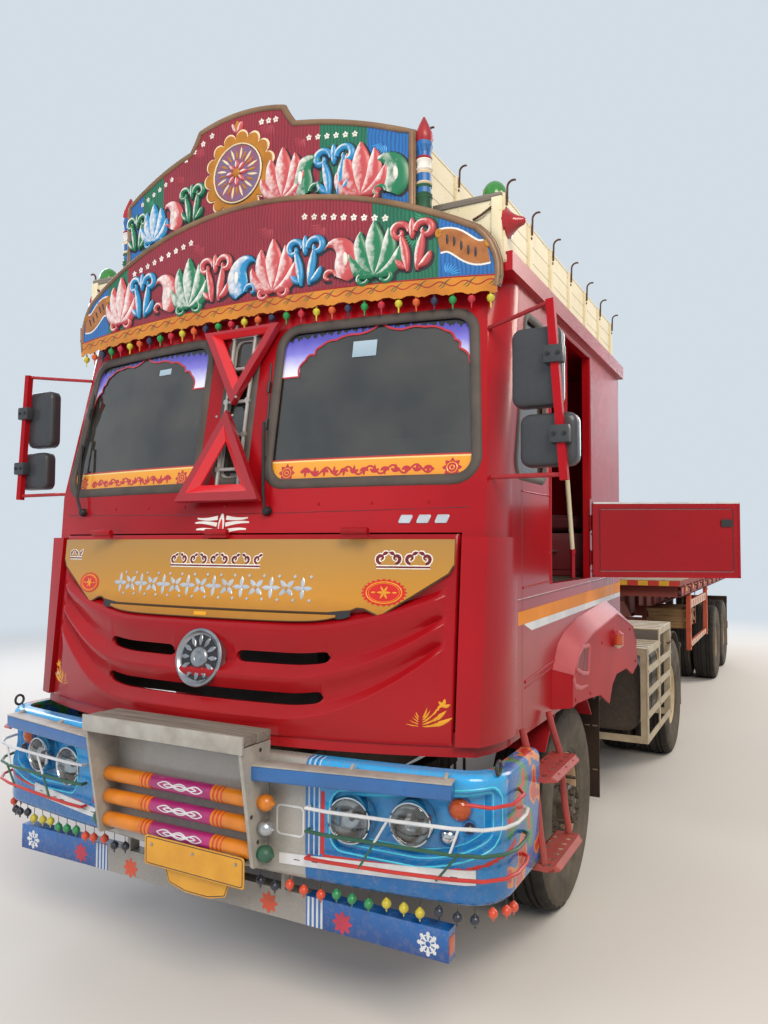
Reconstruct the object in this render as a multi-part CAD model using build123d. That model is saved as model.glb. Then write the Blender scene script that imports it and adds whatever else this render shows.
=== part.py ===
from build123d import *
import math
import os

# Decorated articulated lorry: a two-axle tractor unit with a coachbuilt cab, and a tandem-axle flatbed
# semi-trailer that swings on its kingpin. Millimetres. While it is drawn, X runs from the centreline to the
# lorry's left side, Y runs rearward from just behind the bumper, and Z runs up from the ground.

# Driving dimensions
TYRE_R = 520
RIM_R = 262
WHEEL_FLATS = 30
FRONT_AXLE_Y = 1384
WHEELBASE = 3500
DRIVE_AXLE_Y = FRONT_AXLE_Y + WHEELBASE
KINGPIN_Y = 4500
TRAILER_AXLES_Y = (9500, 10860)
FRONT_TYRE_X = 1030
TWIN_OUTER_X = 1101
TWIN_INNER_X = 771
KINGPIN_X = 930

CAB_HALF = 1220
CAB_REAR_Y = 2530
CAB_LOW_Z = 1080
CAB_BELT_Z = 2127
CAB_TOP_Z = 3000
SKIN = 40
FLOOR_Z = 1700
DOOR_Y = (885, 1690)
DOOR_OPEN_DEG = 112

RAIL_X = (350, 430)
RAIL_Z = (740, 1000)
RAIL_Y = (-160, 5650)

DECK_Z = 1550
DECK_Y = (5360, 12200)
DECK_HALF = 1250

# The row's origin is the middle of the whole lorry's footprint. The open left door makes it uneven.
CENTRELINE_X = -218
FRONT_TO_MIDDLE_Y = 5890

os.makedirs("parts", exist_ok=True)


def save(node, solids):
    """Write one sub-part, moved to the row's origin."""
    flat = []
    for item in solids:
        flat.extend(item.solids())
    whole = flat[0] if len(flat) == 1 else Compound(children=flat)
    export_step(whole.moved(Location((CENTRELINE_X, -FRONT_TO_MIDDLE_Y, 0))), f"parts/{node}.step")


def block(x, y, z):
    """A box between two limits on each axis."""
    size = (x[1] - x[0], y[1] - y[0], z[1] - z[0])
    return Pos((x[0] + x[1]) / 2, (y[0] + y[1]) / 2, (z[0] + z[1]) / 2) * Box(*size)


def prism_x(outline, x):
    """A (y, z) outline run along X."""
    face = Plane.YZ * make_face(Polyline(*outline, close=True))
    return Pos(x[0], 0, 0) * extrude(face, x[1] - x[0], dir=(1, 0, 0))


def prism_y(outline, y):
    """An (x, z) outline run along Y."""
    face = Plane.XZ * make_face(Polyline(*outline, close=True))
    return Pos(0, y[0], 0) * extrude(face, y[1] - y[0], dir=(0, 1, 0))


def prism_z(outline, z):
    """An (x, y) outline run along Z."""
    face = make_face(Polyline(*outline, close=True))
    return Pos(0, 0, z[0]) * extrude(face, z[1] - z[0], dir=(0, 0, 1))


def rod(start, end, radius):
    """A round bar between two points."""
    along = Vector(*end) - Vector(*start)
    return Plane(origin=start, z_dir=along) * Cylinder(
        radius, along.length, align=(Align.CENTER, Align.CENTER, Align.MIN)
    )


def bar(start, end, wide, deep, wide_dir=(1, 0, 0)):
    """A square or flat bar between two points, its width lying along wide_dir."""
    along = Vector(*end) - Vector(*start)
    return Plane(origin=start, x_dir=wide_dir, z_dir=along) * Box(
        wide, deep, along.length, align=(Align.CENTER, Align.CENTER, Align.MIN)
    )


def turned(outline, y, z):
    """An (x, radius) outline turned about a line along X in even flats, one of them at the bottom."""
    corner = 1 / math.cos(math.pi / WHEEL_FLATS)
    rings = []
    for turn in range(WHEEL_FLATS):
        angle = 2 * math.pi * (turn + 0.5) / WHEEL_FLATS - math.pi / 2
        across, up = corner * math.cos(angle), corner * math.sin(angle)
        rings.append([Vector(x, y + radius * across, z + radius * up) for x, radius in outline])
    faces = []
    for here, there in zip(rings, rings[1:] + rings[:1]):
        for i, (_, radius) in enumerate(outline):
            after = (i + 1) % len(outline)
            corners = [here[i], here[after]]
            if outline[after][1] > 0:
                corners.append(there[after])
            if radius > 0:
                corners.append(there[i])
            if len(corners) > 2:
                faces.append(Face(Wire.make_polygon(corners, close=True)))
    return Solid(Shell(faces))


def mirrored(shape):
    """The same shape on the lorry's other side."""
    return mirror(shape, about=Plane.YZ)


def pair(shape):
    """A shape and its mirror image."""
    return [shape, mirrored(shape)]


def fuse(shapes):
    """All the shapes in one."""
    total = shapes[0]
    for shape in shapes[1:]:
        total = total + shape
    return total


# Tractor frame

def chassis_frame():
    """Two channel rails, open inwards, and five cross members."""
    flange = 10
    x0, x1 = RAIL_X
    z0, z1 = RAIL_Z
    rail = block((x0, x1), RAIL_Y, RAIL_Z) - block((x0, x1 - flange), RAIL_Y, (z0 + flange, z1 - flange))
    shapes = pair(rail)
    # y, low z of each cross member
    for y, low in ((170, 900), (2750, 900), (3700, 860), (4884, 880), (5600, 780)):
        shapes.append(block((-x1 + flange, x1 - flange), (y - 35, y + 35), (low, z1 - flange)))
    return [fuse(shapes)]


def engine_block():
    """Engine and gearbox as one plain mass between the rails, narrower to the rear."""
    engine = prism_x([(430, 660), (430, 1500), (1450, 1500), (1500, 1300), (1500, 660)], (-300, 300))
    sump = block((-220, 220), (620, 1320), (590, 660))
    gearbox = block((-200, 200), (1500, 2250), (720, 1120))
    return [fuse([engine, sump, gearbox])]


def radiator():
    """Core with its top and bottom tanks, behind the front hatch."""
    core = block((-330, 330), (230, 300), (1010, 1610))
    tanks = [block((-340, 340), (220, 310), (1610, 1680)), block((-340, 340), (220, 310), (1000, 1010))]
    return [fuse([core] + tanks)]


# Springs and axles

def leaf_pack(y, seat_z, half_length, rise, leaves, x):
    """Stacked leaves bent up at their ends, longest on top, resting on a seat."""
    thick = 18
    top_z = seat_z + leaves * thick
    bend_r = half_length**2 / (2 * rise)
    centre_z = top_z + bend_r
    shapes = []
    for step in range(leaves):
        reach = half_length * (1 - 0.16 * step)
        angle = math.asin(reach / bend_r)
        inner, outer = bend_r + step * thick, bend_r + (step + 1) * thick

        def at(radius, turn):
            return (y + radius * math.sin(turn), centre_z - radius * math.cos(turn))

        edges = [
            ThreePointArc(at(inner, -angle), at(inner, 0), at(inner, angle)),
            Line(at(inner, angle), at(outer, angle)),
            ThreePointArc(at(outer, angle), at(outer, 0), at(outer, -angle)),
            Line(at(outer, -angle), at(inner, -angle)),
        ]
        face = Plane.YZ * make_face(Wire(edges))
        shapes.append(Pos(x[0], 0, 0) * extrude(face, x[1] - x[0], dir=(1, 0, 0)))
    return fuse(shapes)


FRONT_SPRING_X = (350, 430)
FRONT_SEAT_Z = 580
REAR_SPRING_X = (440, 530)
REAR_SEAT_Z = 610


def tractor_springs():
    """Front packs under the rails, rear packs outboard of them, each with its hangers."""
    shapes = []
    front = leaf_pack(FRONT_AXLE_Y, FRONT_SEAT_Z, 700, 60, 5, FRONT_SPRING_X)
    for end in (-1, 1):
        y = FRONT_AXLE_Y + end * 690
        front = front + block(FRONT_SPRING_X, (y - 30, y + 30), (690, RAIL_Z[0]))
    shapes += pair(front)
    rear = leaf_pack(DRIVE_AXLE_Y, REAR_SEAT_Z, 620, 60, 6, REAR_SPRING_X)
    for end in (-1, 1):
        y = DRIVE_AXLE_Y + end * 610
        rear = rear + block((RAIL_X[1], REAR_SPRING_X[1]), (y - 35, y + 35), (745, 880))
    shapes += pair(rear)
    return shapes


def front_axle_beam():
    """Dropped forged I-beam with spring seats and a kingpin eye and pin at each end."""
    drop = [(0, 380), (620, 380), (760, 450), (930, 450), (930, 590), (720, 590), (560, 480), (0, 480)]
    half = prism_y(drop, (FRONT_AXLE_Y - 45, FRONT_AXLE_Y + 45))
    hollow = [(0, 405), (612, 405), (735, 468), (860, 468), (860, 570), (728, 570), (568, 455), (0, 455)]
    for low, high in ((-46, -18), (18, 46)):
        half = half - prism_y(hollow, (FRONT_AXLE_Y + low, FRONT_AXLE_Y + high))
    seat = block(FRONT_SPRING_X, (FRONT_AXLE_Y - 80, FRONT_AXLE_Y + 80), (480, FRONT_SEAT_Z))
    eye = rod((KINGPIN_X, FRONT_AXLE_Y, 445), (KINGPIN_X, FRONT_AXLE_Y, 595), 52)
    pin = rod((KINGPIN_X, FRONT_AXLE_Y, 388), (KINGPIN_X, FRONT_AXLE_Y, 652), 22)
    half = fuse([half, seat, eye, pin])
    return [half + mirrored(half)]


SPINDLE_R = 45


def knuckle_left():
    """Fork round the kingpin, wheel spindle and the arm that the tie rod turns."""
    x, y = KINGPIN_X, FRONT_AXLE_Y
    plate = [(x - 50, y - 60), (x + 92, y - 60), (x + 92, y + 60), (x - 50, y + 60)]
    cheek = block((x + 62, x + 92), (y - 60, y + 60), (400, 640))
    fork = fuse([prism_z(plate, (600, 640)), prism_z(plate, (400, 440)), cheek])
    fork = fork - rod((x, y, 380), (x, y, 660), 22.05)
    spindle = rod((x + 92, y, TYRE_R), (1150, y, TYRE_R), SPINDLE_R)
    arm = prism_z([(x - 50, y + 20), (x + 10, y + 60), (838, 1640), (802, 1640), (802, 1590)], (400, 430))
    return fuse([fork, spindle, arm])


TIE_ROD_X = 820
TIE_ROD_Y = FRONT_AXLE_Y + 230


def tie_rod():
    """Cross rod with a ball housing under each steering arm."""
    ends = [rod((x, TIE_ROD_Y, 345), (x, TIE_ROD_Y, 394), 26) for x in (-TIE_ROD_X, TIE_ROD_X)]
    return fuse([rod((-TIE_ROD_X, TIE_ROD_Y, 366), (TIE_ROD_X, TIE_ROD_Y, 366), 17)] + ends)


AXLE_TUBE_R = 72
AXLE_SPINDLE_R = 50


def drive_axle():
    """Banjo housing, axle tubes, spring seats and the stub that each twin wheel turns on."""
    y, z = DRIVE_AXLE_Y, TYRE_R
    tube = rod((-630, y, z), (630, y, z), AXLE_TUBE_R)
    stub = rod((-1090, y, z), (1090, y, z), AXLE_SPINDLE_R)
    face = make_face(Polyline((-95, 0), (-95, 150), (-60, 205), (60, 205), (95, 150), (95, 0), close=True))
    banjo = Pos(0, y, z) * Rot(0, 0, 90) * revolve(face, Axis.X)
    snout = rod((0, y - 340, z + 20), (0, y, z + 20), 95)
    seats = pair(block((450, 520), (y - 70, y + 70), (z, REAR_SEAT_Z)))
    return [fuse([tube, stub, banjo, snout] + seats)]


def prop_shaft():
    """Open shaft from the gearbox down to the drive axle, with its two joints."""
    front, rear = (0, 2250, 900), (0, DRIVE_AXLE_Y - 340, TYRE_R + 20)
    yokes = [rod(front, (0, 2340, 900), 80), rod((0, rear[1] - 90, rear[2]), rear, 80)]
    return [fuse([rod((0, 2300, 900), (0, rear[1] - 50, rear[2]), 48)] + yokes)]


# Wheels

TYRE_SECTION = [(-112, RIM_R), (-148, 410), (-112, TYRE_R), (112, TYRE_R), (148, 410), (112, RIM_R)]


def tyre(x, y):
    """One tyre, six flats in section."""
    return turned([(x + across, radius) for across, radius in TYRE_SECTION], y, TYRE_R)


def front_rim(y):
    """Ten-stud disc wheel with its hub, dished towards the outside, and the bore for the spindle."""
    outline = [
        (918, RIM_R), (1142, RIM_R), (1142, 240), (1085, 236), (1100, 150), (1125, 110), (1185, 95), (1185, 0),
        (1151, 0), (1151, SPINDLE_R + 0.1), (1030, SPINDLE_R + 0.1), (1030, 110), (1080, 140), (1062, 236), (918, 240),
    ]
    return turned(outline, y, TYRE_R)


def twin_rim(y):
    """Two dished rims bolted back to back on one hub, with the bore for the axle stub."""
    bore = AXLE_SPINDLE_R + 0.1
    outline = [
        (659, RIM_R), (883, RIM_R), (883, 240), (926, 225), (946, 225), (989, 240), (989, RIM_R), (1213, RIM_R),
        (1213, 240), (1010, 236), (962, 130), (1120, 105), (1150, 85), (1150, 0), (1091, 0), (1091, bore),
        (700, bore), (700, 150), (905, 150), (880, 236), (659, 240),
    ]
    return turned(outline, y, TYRE_R)


def wheels():
    """Every wheel's tyre and rim, by side and axle."""
    sides = (("left", False), ("right", True))
    for side, flip in sides:
        place = mirrored if flip else (lambda shape: shape)
        save(f"front_tyre_{side}", [place(tyre(FRONT_TYRE_X, FRONT_AXLE_Y))])
        save(f"front_rim_{side}", [place(front_rim(FRONT_AXLE_Y))])
        twins = [("drive", DRIVE_AXLE_Y), ("trailer_front", TRAILER_AXLES_Y[0]), ("trailer_rear", TRAILER_AXLES_Y[1])]
        for name, y in twins:
            save(f"{name}_tyres_{side}", [place(tyre(TWIN_INNER_X, y)), place(tyre(TWIN_OUTER_X, y))])
            save(f"{name}_rims_{side}", [place(twin_rim(y))])


# Cab shell

# z, half width of the front, y at the front's centre, y at its ends, y where the side starts
CAB_SECTIONS = (
    (CAB_LOW_Z, 1165, -216, 20, 300),
    (CAB_BELT_Z, 1188, -10, 100, 310),
    (CAB_TOP_Z, 1128, 140, 275, 420),
)


def plan_face(section, inset):
    """The cab's plan at one level: bowed front, rounded corners, straight sides and rear."""
    z, half, centre_y, end_y, side_y = section
    half, side = half - inset, CAB_HALF - inset
    centre_y, end_y, rear_y = centre_y + inset, end_y + inset, CAB_REAR_Y - inset
    side_y = side_y + inset / 2
    corner = (half + 0.72 * (side - half), end_y + 0.34 * (side_y - end_y))
    edges = [
        ThreePointArc((-half, end_y), (0, centre_y), (half, end_y)),
        ThreePointArc((half, end_y), corner, (side, side_y)),
        Line((side, side_y), (side, rear_y)),
        Line((side, rear_y), (-side, rear_y)),
        Line((-side, rear_y), (-side, side_y)),
        ThreePointArc((-side, side_y), (-corner[0], corner[1]), (-half, end_y)),
    ]
    return Pos(0, 0, z) * make_face(Wire(edges))


def cab_form(inset):
    """The cab's outer form, drawn in by an even amount."""
    return loft([plan_face(section, inset) for section in CAB_SECTIONS], ruled=True)


def window_outline(points, radius):
    """A window in (x, z) with rounded corners, as a face in the XZ plane."""
    face = make_face(Polyline(*points, close=True))
    return Plane.XZ * fillet(face.vertices(), radius)


PANES = (
    ([(200, 2140), (1150, 2140), (1085, 2850), (200, 2850)], 90),
    ([(-1150, 2140), (-200, 2140), (-200, 2850), (-1085, 2850)], 90),
    ([(-80, 2160), (80, 2160), (80, 2850), (-80, 2850)], 60),
)
QUARTER = [(345, 2175), (790, 2175), (790, 2895), (500, 2895)]
REAR_WINDOW = [(-450, 2300), (450, 2300), (450, 2700), (-450, 2700)]
HATCH_Z = (1178, 1922)
HATCH_HALF = 1090
HATCH_GAP = 7
HATCH_AXIS = (-84, 1934)


def windscreen_cut(outline, radius):
    """The space that one pane takes through the front."""
    return Pos(0, -300, 0) * extrude(window_outline(outline, radius), 700, dir=(0, 1, 0))


DOOR_HINGE = (1222, 1692)
HINGE_BARRELS_Z = (1815, 2010)


def quarter_cut(x):
    """The space that a quarter window takes through a side."""
    face = fillet(make_face(Polyline(*QUARTER, close=True)).vertices(), 60)
    return Pos(x[0], 0, 0) * extrude(Plane.YZ * face, x[1] - x[0], dir=(1, 0, 0))


def cab_panels():
    """The shell cut where the real panels meet, and the glass that fills its windows."""
    outer, inner = cab_form(0), cab_form(SKIN)
    shell = outer - inner
    glass_layer = cab_form(14) - cab_form(20)
    seam_y, rear_y = 330, CAB_REAR_Y - SKIN
    front_box = block((-1300, 1300), (-400, seam_y), (CAB_LOW_Z, CAB_TOP_Z))
    front = shell & front_box
    cuts = [windscreen_cut(*pane) for pane in PANES]
    for cut in cuts:
        front = front - cut
    opening_half = HATCH_HALF + HATCH_GAP
    hatch_zone = block(
        (-opening_half, opening_half), (-400, seam_y), (HATCH_Z[0] - HATCH_GAP, HATCH_Z[1] + HATCH_GAP)
    )
    front = front - hatch_zone
    deflector = (cab_form(-26) - outer) & block((1108, 1300), (-400, 300), (1125, 1912))
    save("cab_front", [fuse([front] + pair(deflector))])

    side_box = block((0, 1300), (seam_y, rear_y), (CAB_LOW_Z, CAB_TOP_Z))
    side = shell & side_box
    side = side - block((1100, 1300), DOOR_Y, (FLOOR_Z, 2960))
    for z in HINGE_BARRELS_Z:
        side = side - rod((*DOOR_HINGE, z - 46), (*DOOR_HINGE, z + 46), 14)
    quarter = quarter_cut((1000, 1300))
    side = side - quarter
    save("cab_side_left", [side])
    save("cab_side_right", [mirrored(side)])

    rear = shell & block((-1300, 1300), (rear_y, 2600), (CAB_LOW_Z, CAB_TOP_Z))
    rear_cut = prism_y(REAR_WINDOW, (rear_y - 10, 2600))
    save("cab_rear_wall", [rear - rear_cut])

    panes = [glass_layer & cut for cut in cuts]
    panes += pair(glass_layer & quarter)
    panes.append(glass_layer & rear_cut)
    save("cab_glass", panes)
    return inner


# level at the centreline, rise to the end, depth at the centreline, depth at the end
HATCH_RIBS = ((1538, 132, 40, 26), (1352, 212, 44, 30), (1196, 268, 44, 30))
RIB_FLAT_X = 420
RIB_END_X = 1040
# inner end and outer end of each slot, and its low and high edge
HATCH_SLOTS = ((170, 600, 1392, 1440), (0, 584, 1236, 1284))


def rib_level(rib, x):
    """A rib's top edge: level over the middle, then swept up towards its end by an arc."""
    level, rise, _, _ = rib
    sweep = RIB_END_X - RIB_FLAT_X
    bend_r = (sweep**2 + rise**2) / (2 * rise)
    away = max(abs(x) - RIB_FLAT_X, 0)
    return level + bend_r - math.sqrt(bend_r**2 - away**2)


def hatch_rib(rib):
    """A ledge that stands out from the hatch, its ends thinner than its middle."""
    _, _, depth, end_depth = rib
    middle_x = (RIB_FLAT_X + RIB_END_X) / 2
    half = []
    for drop, end_drop in ((0, 0), (depth, end_depth)):
        fall = (drop, (drop + end_drop) / 2, end_drop)
        half.append([(x, rib_level(rib, x) - down) for x, down in zip((RIB_FLAT_X, middle_x, RIB_END_X), fall)])
    top, low = half
    edges = [
        Line((-top[0][0], top[0][1]), top[0]),
        ThreePointArc(*top),
        Line(top[2], low[2]),
        ThreePointArc(*reversed(low)),
        Line(low[0], (-low[0][0], low[0][1])),
        ThreePointArc(*[(-x, z) for x, z in low]),
        Line((-low[2][0], low[2][1]), (-top[2][0], top[2][1])),
        ThreePointArc(*[(-x, z) for x, z in reversed(top)]),
    ]
    zone = Plane.XZ * make_face(Wire(edges))
    return (cab_form(-30) - cab_form(-13)) & Pos(0, -400, 0) * extrude(zone, 700, dir=(0, 1, 0))


def front_hatch():
    """Bowed grille panel: swept ribs, rows of round-ended slots, a plain round boss and a raised header panel."""
    skin = cab_form(-14) - cab_form(10)
    panel = skin & block((-HATCH_HALF, HATCH_HALF), (-400, 300), HATCH_Z)
    for x0, x1, z0, z1 in HATCH_SLOTS:
        for side in (-1, 1):
            low, high = sorted((side * x0, side * x1))
            slot = fillet(block((low, high), (-400, 300), (z0, z1)).edges().filter_by(Axis.Y), 22)
            panel = panel - slot
    boss = rod((0, -330, 1400), (0, -100, 1400), 128) & (cab_form(-34) - cab_form(-13))
    header_outline = [
        (-1070, 1900), (-1070, 1775), (-800, 1598), (-640, 1640), (640, 1640), (800, 1598), (1070, 1775), (1070, 1900),
    ]
    header = (cab_form(-26) - cab_form(-13)) & prism_y(header_outline, (-400, 300))
    ribs = [hatch_rib(rib) for rib in HATCH_RIBS]
    barrels = [rod((x - 60, *HATCH_AXIS), (x + 60, *HATCH_AXIS), 14) for x in (-700, 0, 700)]
    leaves = [block((x - 60, x + 60), (HATCH_AXIS[0] - 4, 60), (1912, HATCH_Z[1])) for x in (-700, 0, 700)]
    leaves = [leaf - cab_form(10) for leaf in leaves]
    save("front_hatch", [fuse([panel, boss, header] + ribs + barrels + leaves)])


def cab_floor(inner):
    """Floor, bulkhead behind the hatch, and the raised cover over the engine."""
    slab = inner & block((-1300, 1300), (360, CAB_REAR_Y), (1660, FLOOR_Z))
    bulkhead = inner & block((-1300, 1300), (330, 360), (1120, 2060))
    tunnel = block((-400, 400), (360, 1750), (FLOOR_Z, 1900)) - block((-375, 375), (360, 1725), (1650, 1875))
    slab = slab - block((-375, 375), (360, 1725), (1650, 1710))
    bearers = [block((x - 30, x + 30), (360, CAB_REAR_Y - SKIN), (1560, 1660)) for x in (-600, 600)]
    feet = []
    for side in (-1, 1):
        for y in (620, 2350):
            low, high = sorted((side * 390, side * 630))
            feet.append(block((low, high), (y - 40, y + 40), (1480, 1560)))
            post = sorted((side * 360, side * 425))
            feet.append(block(post, (y - 40, y + 40), (RAIL_Z[1], 1560)))
    save("cab_floor", [fuse([slab, bulkhead, tunnel] + bearers + feet)])


BOARD_BOW = 120
BOARD_HALF = 1200


def bowed_slab(front_y, thick, half, z):
    """An upright board bent forward in plan, y at its centre, by the head boards' shared bow."""
    end_y = front_y + BOARD_BOW * (half / BOARD_HALF) ** 2
    edges = [
        ThreePointArc((-half, end_y), (0, front_y), (half, end_y)),
        Line((half, end_y), (half, end_y + thick)),
        ThreePointArc((half, end_y + thick), (0, front_y + thick), (-half, end_y + thick)),
        Line((-half, end_y + thick), (-half, end_y)),
    ]
    return Pos(0, 0, z[0]) * extrude(make_face(Wire(edges)), z[1] - z[0])


LOWER_BOARD_Y = 85
BOARD_T = 30


def lower_head_board():
    """Arched board over the windscreen."""
    slab = bowed_slab(LOWER_BOARD_Y, BOARD_T, BOARD_HALF, (2936, 3500))
    edges = [
        Line((-1200, 2936), (1200, 2936)),
        ThreePointArc((1200, 2936), (1195, 3080), (1120, 3190)),
        ThreePointArc((1120, 3190), (0, 3465), (-1120, 3190)),
        ThreePointArc((-1120, 3190), (-1195, 3080), (-1200, 2936)),
    ]
    face = Plane.XZ * make_face(Wire(edges))
    save("lower_head_board", [slab & extrude(face, 600, dir=(0, 1, 0))])


FINIAL_X = 862
# The raised crest is centred on the medallion, which was painted a little to the right of the centreline.
CREST_X = (-348, 232)


def upper_head_board():
    """Narrower stepped board behind the lower one, with a turned finial beside each end."""
    slab = bowed_slab(LOWER_BOARD_Y + BOARD_T, BOARD_T, 830, (3035, 3960))
    edges = [
        Line((-830, 3035), (830, 3035)),
        Line((830, 3035), (830, 3655)),
        ThreePointArc((830, 3655), (545, 3752), (CREST_X[1] + 18, 3815)),
        ThreePointArc((CREST_X[1] + 18, 3815), (CREST_X[1] - 8, 3850), (CREST_X[1] - 40, 3905)),
        ThreePointArc((CREST_X[1] - 40, 3905), (sum(CREST_X) / 2, 3935), (CREST_X[0] + 40, 3905)),
        ThreePointArc((CREST_X[0] + 40, 3905), (CREST_X[0] + 8, 3850), (CREST_X[0] - 18, 3815)),
        ThreePointArc((CREST_X[0] - 18, 3815), (-600, 3752), (-830, 3655)),
        Line((-830, 3655), (-830, 3035)),
    ]
    face = Plane.XZ * make_face(Wire(edges))
    board = slab & extrude(face, 600, dir=(0, 1, 0))
    outline = [(3035, 0), (3035, 32), (3560, 32), (3590, 38), (3620, 32), (3725, 0)]
    turned_post = revolve(make_face(Polyline(*outline, close=True)), Axis.X)
    y = LOWER_BOARD_Y + BOARD_T + BOARD_BOW * (830 / BOARD_HALF) ** 2 + 42
    posts = [Pos(side * FINIAL_X, y, 0) * Rot(0, -90, 0) * turned_post for side in (-1, 1)]
    save("upper_head_board", [board] + [post - slab for post in posts])


ROOF_Z = (CAB_TOP_Z, 3035)


def cab_roof():
    """Flat roof over the shell, out to the lower board in front, with a gutter rail along each side."""
    end_y = LOWER_BOARD_Y + BOARD_T + BOARD_BOW
    edges = [
        ThreePointArc((-BOARD_HALF, end_y), (0, LOWER_BOARD_Y + BOARD_T), (BOARD_HALF, end_y)),
        Line((BOARD_HALF, end_y), (1250, end_y)),
        Line((1250, end_y), (1250, 2560)),
        Line((1250, 2560), (-1250, 2560)),
        Line((-1250, 2560), (-1250, end_y)),
        Line((-1250, end_y), (-BOARD_HALF, end_y)),
    ]
    slab = Pos(0, 0, ROOF_Z[0]) * extrude(make_face(Wire(edges)), ROOF_Z[1] - ROOF_Z[0])
    gutters = pair(block((1225, 1250), (end_y, 2560), (ROOF_Z[1], 3080)))
    save("cab_roof", [fuse([slab] + gutters)])


def roof_boxes():
    """Open load trays on the roof: a full-width low one, and taller walls behind the upper board."""
    wall, base = 25, ROOF_Z[1]
    low_x, low_y, low_z = 1190, (270, 2450), 3345
    up_x, up_y, up_z = 828, (250, 1450), 3650
    sides = pair(block((low_x - wall, low_x), low_y, (base, low_z)))
    ends = [block((-low_x, low_x), (low_y[1] - wall, low_y[1]), (base, low_z))]
    ends += pair(block((up_x + 70, low_x), (low_y[0], low_y[0] + wall), (base, low_z)))
    tall = pair(block((up_x - wall, up_x), up_y, (base, up_z)))
    tall.append(block((-up_x, up_x), (up_y[1] - wall, up_y[1]), (base, up_z)))
    lamp_seats = pair(block((1078, low_x), (low_y[0], low_y[0] + 120), (low_z - 15, low_z)))
    save("roof_boxes", [fuse(sides + ends + lamp_seats), fuse(tall)])


def roof_lamps():
    """A domed lamp and a side-facing cone lamp at each front corner of the roof."""
    dome = Pos(1140, 330, 3345) * Rot(0, -90, 0) * revolve(
        make_face(Polyline((0, 0), (0, 58), (45, 50), (76, 26), (85, 0), close=True)), Axis.X
    )
    cone = Pos(1190, 320, 3230) * revolve(
        make_face(Polyline((0, 0), (0, 62), (18, 62), (30, 44), (90, 12), (90, 0), close=True)), Axis.X
    )
    return pair(dome) + pair(cone)


def half_door():
    """Low flush door with two barrel hinges at its rear edge, drawn shut on the left side."""
    shapes = [block((1183, 1218), (DOOR_Y[0] + 6, DOOR_Y[1] - 6), (FLOOR_Z + 6, 2125))]
    for z in HINGE_BARRELS_Z:
        shapes.append(rod((*DOOR_HINGE, z - 40), (*DOOR_HINGE, z + 40), 9))
        shapes.append(block((1215, 1221), (1630, DOOR_HINGE[1]), (z - 40, z + 40)))
    return fuse(shapes)


def doors():
    """The left door stands open as the photograph shows it. The right one is shut."""
    shut = half_door()
    centre = Location((DOOR_HINGE[0], DOOR_HINGE[1], 0))
    swung = shut.moved(Location((-DOOR_HINGE[0], -DOOR_HINGE[1], 0)))
    swung = swung.moved(Location((0, 0, 0), (0, 0, DOOR_OPEN_DEG))).moved(centre)
    save("left_door", [swung])
    save("right_door", [mirrored(shut)])


# Cab fittings

def fenders():
    """Flared wheel arches on the cab's sides, with a liner over each front wheel."""
    # y and z of each corner: the flange against the cab's side, then the same corner on the outer face
    corners = (
        (880, 1108, 960, 1110),
        (893, 1290, 968, 1262),
        (985, 1400, 1045, 1345),
        (1114, 1452, 1155, 1388),
        (1370, 1497, 1400, 1427),
        (2068, 1550, 2030, 1480),
        (2590, 1420, 2530, 1362),
        (2715, 1260, 2652, 1238),
        (2730, 1085, 2685, 1088),
        (2506, 1050, 2506, 1052),
        (2303, 1115, 2303, 1117),
        (1991, 1122, 1991, 1124),
        (1874, 1078, 1874, 1080),
        (1790, 985, 1790, 987),
        (1563, 1070, 1563, 1072),
        (1321, 1095, 1321, 1097),
        (1002, 1116, 1035, 1118),
    )
    thick, face_x = 12, 1300
    flange = [(y, z) for y, z, _, _ in corners]
    face = [(y, z) for _, _, y, z in corners]
    hollow_flange = [(905, 900)] + drawn_in(flange[1:8], thick) + [(2712, 900)]
    hollow_face = [(974, 900)] + drawn_in(face[1:8], thick) + [(2668, 900)]
    flare = side_loft(CAB_HALF, flange, face_x, face)
    flare = flare - side_loft(CAB_HALF - 1, hollow_flange, face_x - thick, hollow_face)
    y, z = FRONT_AXLE_Y, TYRE_R
    ring = rod((760, y, z), (CAB_HALF - SKIN, y, z), 612) - rod((750, y, z), (1190, y, z), 602)
    liner = ring & block((700, 1200), (y - 700, y + 700), (900, 1300))
    save("fenders", pair(flare) + pair(liner))


def side_loft(x_in, inner, x_out, outer):
    """A solid between two (y, z) outlines with the same number of corners, standing on the cab's left side."""
    low = Plane.YZ.offset(x_in) * make_face(Polyline(*inner, close=True))
    high = Plane.YZ.offset(x_out) * make_face(Polyline(*outer, close=True))
    return loft([low, high], ruled=True)


def drawn_in(points, amount):
    """The corners of an arch moved towards its middle by an even amount."""
    middle_y = (points[0][0] + points[-1][0]) / 2
    middle_z = 1200
    moved = []
    for y, z in points:
        length = math.hypot(y - middle_y, z - middle_z)
        moved.append((y - (y - middle_y) * amount / length, z - (z - middle_z) * amount / length))
    return moved


def mirrors():
    """Two mirror heads a side on a square upright, stayed to the cab."""
    shapes = []
    upright = bar((1450, 70, 2800), (1500, 70, 2120), 30, 30)
    stays = [
        bar((1140, 230, 2770), (1440, 70, 2790), 14, 14, (0, 0, 1)),
        bar((1190, 130, 2145), (1490, 70, 2140), 14, 14, (0, 0, 1)),
    ]
    stays = [stay - cab_form(0) for stay in stays]
    heads = [
        fillet(block((1290, 1484), (85, 150), (2404, 2711)).edges().filter_by(Axis.Y), 35),
        fillet(block((1322, 1542), (85, 150), (2176, 2378)).edges().filter_by(Axis.Y), 35),
    ]
    shapes = pair(fuse([upright] + stays + heads))
    save("mirrors", shapes)


SCREEN_LEAN = math.atan2(150, CAB_TOP_Z - CAB_BELT_Z)


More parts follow.
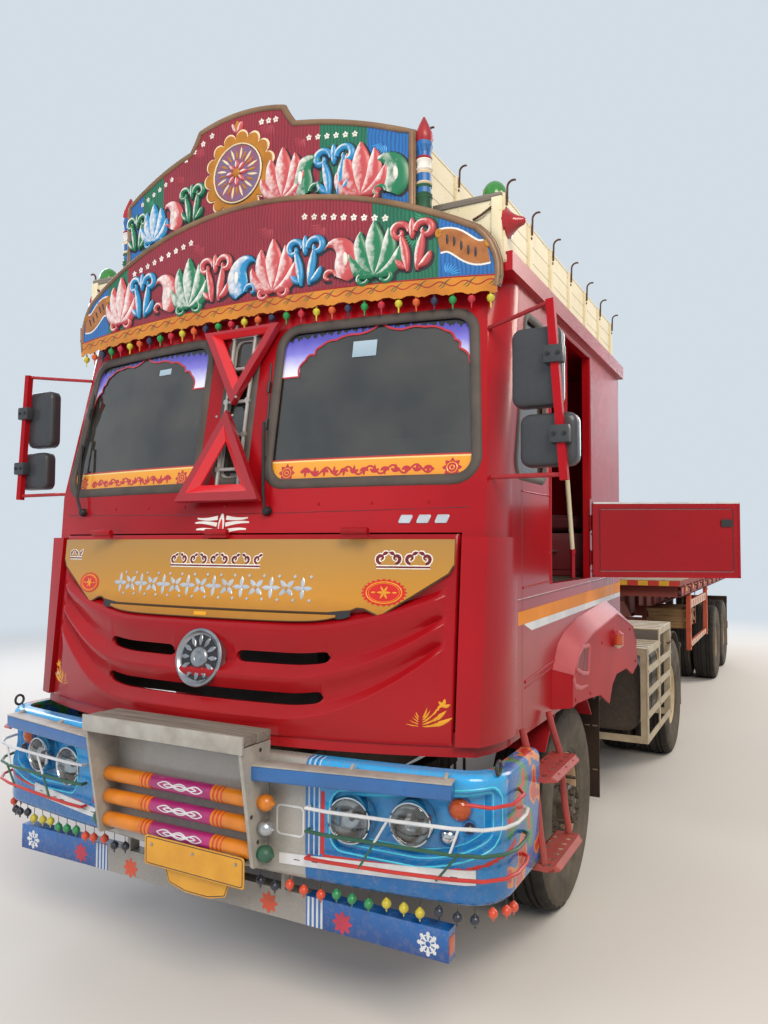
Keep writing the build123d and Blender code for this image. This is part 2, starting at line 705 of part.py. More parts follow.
def on_screen(x, up, proud):
    """A point by its way across and up the windscreen's slope from the belt line, and how far it stands proud."""
    y = CAB_SECTIONS[1][2] + up * math.sin(SCREEN_LEAN) - proud * math.cos(SCREEN_LEAN)
    z = CAB_BELT_Z + up * math.cos(SCREEN_LEAN) + proud * math.sin(SCREEN_LEAN)
    return (x, y, z)


def screen_triangle(points, proud):
    """A triangular outline as a face that lies along the windscreen's slope."""
    return make_face(Polyline(*[on_screen(x, up, proud) for x, up in points], close=True))


def windscreen_ornaments():
    """Two open triangular frames, one over the other, bevelled towards their openings and held on studs."""
    # half width, height of the flat edge, height of the tip: outer edge, bevel's edge, opening; stand-off, stud
    frames = (
        ((213, 752, 385), (165, 738, 454), (120, 722, 515), 18, (84, 737)),
        ((232, -70, 347), (170, -32, 274), (110, 8, 206), 48, (150, -50)),
    )
    depth = 34
    solids = []
    for outer, bevel, opening, proud, stud in frames:
        edges = [[(-half, flat), (half, flat), (0, tip)] for half, flat, tip in (outer, bevel, opening)]
        front, back = proud + depth, proud
        frame = loft([screen_triangle(edges[0], back), screen_triangle(edges[0], front)], ruled=True)
        frame = frame - loft([screen_triangle(edges[2], back - 1), screen_triangle(edges[1], front + 1)], ruled=True)
        studs = pair(rod(on_screen(*stud, back + 4), on_screen(*stud, -30), 8))
        solids.append(fuse([frame] + [pin - cab_form(0) for pin in studs]))
    solids.append(screen_ladder())
    save("windscreen_ornaments", solids)


def screen_ladder():
    """Light ladder of flat bar that spans the narrow middle pane, its feet on the panel above and below."""
    rail_x, rail_ends, rung_ups = 60, (6, 790), (90, 250, 410, 570, 730)
    shapes = []
    for x in (-rail_x, rail_x):
        shapes.append(bar(on_screen(x, rail_ends[0], 5), on_screen(x, rail_ends[1], 5), 18, 11))
    for up in rung_ups:
        shapes.append(bar(on_screen(-rail_x, up, 5), on_screen(rail_x, up, 5), 16, 8, (0, 1, 0)))
    return fuse(shapes) - cab_form(0)


def seats():
    """Driver's seat on the right, crew seat on the left and the bunk across the rear wall."""
    shapes = []
    for x in (-640, 640):
        cushion = block((x - 230, x + 230), (1250, 1720), (1980, 2110))
        back = block((x - 230, x + 230), (1720, 1830), (1980, 2650))
        box = block((x - 190, x + 190), (1290, 1700), (FLOOR_Z, 1980))
        shapes.append(fuse([cushion, back, box]))
    bunk = block((-1150, 1150), (1870, 2480), (FLOOR_Z, 2080))
    return shapes, bunk


def cab_fittings(inner):
    """Seats, bunk, dashboard and steering wheel."""
    seat_shapes, bunk = seats()
    save("cab_seats", seat_shapes + [bunk])
    top = [(330, 2060), (130, 2060), (130, 2140), (330, 2160), (520, 2100), (560, 1960), (360, 1900), (360, 2060)]
    dash = prism_x(top, (-1140, 1140)) & inner
    save("dashboard", [dash, steering_wheel()])


def steering_wheel():
    """Rim, hub and three spokes on a column that leans forward and stands on the floor."""
    ring_r, bar_r, lean = 235, 16, 28
    corners = [math.radians(60 * turn) for turn in range(6)]
    section = [(ring_r + bar_r * math.cos(a), bar_r * math.sin(a)) for a in corners]
    rim = revolve(Plane.XZ * make_face(Polyline(*section, close=True)), Axis.Z)
    spokes = [block((-ring_r + 8, ring_r - 8), (-15, 15), (-8, 8)), block((-15, 15), (-ring_r + 8, 0), (-8, 8))]
    column = Pos(0, 0, -340) * Cylinder(28, 660)
    wheel = Pos(-640, 800, 2260) * Rot(-lean, 0, 0) * fuse([rim, Cylinder(40, 60), column] + spokes)
    return wheel - block((-800, -500), (300, 900), (1400, FLOOR_Z))


# Front end

BUMPER_Z = (600, 1060)
BUMPER_HALF = 1317
LAMPS = ((754, 851, 90), (996, 867, 84))


def bumper_plan(inset, z):
    """The bumper's plan, drawn in by an even amount: bowed front, round corners and short sides."""
    half, side_y = BUMPER_HALF - inset, 350
    edges = [
        ThreePointArc((-1190 + inset / 2, -150 + inset), (0, -250 + inset), (1190 - inset / 2, -150 + inset)),
        ThreePointArc((1190 - inset / 2, -150 + inset), (1286 - inset * 0.8, -95 + inset), (half, 0)),
        Line((half, 0), (half, side_y)),
        Line((half, side_y), (-half, side_y)),
        Line((-half, side_y), (-half, 0)),
        ThreePointArc((-half, 0), (-1286 + inset * 0.8, -95 + inset), (-1190 + inset / 2, -150 + inset)),
    ]
    return Pos(0, 0, z[0]) * extrude(make_face(Wire(edges)), z[1] - z[0])


def front_bumper():
    """Pressed channel bumper that wraps round both corners, with holes for the lamps."""
    skin, flange, edge_r = 14, 72, 30
    z0, z1 = BUMPER_Z
    form = bumper_plan(0, BUMPER_Z)
    rims = [edge for edge in form.edges() if edge.center().Y < 300 and abs(edge.tangent_at(0.5).Z) < 0.5]
    form = fillet(rims, edge_r)
    shell = form - bumper_plan(skin, (z0 + skin, z1 - skin)) - bumper_plan(flange, (z0 - 1, z1 + 1))
    shell = shell - block((-1400, 1400), (340, 360), (z0 - 1, z1 + 1))
    lamps = []
    for x, z, radius in LAMPS:
        for side in (-1, 1):
            zone = rod((side * x, -300, z), (side * x, 0, z), radius)
            shell = shell - zone
            lamps.append(zone & (bumper_plan(-10, (700, 1000)) - bumper_plan(60, (700, 1000))))
    save("front_bumper", [shell])
    save("lamps", lamps + roof_lamps())


def bumper_rack():
    """Two side plates, a plank across their tops and three tubes that run through them."""
    plate = prism_x([(-200, 1120), (-420, 1120), (-420, 1075), (-335, 650), (-200, 630)], (398, 412))
    plates = [shape - bumper_plan(0, (0, 1062)) for shape in pair(plate)]
    plank = block((-415, 415), (-420, -235), (1120, 1160))
    tubes = [rod((-440, -297, z), (440, -297, z), 31) for z in (893, 797, 700)]
    visors = pair(bar((405, -327, 1016), (1165, -190, 1016), 58, 62, (0.18, -1, 0)))
    visors = [visor - bumper_plan(0, (0, 1062)) for visor in visors]
    save("bumper_rack", [fuse(plates + [plank] + tubes + visors)] + lamp_guards())


GUARD_LEVELS = (690, 785, 875)
GUARD_R = 9
GUARD_BEND_R = 70


def lamp_guards():
    """Rods a side that stand in front of the lamps and bend round the corner to the bumper's end."""
    shapes = []
    for z in GUARD_LEVELS:
        route = [(470, -200, z), (470, -281, z), (1215, -190, z), (1356, -60, z), (1356, 300, z), (1300, 300, z)]
        path = FilletPolyline(*route, radius=[30, GUARD_BEND_R, GUARD_BEND_R, 30])
        section = Plane(origin=route[0], z_dir=(0, -1, 0)) * RegularPolygon(GUARD_R, 8)
        shapes += pair(sweep(section, path=path) - bumper_plan(0, (BUMPER_Z[0], 1060)))
    return shapes


def underrun_beam():
    """Low square beam across the front, hung from the rails."""
    beam = block((-1133, 1133), (-150, -90), (395, 508))
    hangers = pair(block((410, 428), (-150, -95), (508, RAIL_Z[0])))
    save("underrun_beam", [fuse([beam] + hangers)])


def side_steps():
    """Two treads a side in bent frames that hang from the cab and the bumper's ends."""
    frame = []
    for y in (350, 740):
        frame.append(bar((1245, y, 1130), (1300, y, 940), 28, 28))
        frame.append(bar((1300, y, 960), (1330, y, 600), 28, 28))
    treads = []
    for x, z in (((1235, 1385), (940, 952)), ((1262, 1395), (592, 604))):
        tread = block(x, (330, 760), z)
        outer_corners = [edge for edge in tread.edges().filter_by(Axis.Z) if edge.center().X > x[0] + 50]
        treads.append(fillet(outer_corners, 60))
    step = fuse(frame + treads) - bumper_plan(0, BUMPER_Z) - cab_form(0)
    save("side_steps", pair(step))


# Behind the cab

CAGE_X = (700, 1300)
CAGE_Y = (3090, 4280)


def side_cages():
    """Flat-bar guards round the tank and the battery side, tops stepped up to the rear."""
    x0, x1 = CAGE_X
    y0, y1 = CAGE_Y
    wide, thin = 50, 8
    shapes = []
    for y, top in ((y0, 1150), (y1 - wide, 1240)):
        shapes.append(block((x1 - thin, x1), (y, y + wide), (470, top)))
        end = block((x0, x1 - thin), (y, y + thin), (470, top))
        end = end - block((x0 + wide, x1 - wide), (y, y + thin), (470 + wide, top - wide))
        shapes.append(end + block((RAIL_X[1], x0 + wide), (y, y + thin), (880, 880 + wide)))
    shapes.append(block((x1 - thin, x1), (3640, 3690), (470, 1240)))
    for z in (470, 640, 800, 960):
        shapes.append(block((x1 - thin, x1), (y0, y1), (z, z + wide)))
    top_a, top_b = (y0, 3640, 1150), (3640, y1, 1240)
    for low, high, z in (top_a, top_b):
        shapes.append(block((x1 - thin, x1), (low, high), (z - wide, z)))
        shapes.append(block((x0, x0 + wide), (low, high), (z - thin, z)))
        slat = low
        while slat + wide <= high:
            shapes.append(block((x0, x1), (slat, slat + wide), (z - thin, z)))
            slat += 118
    cage = fuse(shapes)
    save("side_cages", pair(cage))


def fuel_tank():
    """Rounded steel tank slung outside the left rail, with its two bearers."""
    tank = fillet(block((560, 1230), (3160, 4220), (540, 1080)).edges().filter_by(Axis.Y), 110)
    bearers = [block((RAIL_X[1], 580), (y, y + 60), (700, 940)) for y in (3350, 3950)]
    save("fuel_tank", [fuse([tank] + bearers)])


def right_side_tanks():
    """Two round air reservoirs and the battery box outside the right rail."""
    box = block((-1200, -560), (3160, 3780), (620, 1060))
    bearer = block((-560, -RAIL_X[1]), (3400, 3500), (700, 940))
    tanks = [rod((-800, 3840, z), (-800, 4200, z), 120) for z in (680, 940)]
    saddle = block((-700, -RAIL_X[1]), (4000, 4060), (660, 960))
    save("right_side_tanks", [box + bearer, fuse(tanks + [saddle])] + silencer())


def silencer():
    """Drum silencer under the right side of the cab, with its pipe from the engine."""
    drum = rod((-700, 2150, 700), (-700, 2900, 700), 130)
    pipe = rod((-700, 2900, 700), (-700, 3040, 700), 45)
    strap = block((-600, -RAIL_X[1]), (2480, 2540), (680, 790))
    return [fuse([drum, pipe, strap])]


FIFTH_WHEEL_Z = 1268


def fifth_wheel():
    """Coupling plate with a V throat and round jaw, on a trunnion stand across the rails."""
    y = KINGPIN_Y
    outline = [(-450, y - 330), (450, y - 330), (450, y + 120), (260, y + 420), (-260, y + 420), (-450, y + 120)]
    plate = prism_z(outline, (FIFTH_WHEEL_Z - 40, FIFTH_WHEEL_Z))
    through = (FIFTH_WHEEL_Z - 41, FIFTH_WHEEL_Z + 1)
    throat = prism_z([(-29, y), (29, y), (150, y + 421), (-150, y + 421)], through)
    jaw = rod((0, y, through[0]), (0, y, through[1]), 29)
    plate = plate - throat - jaw
    cheeks = pair(prism_x([(y - 200, 1012), (y + 200, 1012), (y + 90, 1228), (y - 90, 1228)], (300, 360)))
    base = block((-428, 428), (y - 260, y + 260), (RAIL_Z[1], 1012))
    save("fifth_wheel", [fuse([plate, base] + cheeks)])


def rear_mudguards():
    """Arched guards and hanging flaps over the drive wheels, on brackets from the rails."""
    y, z = DRIVE_AXLE_Y, TYRE_R
    ring = rod((630, y, z), (1240, y, z), 580) - rod((620, y, z), (1250, y, z), 572)
    guard = ring & block((600, 1260), (y - 560, y + 560), (z + 330, 1200))
    arms = [block((RAIL_X[1], 640), (y + step, y + step + 40), (930, 960)) for step in (-480, 440)]
    flap = block((640, 1230), (y + 585, y + 593), (330, 930))
    flap_arm = block((RAIL_X[1], 1230), (y + 593, y + 633), (890, 930))
    save("rear_mudguards", pair(fuse([guard] + arms)) + pair(fuse([flap, flap_arm])))


def front_mudflaps():
    """Rubber flaps behind the front wheels, hung from arms on the rails."""
    y = FRONT_AXLE_Y + TYRE_R + 110
    flap = block((760, 1190), (y, y + 8), (380, 1000))
    arm = block((RAIL_X[1], 1190), (y + 8, y + 48), (950, 990))
    save("front_mudflaps", pair(flap + arm))


def back_guard():
    """Mesh screen of angle posts and round wires between the cab and the trailer."""
    y, half, z = (2730, 2770), 1060, (1000, 3030)
    posts = [block((x - 20, x + 20), y, z) for x in (-half, -390, 390, half)]
    rails = [block((-half, half), y, (level, level + 40)) for level in (1000, 2990)]
    wires = []
    for level in range(1200, 2960, 160):
        section = Plane.YZ * Pos(2750, level, 0) * RegularPolygon(8, 6)
        wires.append(Pos(-half, 0, 0) * extrude(section, 2 * half, dir=(1, 0, 0)))
    save("back_guard", [fuse(posts + rails + wires)])


# Trailer

TOW_EYE_X = (485, 515)
TOW_EYE_YZ = (12185, 670)
TOW_EYE_R = 20


def trailer_frame():
    """Two main beams, shallow over the coupling and deep behind it, with cross members, the kingpin's plate
    and a rear under-run bar on posts that carry the rear towing eyes."""
    web = [(3750, 1290), (6150, 1290), (6650, 1080), (12150, 1080), (12150, 1490), (3750, 1490)]
    flange = [
        (3750, 1278), (6155, 1278), (6655, 1068), (12150, 1068),
        (12150, 1080), (6650, 1080), (6150, 1290), (3750, 1290),
    ]
    beam = prism_x(web, (494, 506)) + prism_x(flange, (440, 560))
    beam = beam + block((440, 560), (3750, 12150), (1478, 1490))
    shapes = pair(beam)
    plate = block((-440, 440), (3850, 5150), (1278, 1290))
    pin = rod((0, KINGPIN_Y, 1190), (0, KINGPIN_Y, 1290), 25.4)
    shapes += [plate, pin]
    for y in (3760, 5200):
        shapes.append(block((-494, 494), (y, y + 60), (1290, 1478)))
    for y in (5480, 6700, 7900, 9100, 10180, 11300, 12080):
        shapes.append(block((-DECK_HALF + 40, DECK_HALF - 40), (y, y + 60), (1380, 1478)))
    shapes.append(block((-1200, 1200), (12080, 12150), (480, 600)))
    eye = prism_x([(12100, 600), (12100, 740), (12180, 740), (12225, 700), (12225, 640), (12180, 600)], TOW_EYE_X)
    eye = eye - rod((TOW_EYE_X[0] - 5, *TOW_EYE_YZ), (TOW_EYE_X[1] + 5, *TOW_EYE_YZ), TOW_EYE_R)
    shapes += pair(block((470, 530), (12080, 12150), (600, 1080)) + eye)
    save("trailer_frame", [fuse(shapes)])


def trailer_deck():
    """Deck plate with a channel edge along each side."""
    plate = block((-DECK_HALF, DECK_HALF), DECK_Y, (1490, DECK_Z))
    edge = []
    for side in (-1, 1):
        low, high = sorted((side * (DECK_HALF - 40), side * DECK_HALF))
        edge.append(block((low, high), (5480, DECK_Y[1]), (1380, 1490)))
    save("trailer_deck", [fuse([plate] + edge)])


def trailer_running_gear():
    """Two axle tubes with stubs, leaf packs above them and the hangers under the beams."""
    gear = []
    for y in TRAILER_AXLES_Y:
        tube = rod((-630, y, TYRE_R), (630, y, TYRE_R), 65)
        stub = rod((-1090, y, TYRE_R), (1090, y, TYRE_R), AXLE_SPINDLE_R)
        spring_seats = pair(block((455, 545), (y - 60, y + 60), (TYRE_R, 625)))
        packs = pair(leaf_pack(y, 620, 540, 70, 7, (455, 545)))
        gear += [tube, stub] + spring_seats + packs
    middle = sum(TRAILER_AXLES_Y) / 2
    for y in (TRAILER_AXLES_Y[0] - 560, middle, TRAILER_AXLES_Y[1] + 560):
        gear += pair(prism_x([(y - 45, 780), (y + 45, 780), (y + 90, 1068), (y - 90, 1068)], (450, 550)))
    save("trailer_running_gear", [fuse(gear)])


def trailer_fittings():
    """Side guards, landing legs, mudflaps and the rear bumper."""
    guard = [block((1205, 1250), (y - 40, y + 40), (775, 1380)) for y in (6240, 8010)]
    guard += [block((1210, 1235), (6280, 7970), z) for z in ((790, 850), (1215, 1305))]
    save("side_guards", pair(fuse(guard)))
    leg = block((640, 760), (6840, 6960), (500, 1068))
    foot = block((600, 800), (6800, 7000), (480, 500))
    head = block((560, 760), (6840, 6960), (1068, 1180))
    inner_leg = block((665, 735), (6865, 6935), (440, 500))
    brace = prism_x([(6960, 760), (6960, 700), (7700, 1068), (7620, 1068)], (640, 700))
    tie = block((-640, 640), (6870, 6930), (900, 960))
    save("landing_legs", [fuse(pair(fuse([leg, foot, head, inner_leg, brace])) + [tie])])
    y = TRAILER_AXLES_Y[1] + 640
    flap = block((640, 1235), (y, y + 8), (250, 1000)) + block((560, 1235), (y + 8, y + 48), (960, 1068))
    save("trailer_mudflaps", pair(flap))


def build():
    """Every sub-part."""
    save("chassis_frame", chassis_frame())
    save("engine_and_radiator", engine_block() + radiator())
    save("tractor_springs", tractor_springs())
    save("front_axle_beam", front_axle_beam())
    knuckle = knuckle_left()
    save("knuckle_left", [knuckle])
    save("knuckle_right", [mirrored(knuckle)])
    save("tie_rod", [tie_rod()])
    save("drive_axle", [fuse(drive_axle() + prop_shaft())])
    wheels()
    inner = cab_panels()
    front_hatch()
    cab_floor(inner)
    lower_head_board()
    upper_head_board()
    cab_roof()
    roof_boxes()
    doors()
    fenders()
    mirrors()
    windscreen_ornaments()
    cab_fittings(inner)
    front_bumper()
    bumper_rack()
    underrun_beam()
    side_steps()
    side_cages()
    fuel_tank()
    right_side_tanks()
    fifth_wheel()
    front_mudflaps()
    rear_mudguards()
    back_guard()
    trailer_frame()
    trailer_deck()
    trailer_running_gear()
    trailer_fittings()


build()
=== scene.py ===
import math

import bmesh
import bpy
from mathutils import Matrix, Vector


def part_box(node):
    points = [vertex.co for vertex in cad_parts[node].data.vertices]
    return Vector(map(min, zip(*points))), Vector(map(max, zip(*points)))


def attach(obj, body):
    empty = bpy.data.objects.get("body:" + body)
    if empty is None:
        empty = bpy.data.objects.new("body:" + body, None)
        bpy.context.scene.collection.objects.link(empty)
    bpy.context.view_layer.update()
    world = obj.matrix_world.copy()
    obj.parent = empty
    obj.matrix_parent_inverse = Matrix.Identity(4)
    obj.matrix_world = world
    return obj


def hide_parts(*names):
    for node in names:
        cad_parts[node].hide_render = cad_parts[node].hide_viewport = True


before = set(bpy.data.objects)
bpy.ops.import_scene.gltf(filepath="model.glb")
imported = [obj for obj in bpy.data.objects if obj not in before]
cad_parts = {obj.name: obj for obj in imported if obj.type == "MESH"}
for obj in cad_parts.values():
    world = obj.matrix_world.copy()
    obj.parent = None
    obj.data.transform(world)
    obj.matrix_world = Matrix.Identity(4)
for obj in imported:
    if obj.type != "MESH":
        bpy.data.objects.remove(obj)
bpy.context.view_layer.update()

# Camera and studio
# The lorry is drawn in millimetres from its centreline, its bumper line and the ground, as a coachbuilder
# would. DATUM is that corner's place in the frame, read from the cab roof, which is even about the
# centreline.
MM = 0.001
ROOF_REAR_Y = 2560
roof_low, roof_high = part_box("cab_roof")
DATUM = Vector(((roof_low.x + roof_high.x) / 2, roof_high.y - ROOF_REAR_Y * MM, 0))


def at(x, y, z):
    """A place on the lorry in millimetres, as a point of the frame in metres."""
    return DATUM + Vector((x, y, z)) * MM


camera = bpy.data.objects.new("camera", bpy.data.cameras.new("camera"))
camera.data.lens = 27.3
camera.data.sensor_fit = "VERTICAL"
camera.data.sensor_height = 36
camera.data.clip_end = 200
camera.location = at(2239, -2756, 1872)
camera.rotation_euler = [math.radians(angle) for angle in (92.562, -0.226, 27.766)]
bpy.context.collection.objects.link(camera)
bpy.context.scene.camera = camera
bpy.context.scene.view_settings.view_transform = "Standard"


def linear(hex_colour):
    """An sRGB hex colour as linear red, green, blue and alpha."""
    parts = [int(hex_colour[i:i + 2], 16) / 255 for i in (1, 3, 5)]
    return tuple(c / 12.92 if c <= 0.04045 else ((c + 0.055) / 1.055) ** 2.4 for c in parts) + (1.0,)


def node(tree, kind, settings=None, links=None):
    """Add one shader node: settings are its properties or input values, links are what feeds its inputs, a
    node there standing for its first output."""
    made = tree.nodes.new("ShaderNode" + kind)
    for key, value in (settings or {}).items():
        if isinstance(key, str) and key not in made.inputs:
            setattr(made, key, value)
        else:
            made.inputs[key].default_value = value
    for key, source in (links or {}).items():
        tree.links.new(source.outputs[0] if isinstance(source, bpy.types.Node) else source,
            made.inputs[key])
    return made


def blank_material(name):
    """A new material and its emptied node tree."""
    made = bpy.data.materials.new(name)
    made.use_nodes = True
    made.node_tree.nodes.clear()
    return made, made.node_tree


world = bpy.data.worlds.new("studio")
bpy.context.scene.world = world
world.use_nodes = True
sky = world.node_tree
sky.nodes.clear()
ray = node(sky, "LightPath")
seen = node(sky, "Math", {"operation": "MAXIMUM"}, {0: ray.outputs["Is Camera Ray"],
    1: ray.outputs["Is Glossy Ray"]})
seen = node(sky, "Math", {"operation": "MAXIMUM"}, {0: seen, 1: ray.outputs["Is Transmission Ray"]})
BACKDROP = "#d3dde6"
backdrop = node(sky, "Background", {"Color": linear(BACKDROP), "Strength": 1.0})
fill = node(sky, "Background", {"Color": linear("#e3e8f0"), "Strength": 0.55})
both = node(sky, "MixShader", {}, {0: seen, 1: fill, 2: backdrop})
node(sky, "OutputWorld", {}, {"Surface": both})


def lamp(name, place, aim, size, watts, colour, mirrored=True):
    """A soft area lamp that looks at a point of the lorry."""
    light = bpy.data.lights.new(name, "AREA")
    light.shape = "DISK"
    light.size = size
    light.energy = watts
    light.color = linear(colour)[:3]
    item = bpy.data.objects.new(name, light)
    item.visible_glossy = mirrored
    item.location = at(*place)
    item.rotation_euler = (at(*aim) - item.location).to_track_quat("-Z", "Y").to_euler()
    bpy.context.collection.objects.link(item)


lamp("key_light", (6500, -6500, 9000), (0, 1500, 1500), 6.0, 950, "#fff1e0")
lamp("front_light", (-3500, -9000, 5500), (0, 0, 1800), 6.0, 420, "#f2f5ff", mirrored=False)
lamp("rear_light", (8500, 12500, 8500), (0, 8000, 1000), 7.0, 850, "#fff4e6")
lamp("right_light", (-9500, 5000, 7000), (0, 5000, 1200), 7.0, 560, "#eef3ff")
lamp("back_light", (0, 21000, 6500), (0, 10000, 1200), 6.0, 560, "#f4f7ff")

FLOOR_REACH = 60
floor_mesh = bpy.data.meshes.new("studio_floor")
corners = [(x * FLOOR_REACH, y * FLOOR_REACH, 0) for x, y in ((-1, -1), (1, -1), (1, 1), (-1, 1))]
floor_mesh.from_pydata(corners, [], [(0, 1, 2, 3)])
floor = bpy.data.objects.new("studio_floor", floor_mesh)
bpy.context.collection.objects.link(floor)
floor_paint, tree = blank_material("pale_studio_floor")
matt = node(tree, "BsdfDiffuse", {"Color": linear("#dad7d1")})
spot = node(tree, "TexCoord").outputs["Object"]
distance = node(tree, "VectorMath", {"operation": "LENGTH"}, {0: spot})
faded = node(tree, "MapRange", {1: 7.0, 2: 15.0, "interpolation_type": "SMOOTHSTEP"},
    {0: distance.outputs["Value"]})
far = node(tree, "Emission", {"Color": linear(BACKDROP), "Strength": 1.0})
ground = node(tree, "MixShader", {}, {0: faded, 1: matt, 2: far})
node(tree, "OutputMaterial", {}, {"Surface": ground})
floor_mesh.materials.append(floor_paint)

# Cab shell
# Pressed steel panels on a welded frame, sprayed with bright red synthetic enamel and polished: deep gloss,
# a slight orange-peel ripple, and a film of road dust that grows towards the sills.


def enamel(name, colour, shade, roughness, coat=0.0, metallic=0.0, patch_mm=700, grain_mm=6, ripple=0.02,
        dust=0.0, dust_top_z=1.4, dust_colour="#a58f74", chips=0.0, chip_colour="#4a3b33", shine=0.5):
    """A paint with slow colour drift, a fine ripple, dust that fades out with height, and chips to the
    primer."""
    paint, tree = blank_material(name)
    place = node(tree, "TexCoord").outputs["Object"]
    drift = node(tree, "TexNoise", {"Scale": 1 / (patch_mm * MM), "Detail": 4.0}, {"Vector": place})
    drift_ramp = node(tree, "MapRange", {1: 0.35, 2: 0.7}, {0: drift})
    body = node(tree, "Mix", {"data_type": "RGBA", 6: linear(colour), 7: linear(shade)}, {0: drift_ramp})
    shown = body.outputs[2]
    height = node(tree, "SeparateXYZ", {}, {0: place}).outputs[2]
    low = node(tree, "MapRange", {1: 0.0, 2: dust_top_z, 3: dust, 4: 0.0}, {0: height})
    fine = node(tree, "TexNoise", {"Scale": 1 / (patch_mm * 0.12 * MM), "Detail": 6.0, "Roughness": 0.65},
        {"Vector": place})
    dusty = node(tree, "Math", {"operation": "MULTIPLY"}, {0: low, 1: fine})
    film = node(tree, "Mix", {"data_type": "RGBA", 7: linear(dust_colour)}, {0: dusty, 6: shown})
    shown = film.outputs[2]
    if chips:
        spots = node(tree, "TexNoise", {"Scale": 1 / (patch_mm * 0.05 * MM), "Detail": 8.0},
            {"Vector": place})
        bare = node(tree, "MapRange", {1: 0.74 - chips, 2: 0.76 - chips}, {0: spots})
        chipped = node(tree, "Mix", {"data_type": "RGBA", 7: linear(chip_colour)}, {0: bare, 6: shown})
        shown = chipped.outputs[2]
    grain = node(tree, "TexNoise", {"Scale": 1 / (grain_mm * MM), "Detail": 2.0}, {"Vector": place})
    rough = node(tree, "MapRange", {1: 0.0, 2: 0.5, 3: roughness, 4: min(roughness + 0.35, 0.95)},
        {0: dusty})
    bump = node(tree, "Bump", {"Strength": ripple * 10, "Distance": 0.001}, {"Height": grain})
    skin = node(tree, "BsdfPrincipled", {"Metallic": metallic, "Coat Weight": coat, "Coat Roughness": 0.06,
        "Specular IOR Level": shine}, {"Base Color": shown, "Roughness": rough, "Normal": bump})
    node(tree, "OutputMaterial", {}, {"Surface": skin})
    return paint


def finish(node_name, *paints):
    """Give a carried-over part its real finish."""
    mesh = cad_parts[node_name].data
    mesh.materials.clear()
    for paint in paints:
        mesh.materials.append(paint)


red_coach_enamel = enamel("red_coach_enamel", "#a30e17", "#8c0a13", 0.24, coat=0.1, dust=0.12,
    dust_top_z=1.5, shine=0.25)
for name in ("cab_front", "cab_side_left", "cab_side_right", "cab_rear_wall", "cab_roof", "left_door",
        "right_door"):
    finish(name, red_coach_enamel)


def tube(points, radius, sides, closed=False):
    """A round bar along a path of points, its rings turned into each bend, with its ends closed."""
    path = [Vector(p) for p in points]
    count = len(path)
    verts, faces = [], []
    across = None
    for i, here in enumerate(path):
        before = path[i - 1] if i or closed else here
        after = path[(i + 1) % count] if i < count - 1 or closed else here
        along_in = (here - before).normalized() if here != before else (after - here).normalized()
        along_out = (after - here).normalized() if after != here else along_in
        along = (along_in + along_out).normalized()
        if across is None:
            across = along.orthogonal().normalized()
        across = (across - along * across.dot(along)).normalized()
        other = along.cross(across)
        stretch = 1 / max(math.cos(along_in.angle(along_out, 0) / 2), 0.5)
        turn_axis = along_in.cross(along_out)
        for side in range(sides):
            angle = 2 * math.pi * side / sides
            offset = across * math.cos(angle) + other * math.sin(angle)
            if turn_axis.length > 1e-6:
                outward = turn_axis.cross(along).normalized()
                offset += outward * offset.dot(outward) * (stretch - 1)
            verts.append(here + offset * radius)
    for i in range(count if closed else count - 1):
        for side in range(sides):
            a, b = i * sides + side, i * sides + (side + 1) % sides
            c, d = ((i + 1) % count) * sides + (side + 1) % sides, ((i + 1) % count) * sides + side
            faces.append((a, b, c, d))
    if not closed:
        faces += [tuple(reversed(range(sides))), tuple(range((count - 1) * sides, count * sides))]
    return verts, faces


def lathe(profile, centre, axis, sides):
    """A profile of (along, radius) pairs turned about a line through a point."""
    verts, faces = [], []
    count = len(profile)
    for side in range(sides):
        angle = 2 * math.pi * side / sides
        for along, radius in profile:
            u, v = radius * math.cos(angle), radius * math.sin(angle)
            offset = {"X": (along, u, v), "Y": (v, along, u), "Z": (u, v, along)}[axis]
            verts.append(Vector(centre) + Vector(offset))
    for side in range(sides):
        for i in range(count - 1):
            if profile[i][1] == profile[i + 1][1] == 0:
                continue
            a, b = side * count + i, side * count + i + 1
            c, d = ((side + 1) % sides) * count + i + 1, ((side + 1) % sides) * count + i
            faces.append((a, b, c, d))
    return verts, faces


def slab(outline, place, depth, bevel=0.0):
    """An outline of (u, v) pairs as a plate: place(u, v, w) gives each corner, w standing out from the
    surface."""
    count = len(outline)
    area = sum(outline[i - 1][0] * outline[i][1] - outline[i][0] * outline[i - 1][1] for i in range(count))
    points = list(outline) if area > 0 else list(reversed(outline))
    top = points
    if bevel:
        top = []
        for i, (u, v) in enumerate(points):
            before, after = Vector(points[i - 1]), Vector(points[(i + 1) % count])
            here = Vector((u, v))
            normal_in = Vector((-(here - before).y, (here - before).x)).normalized()
            normal_out = Vector((-(after - here).y, (after - here).x)).normalized()
            inward = normal_in + normal_out
            inward = inward.normalized() if inward.length > 1e-6 else normal_in
            top.append(tuple(here + inward * bevel))
    verts = [place(u, v, 0) for u, v in points]
    faces = []
    if bevel:
        verts += [place(u, v, depth - bevel) for u, v in points]
    verts += [place(u, v, depth) for u, v in top]
    rings = 3 if bevel else 2
    for ring in range(rings - 1):
        for i in range(count):
            j = (i + 1) % count
            faces.append((ring * count + i, ring * count + j, (ring + 1) * count + j,
                (ring + 1) * count + i))
    faces += [tuple(range((rings - 1) * count, rings * count)), tuple(reversed(range(count)))]
    return verts, faces


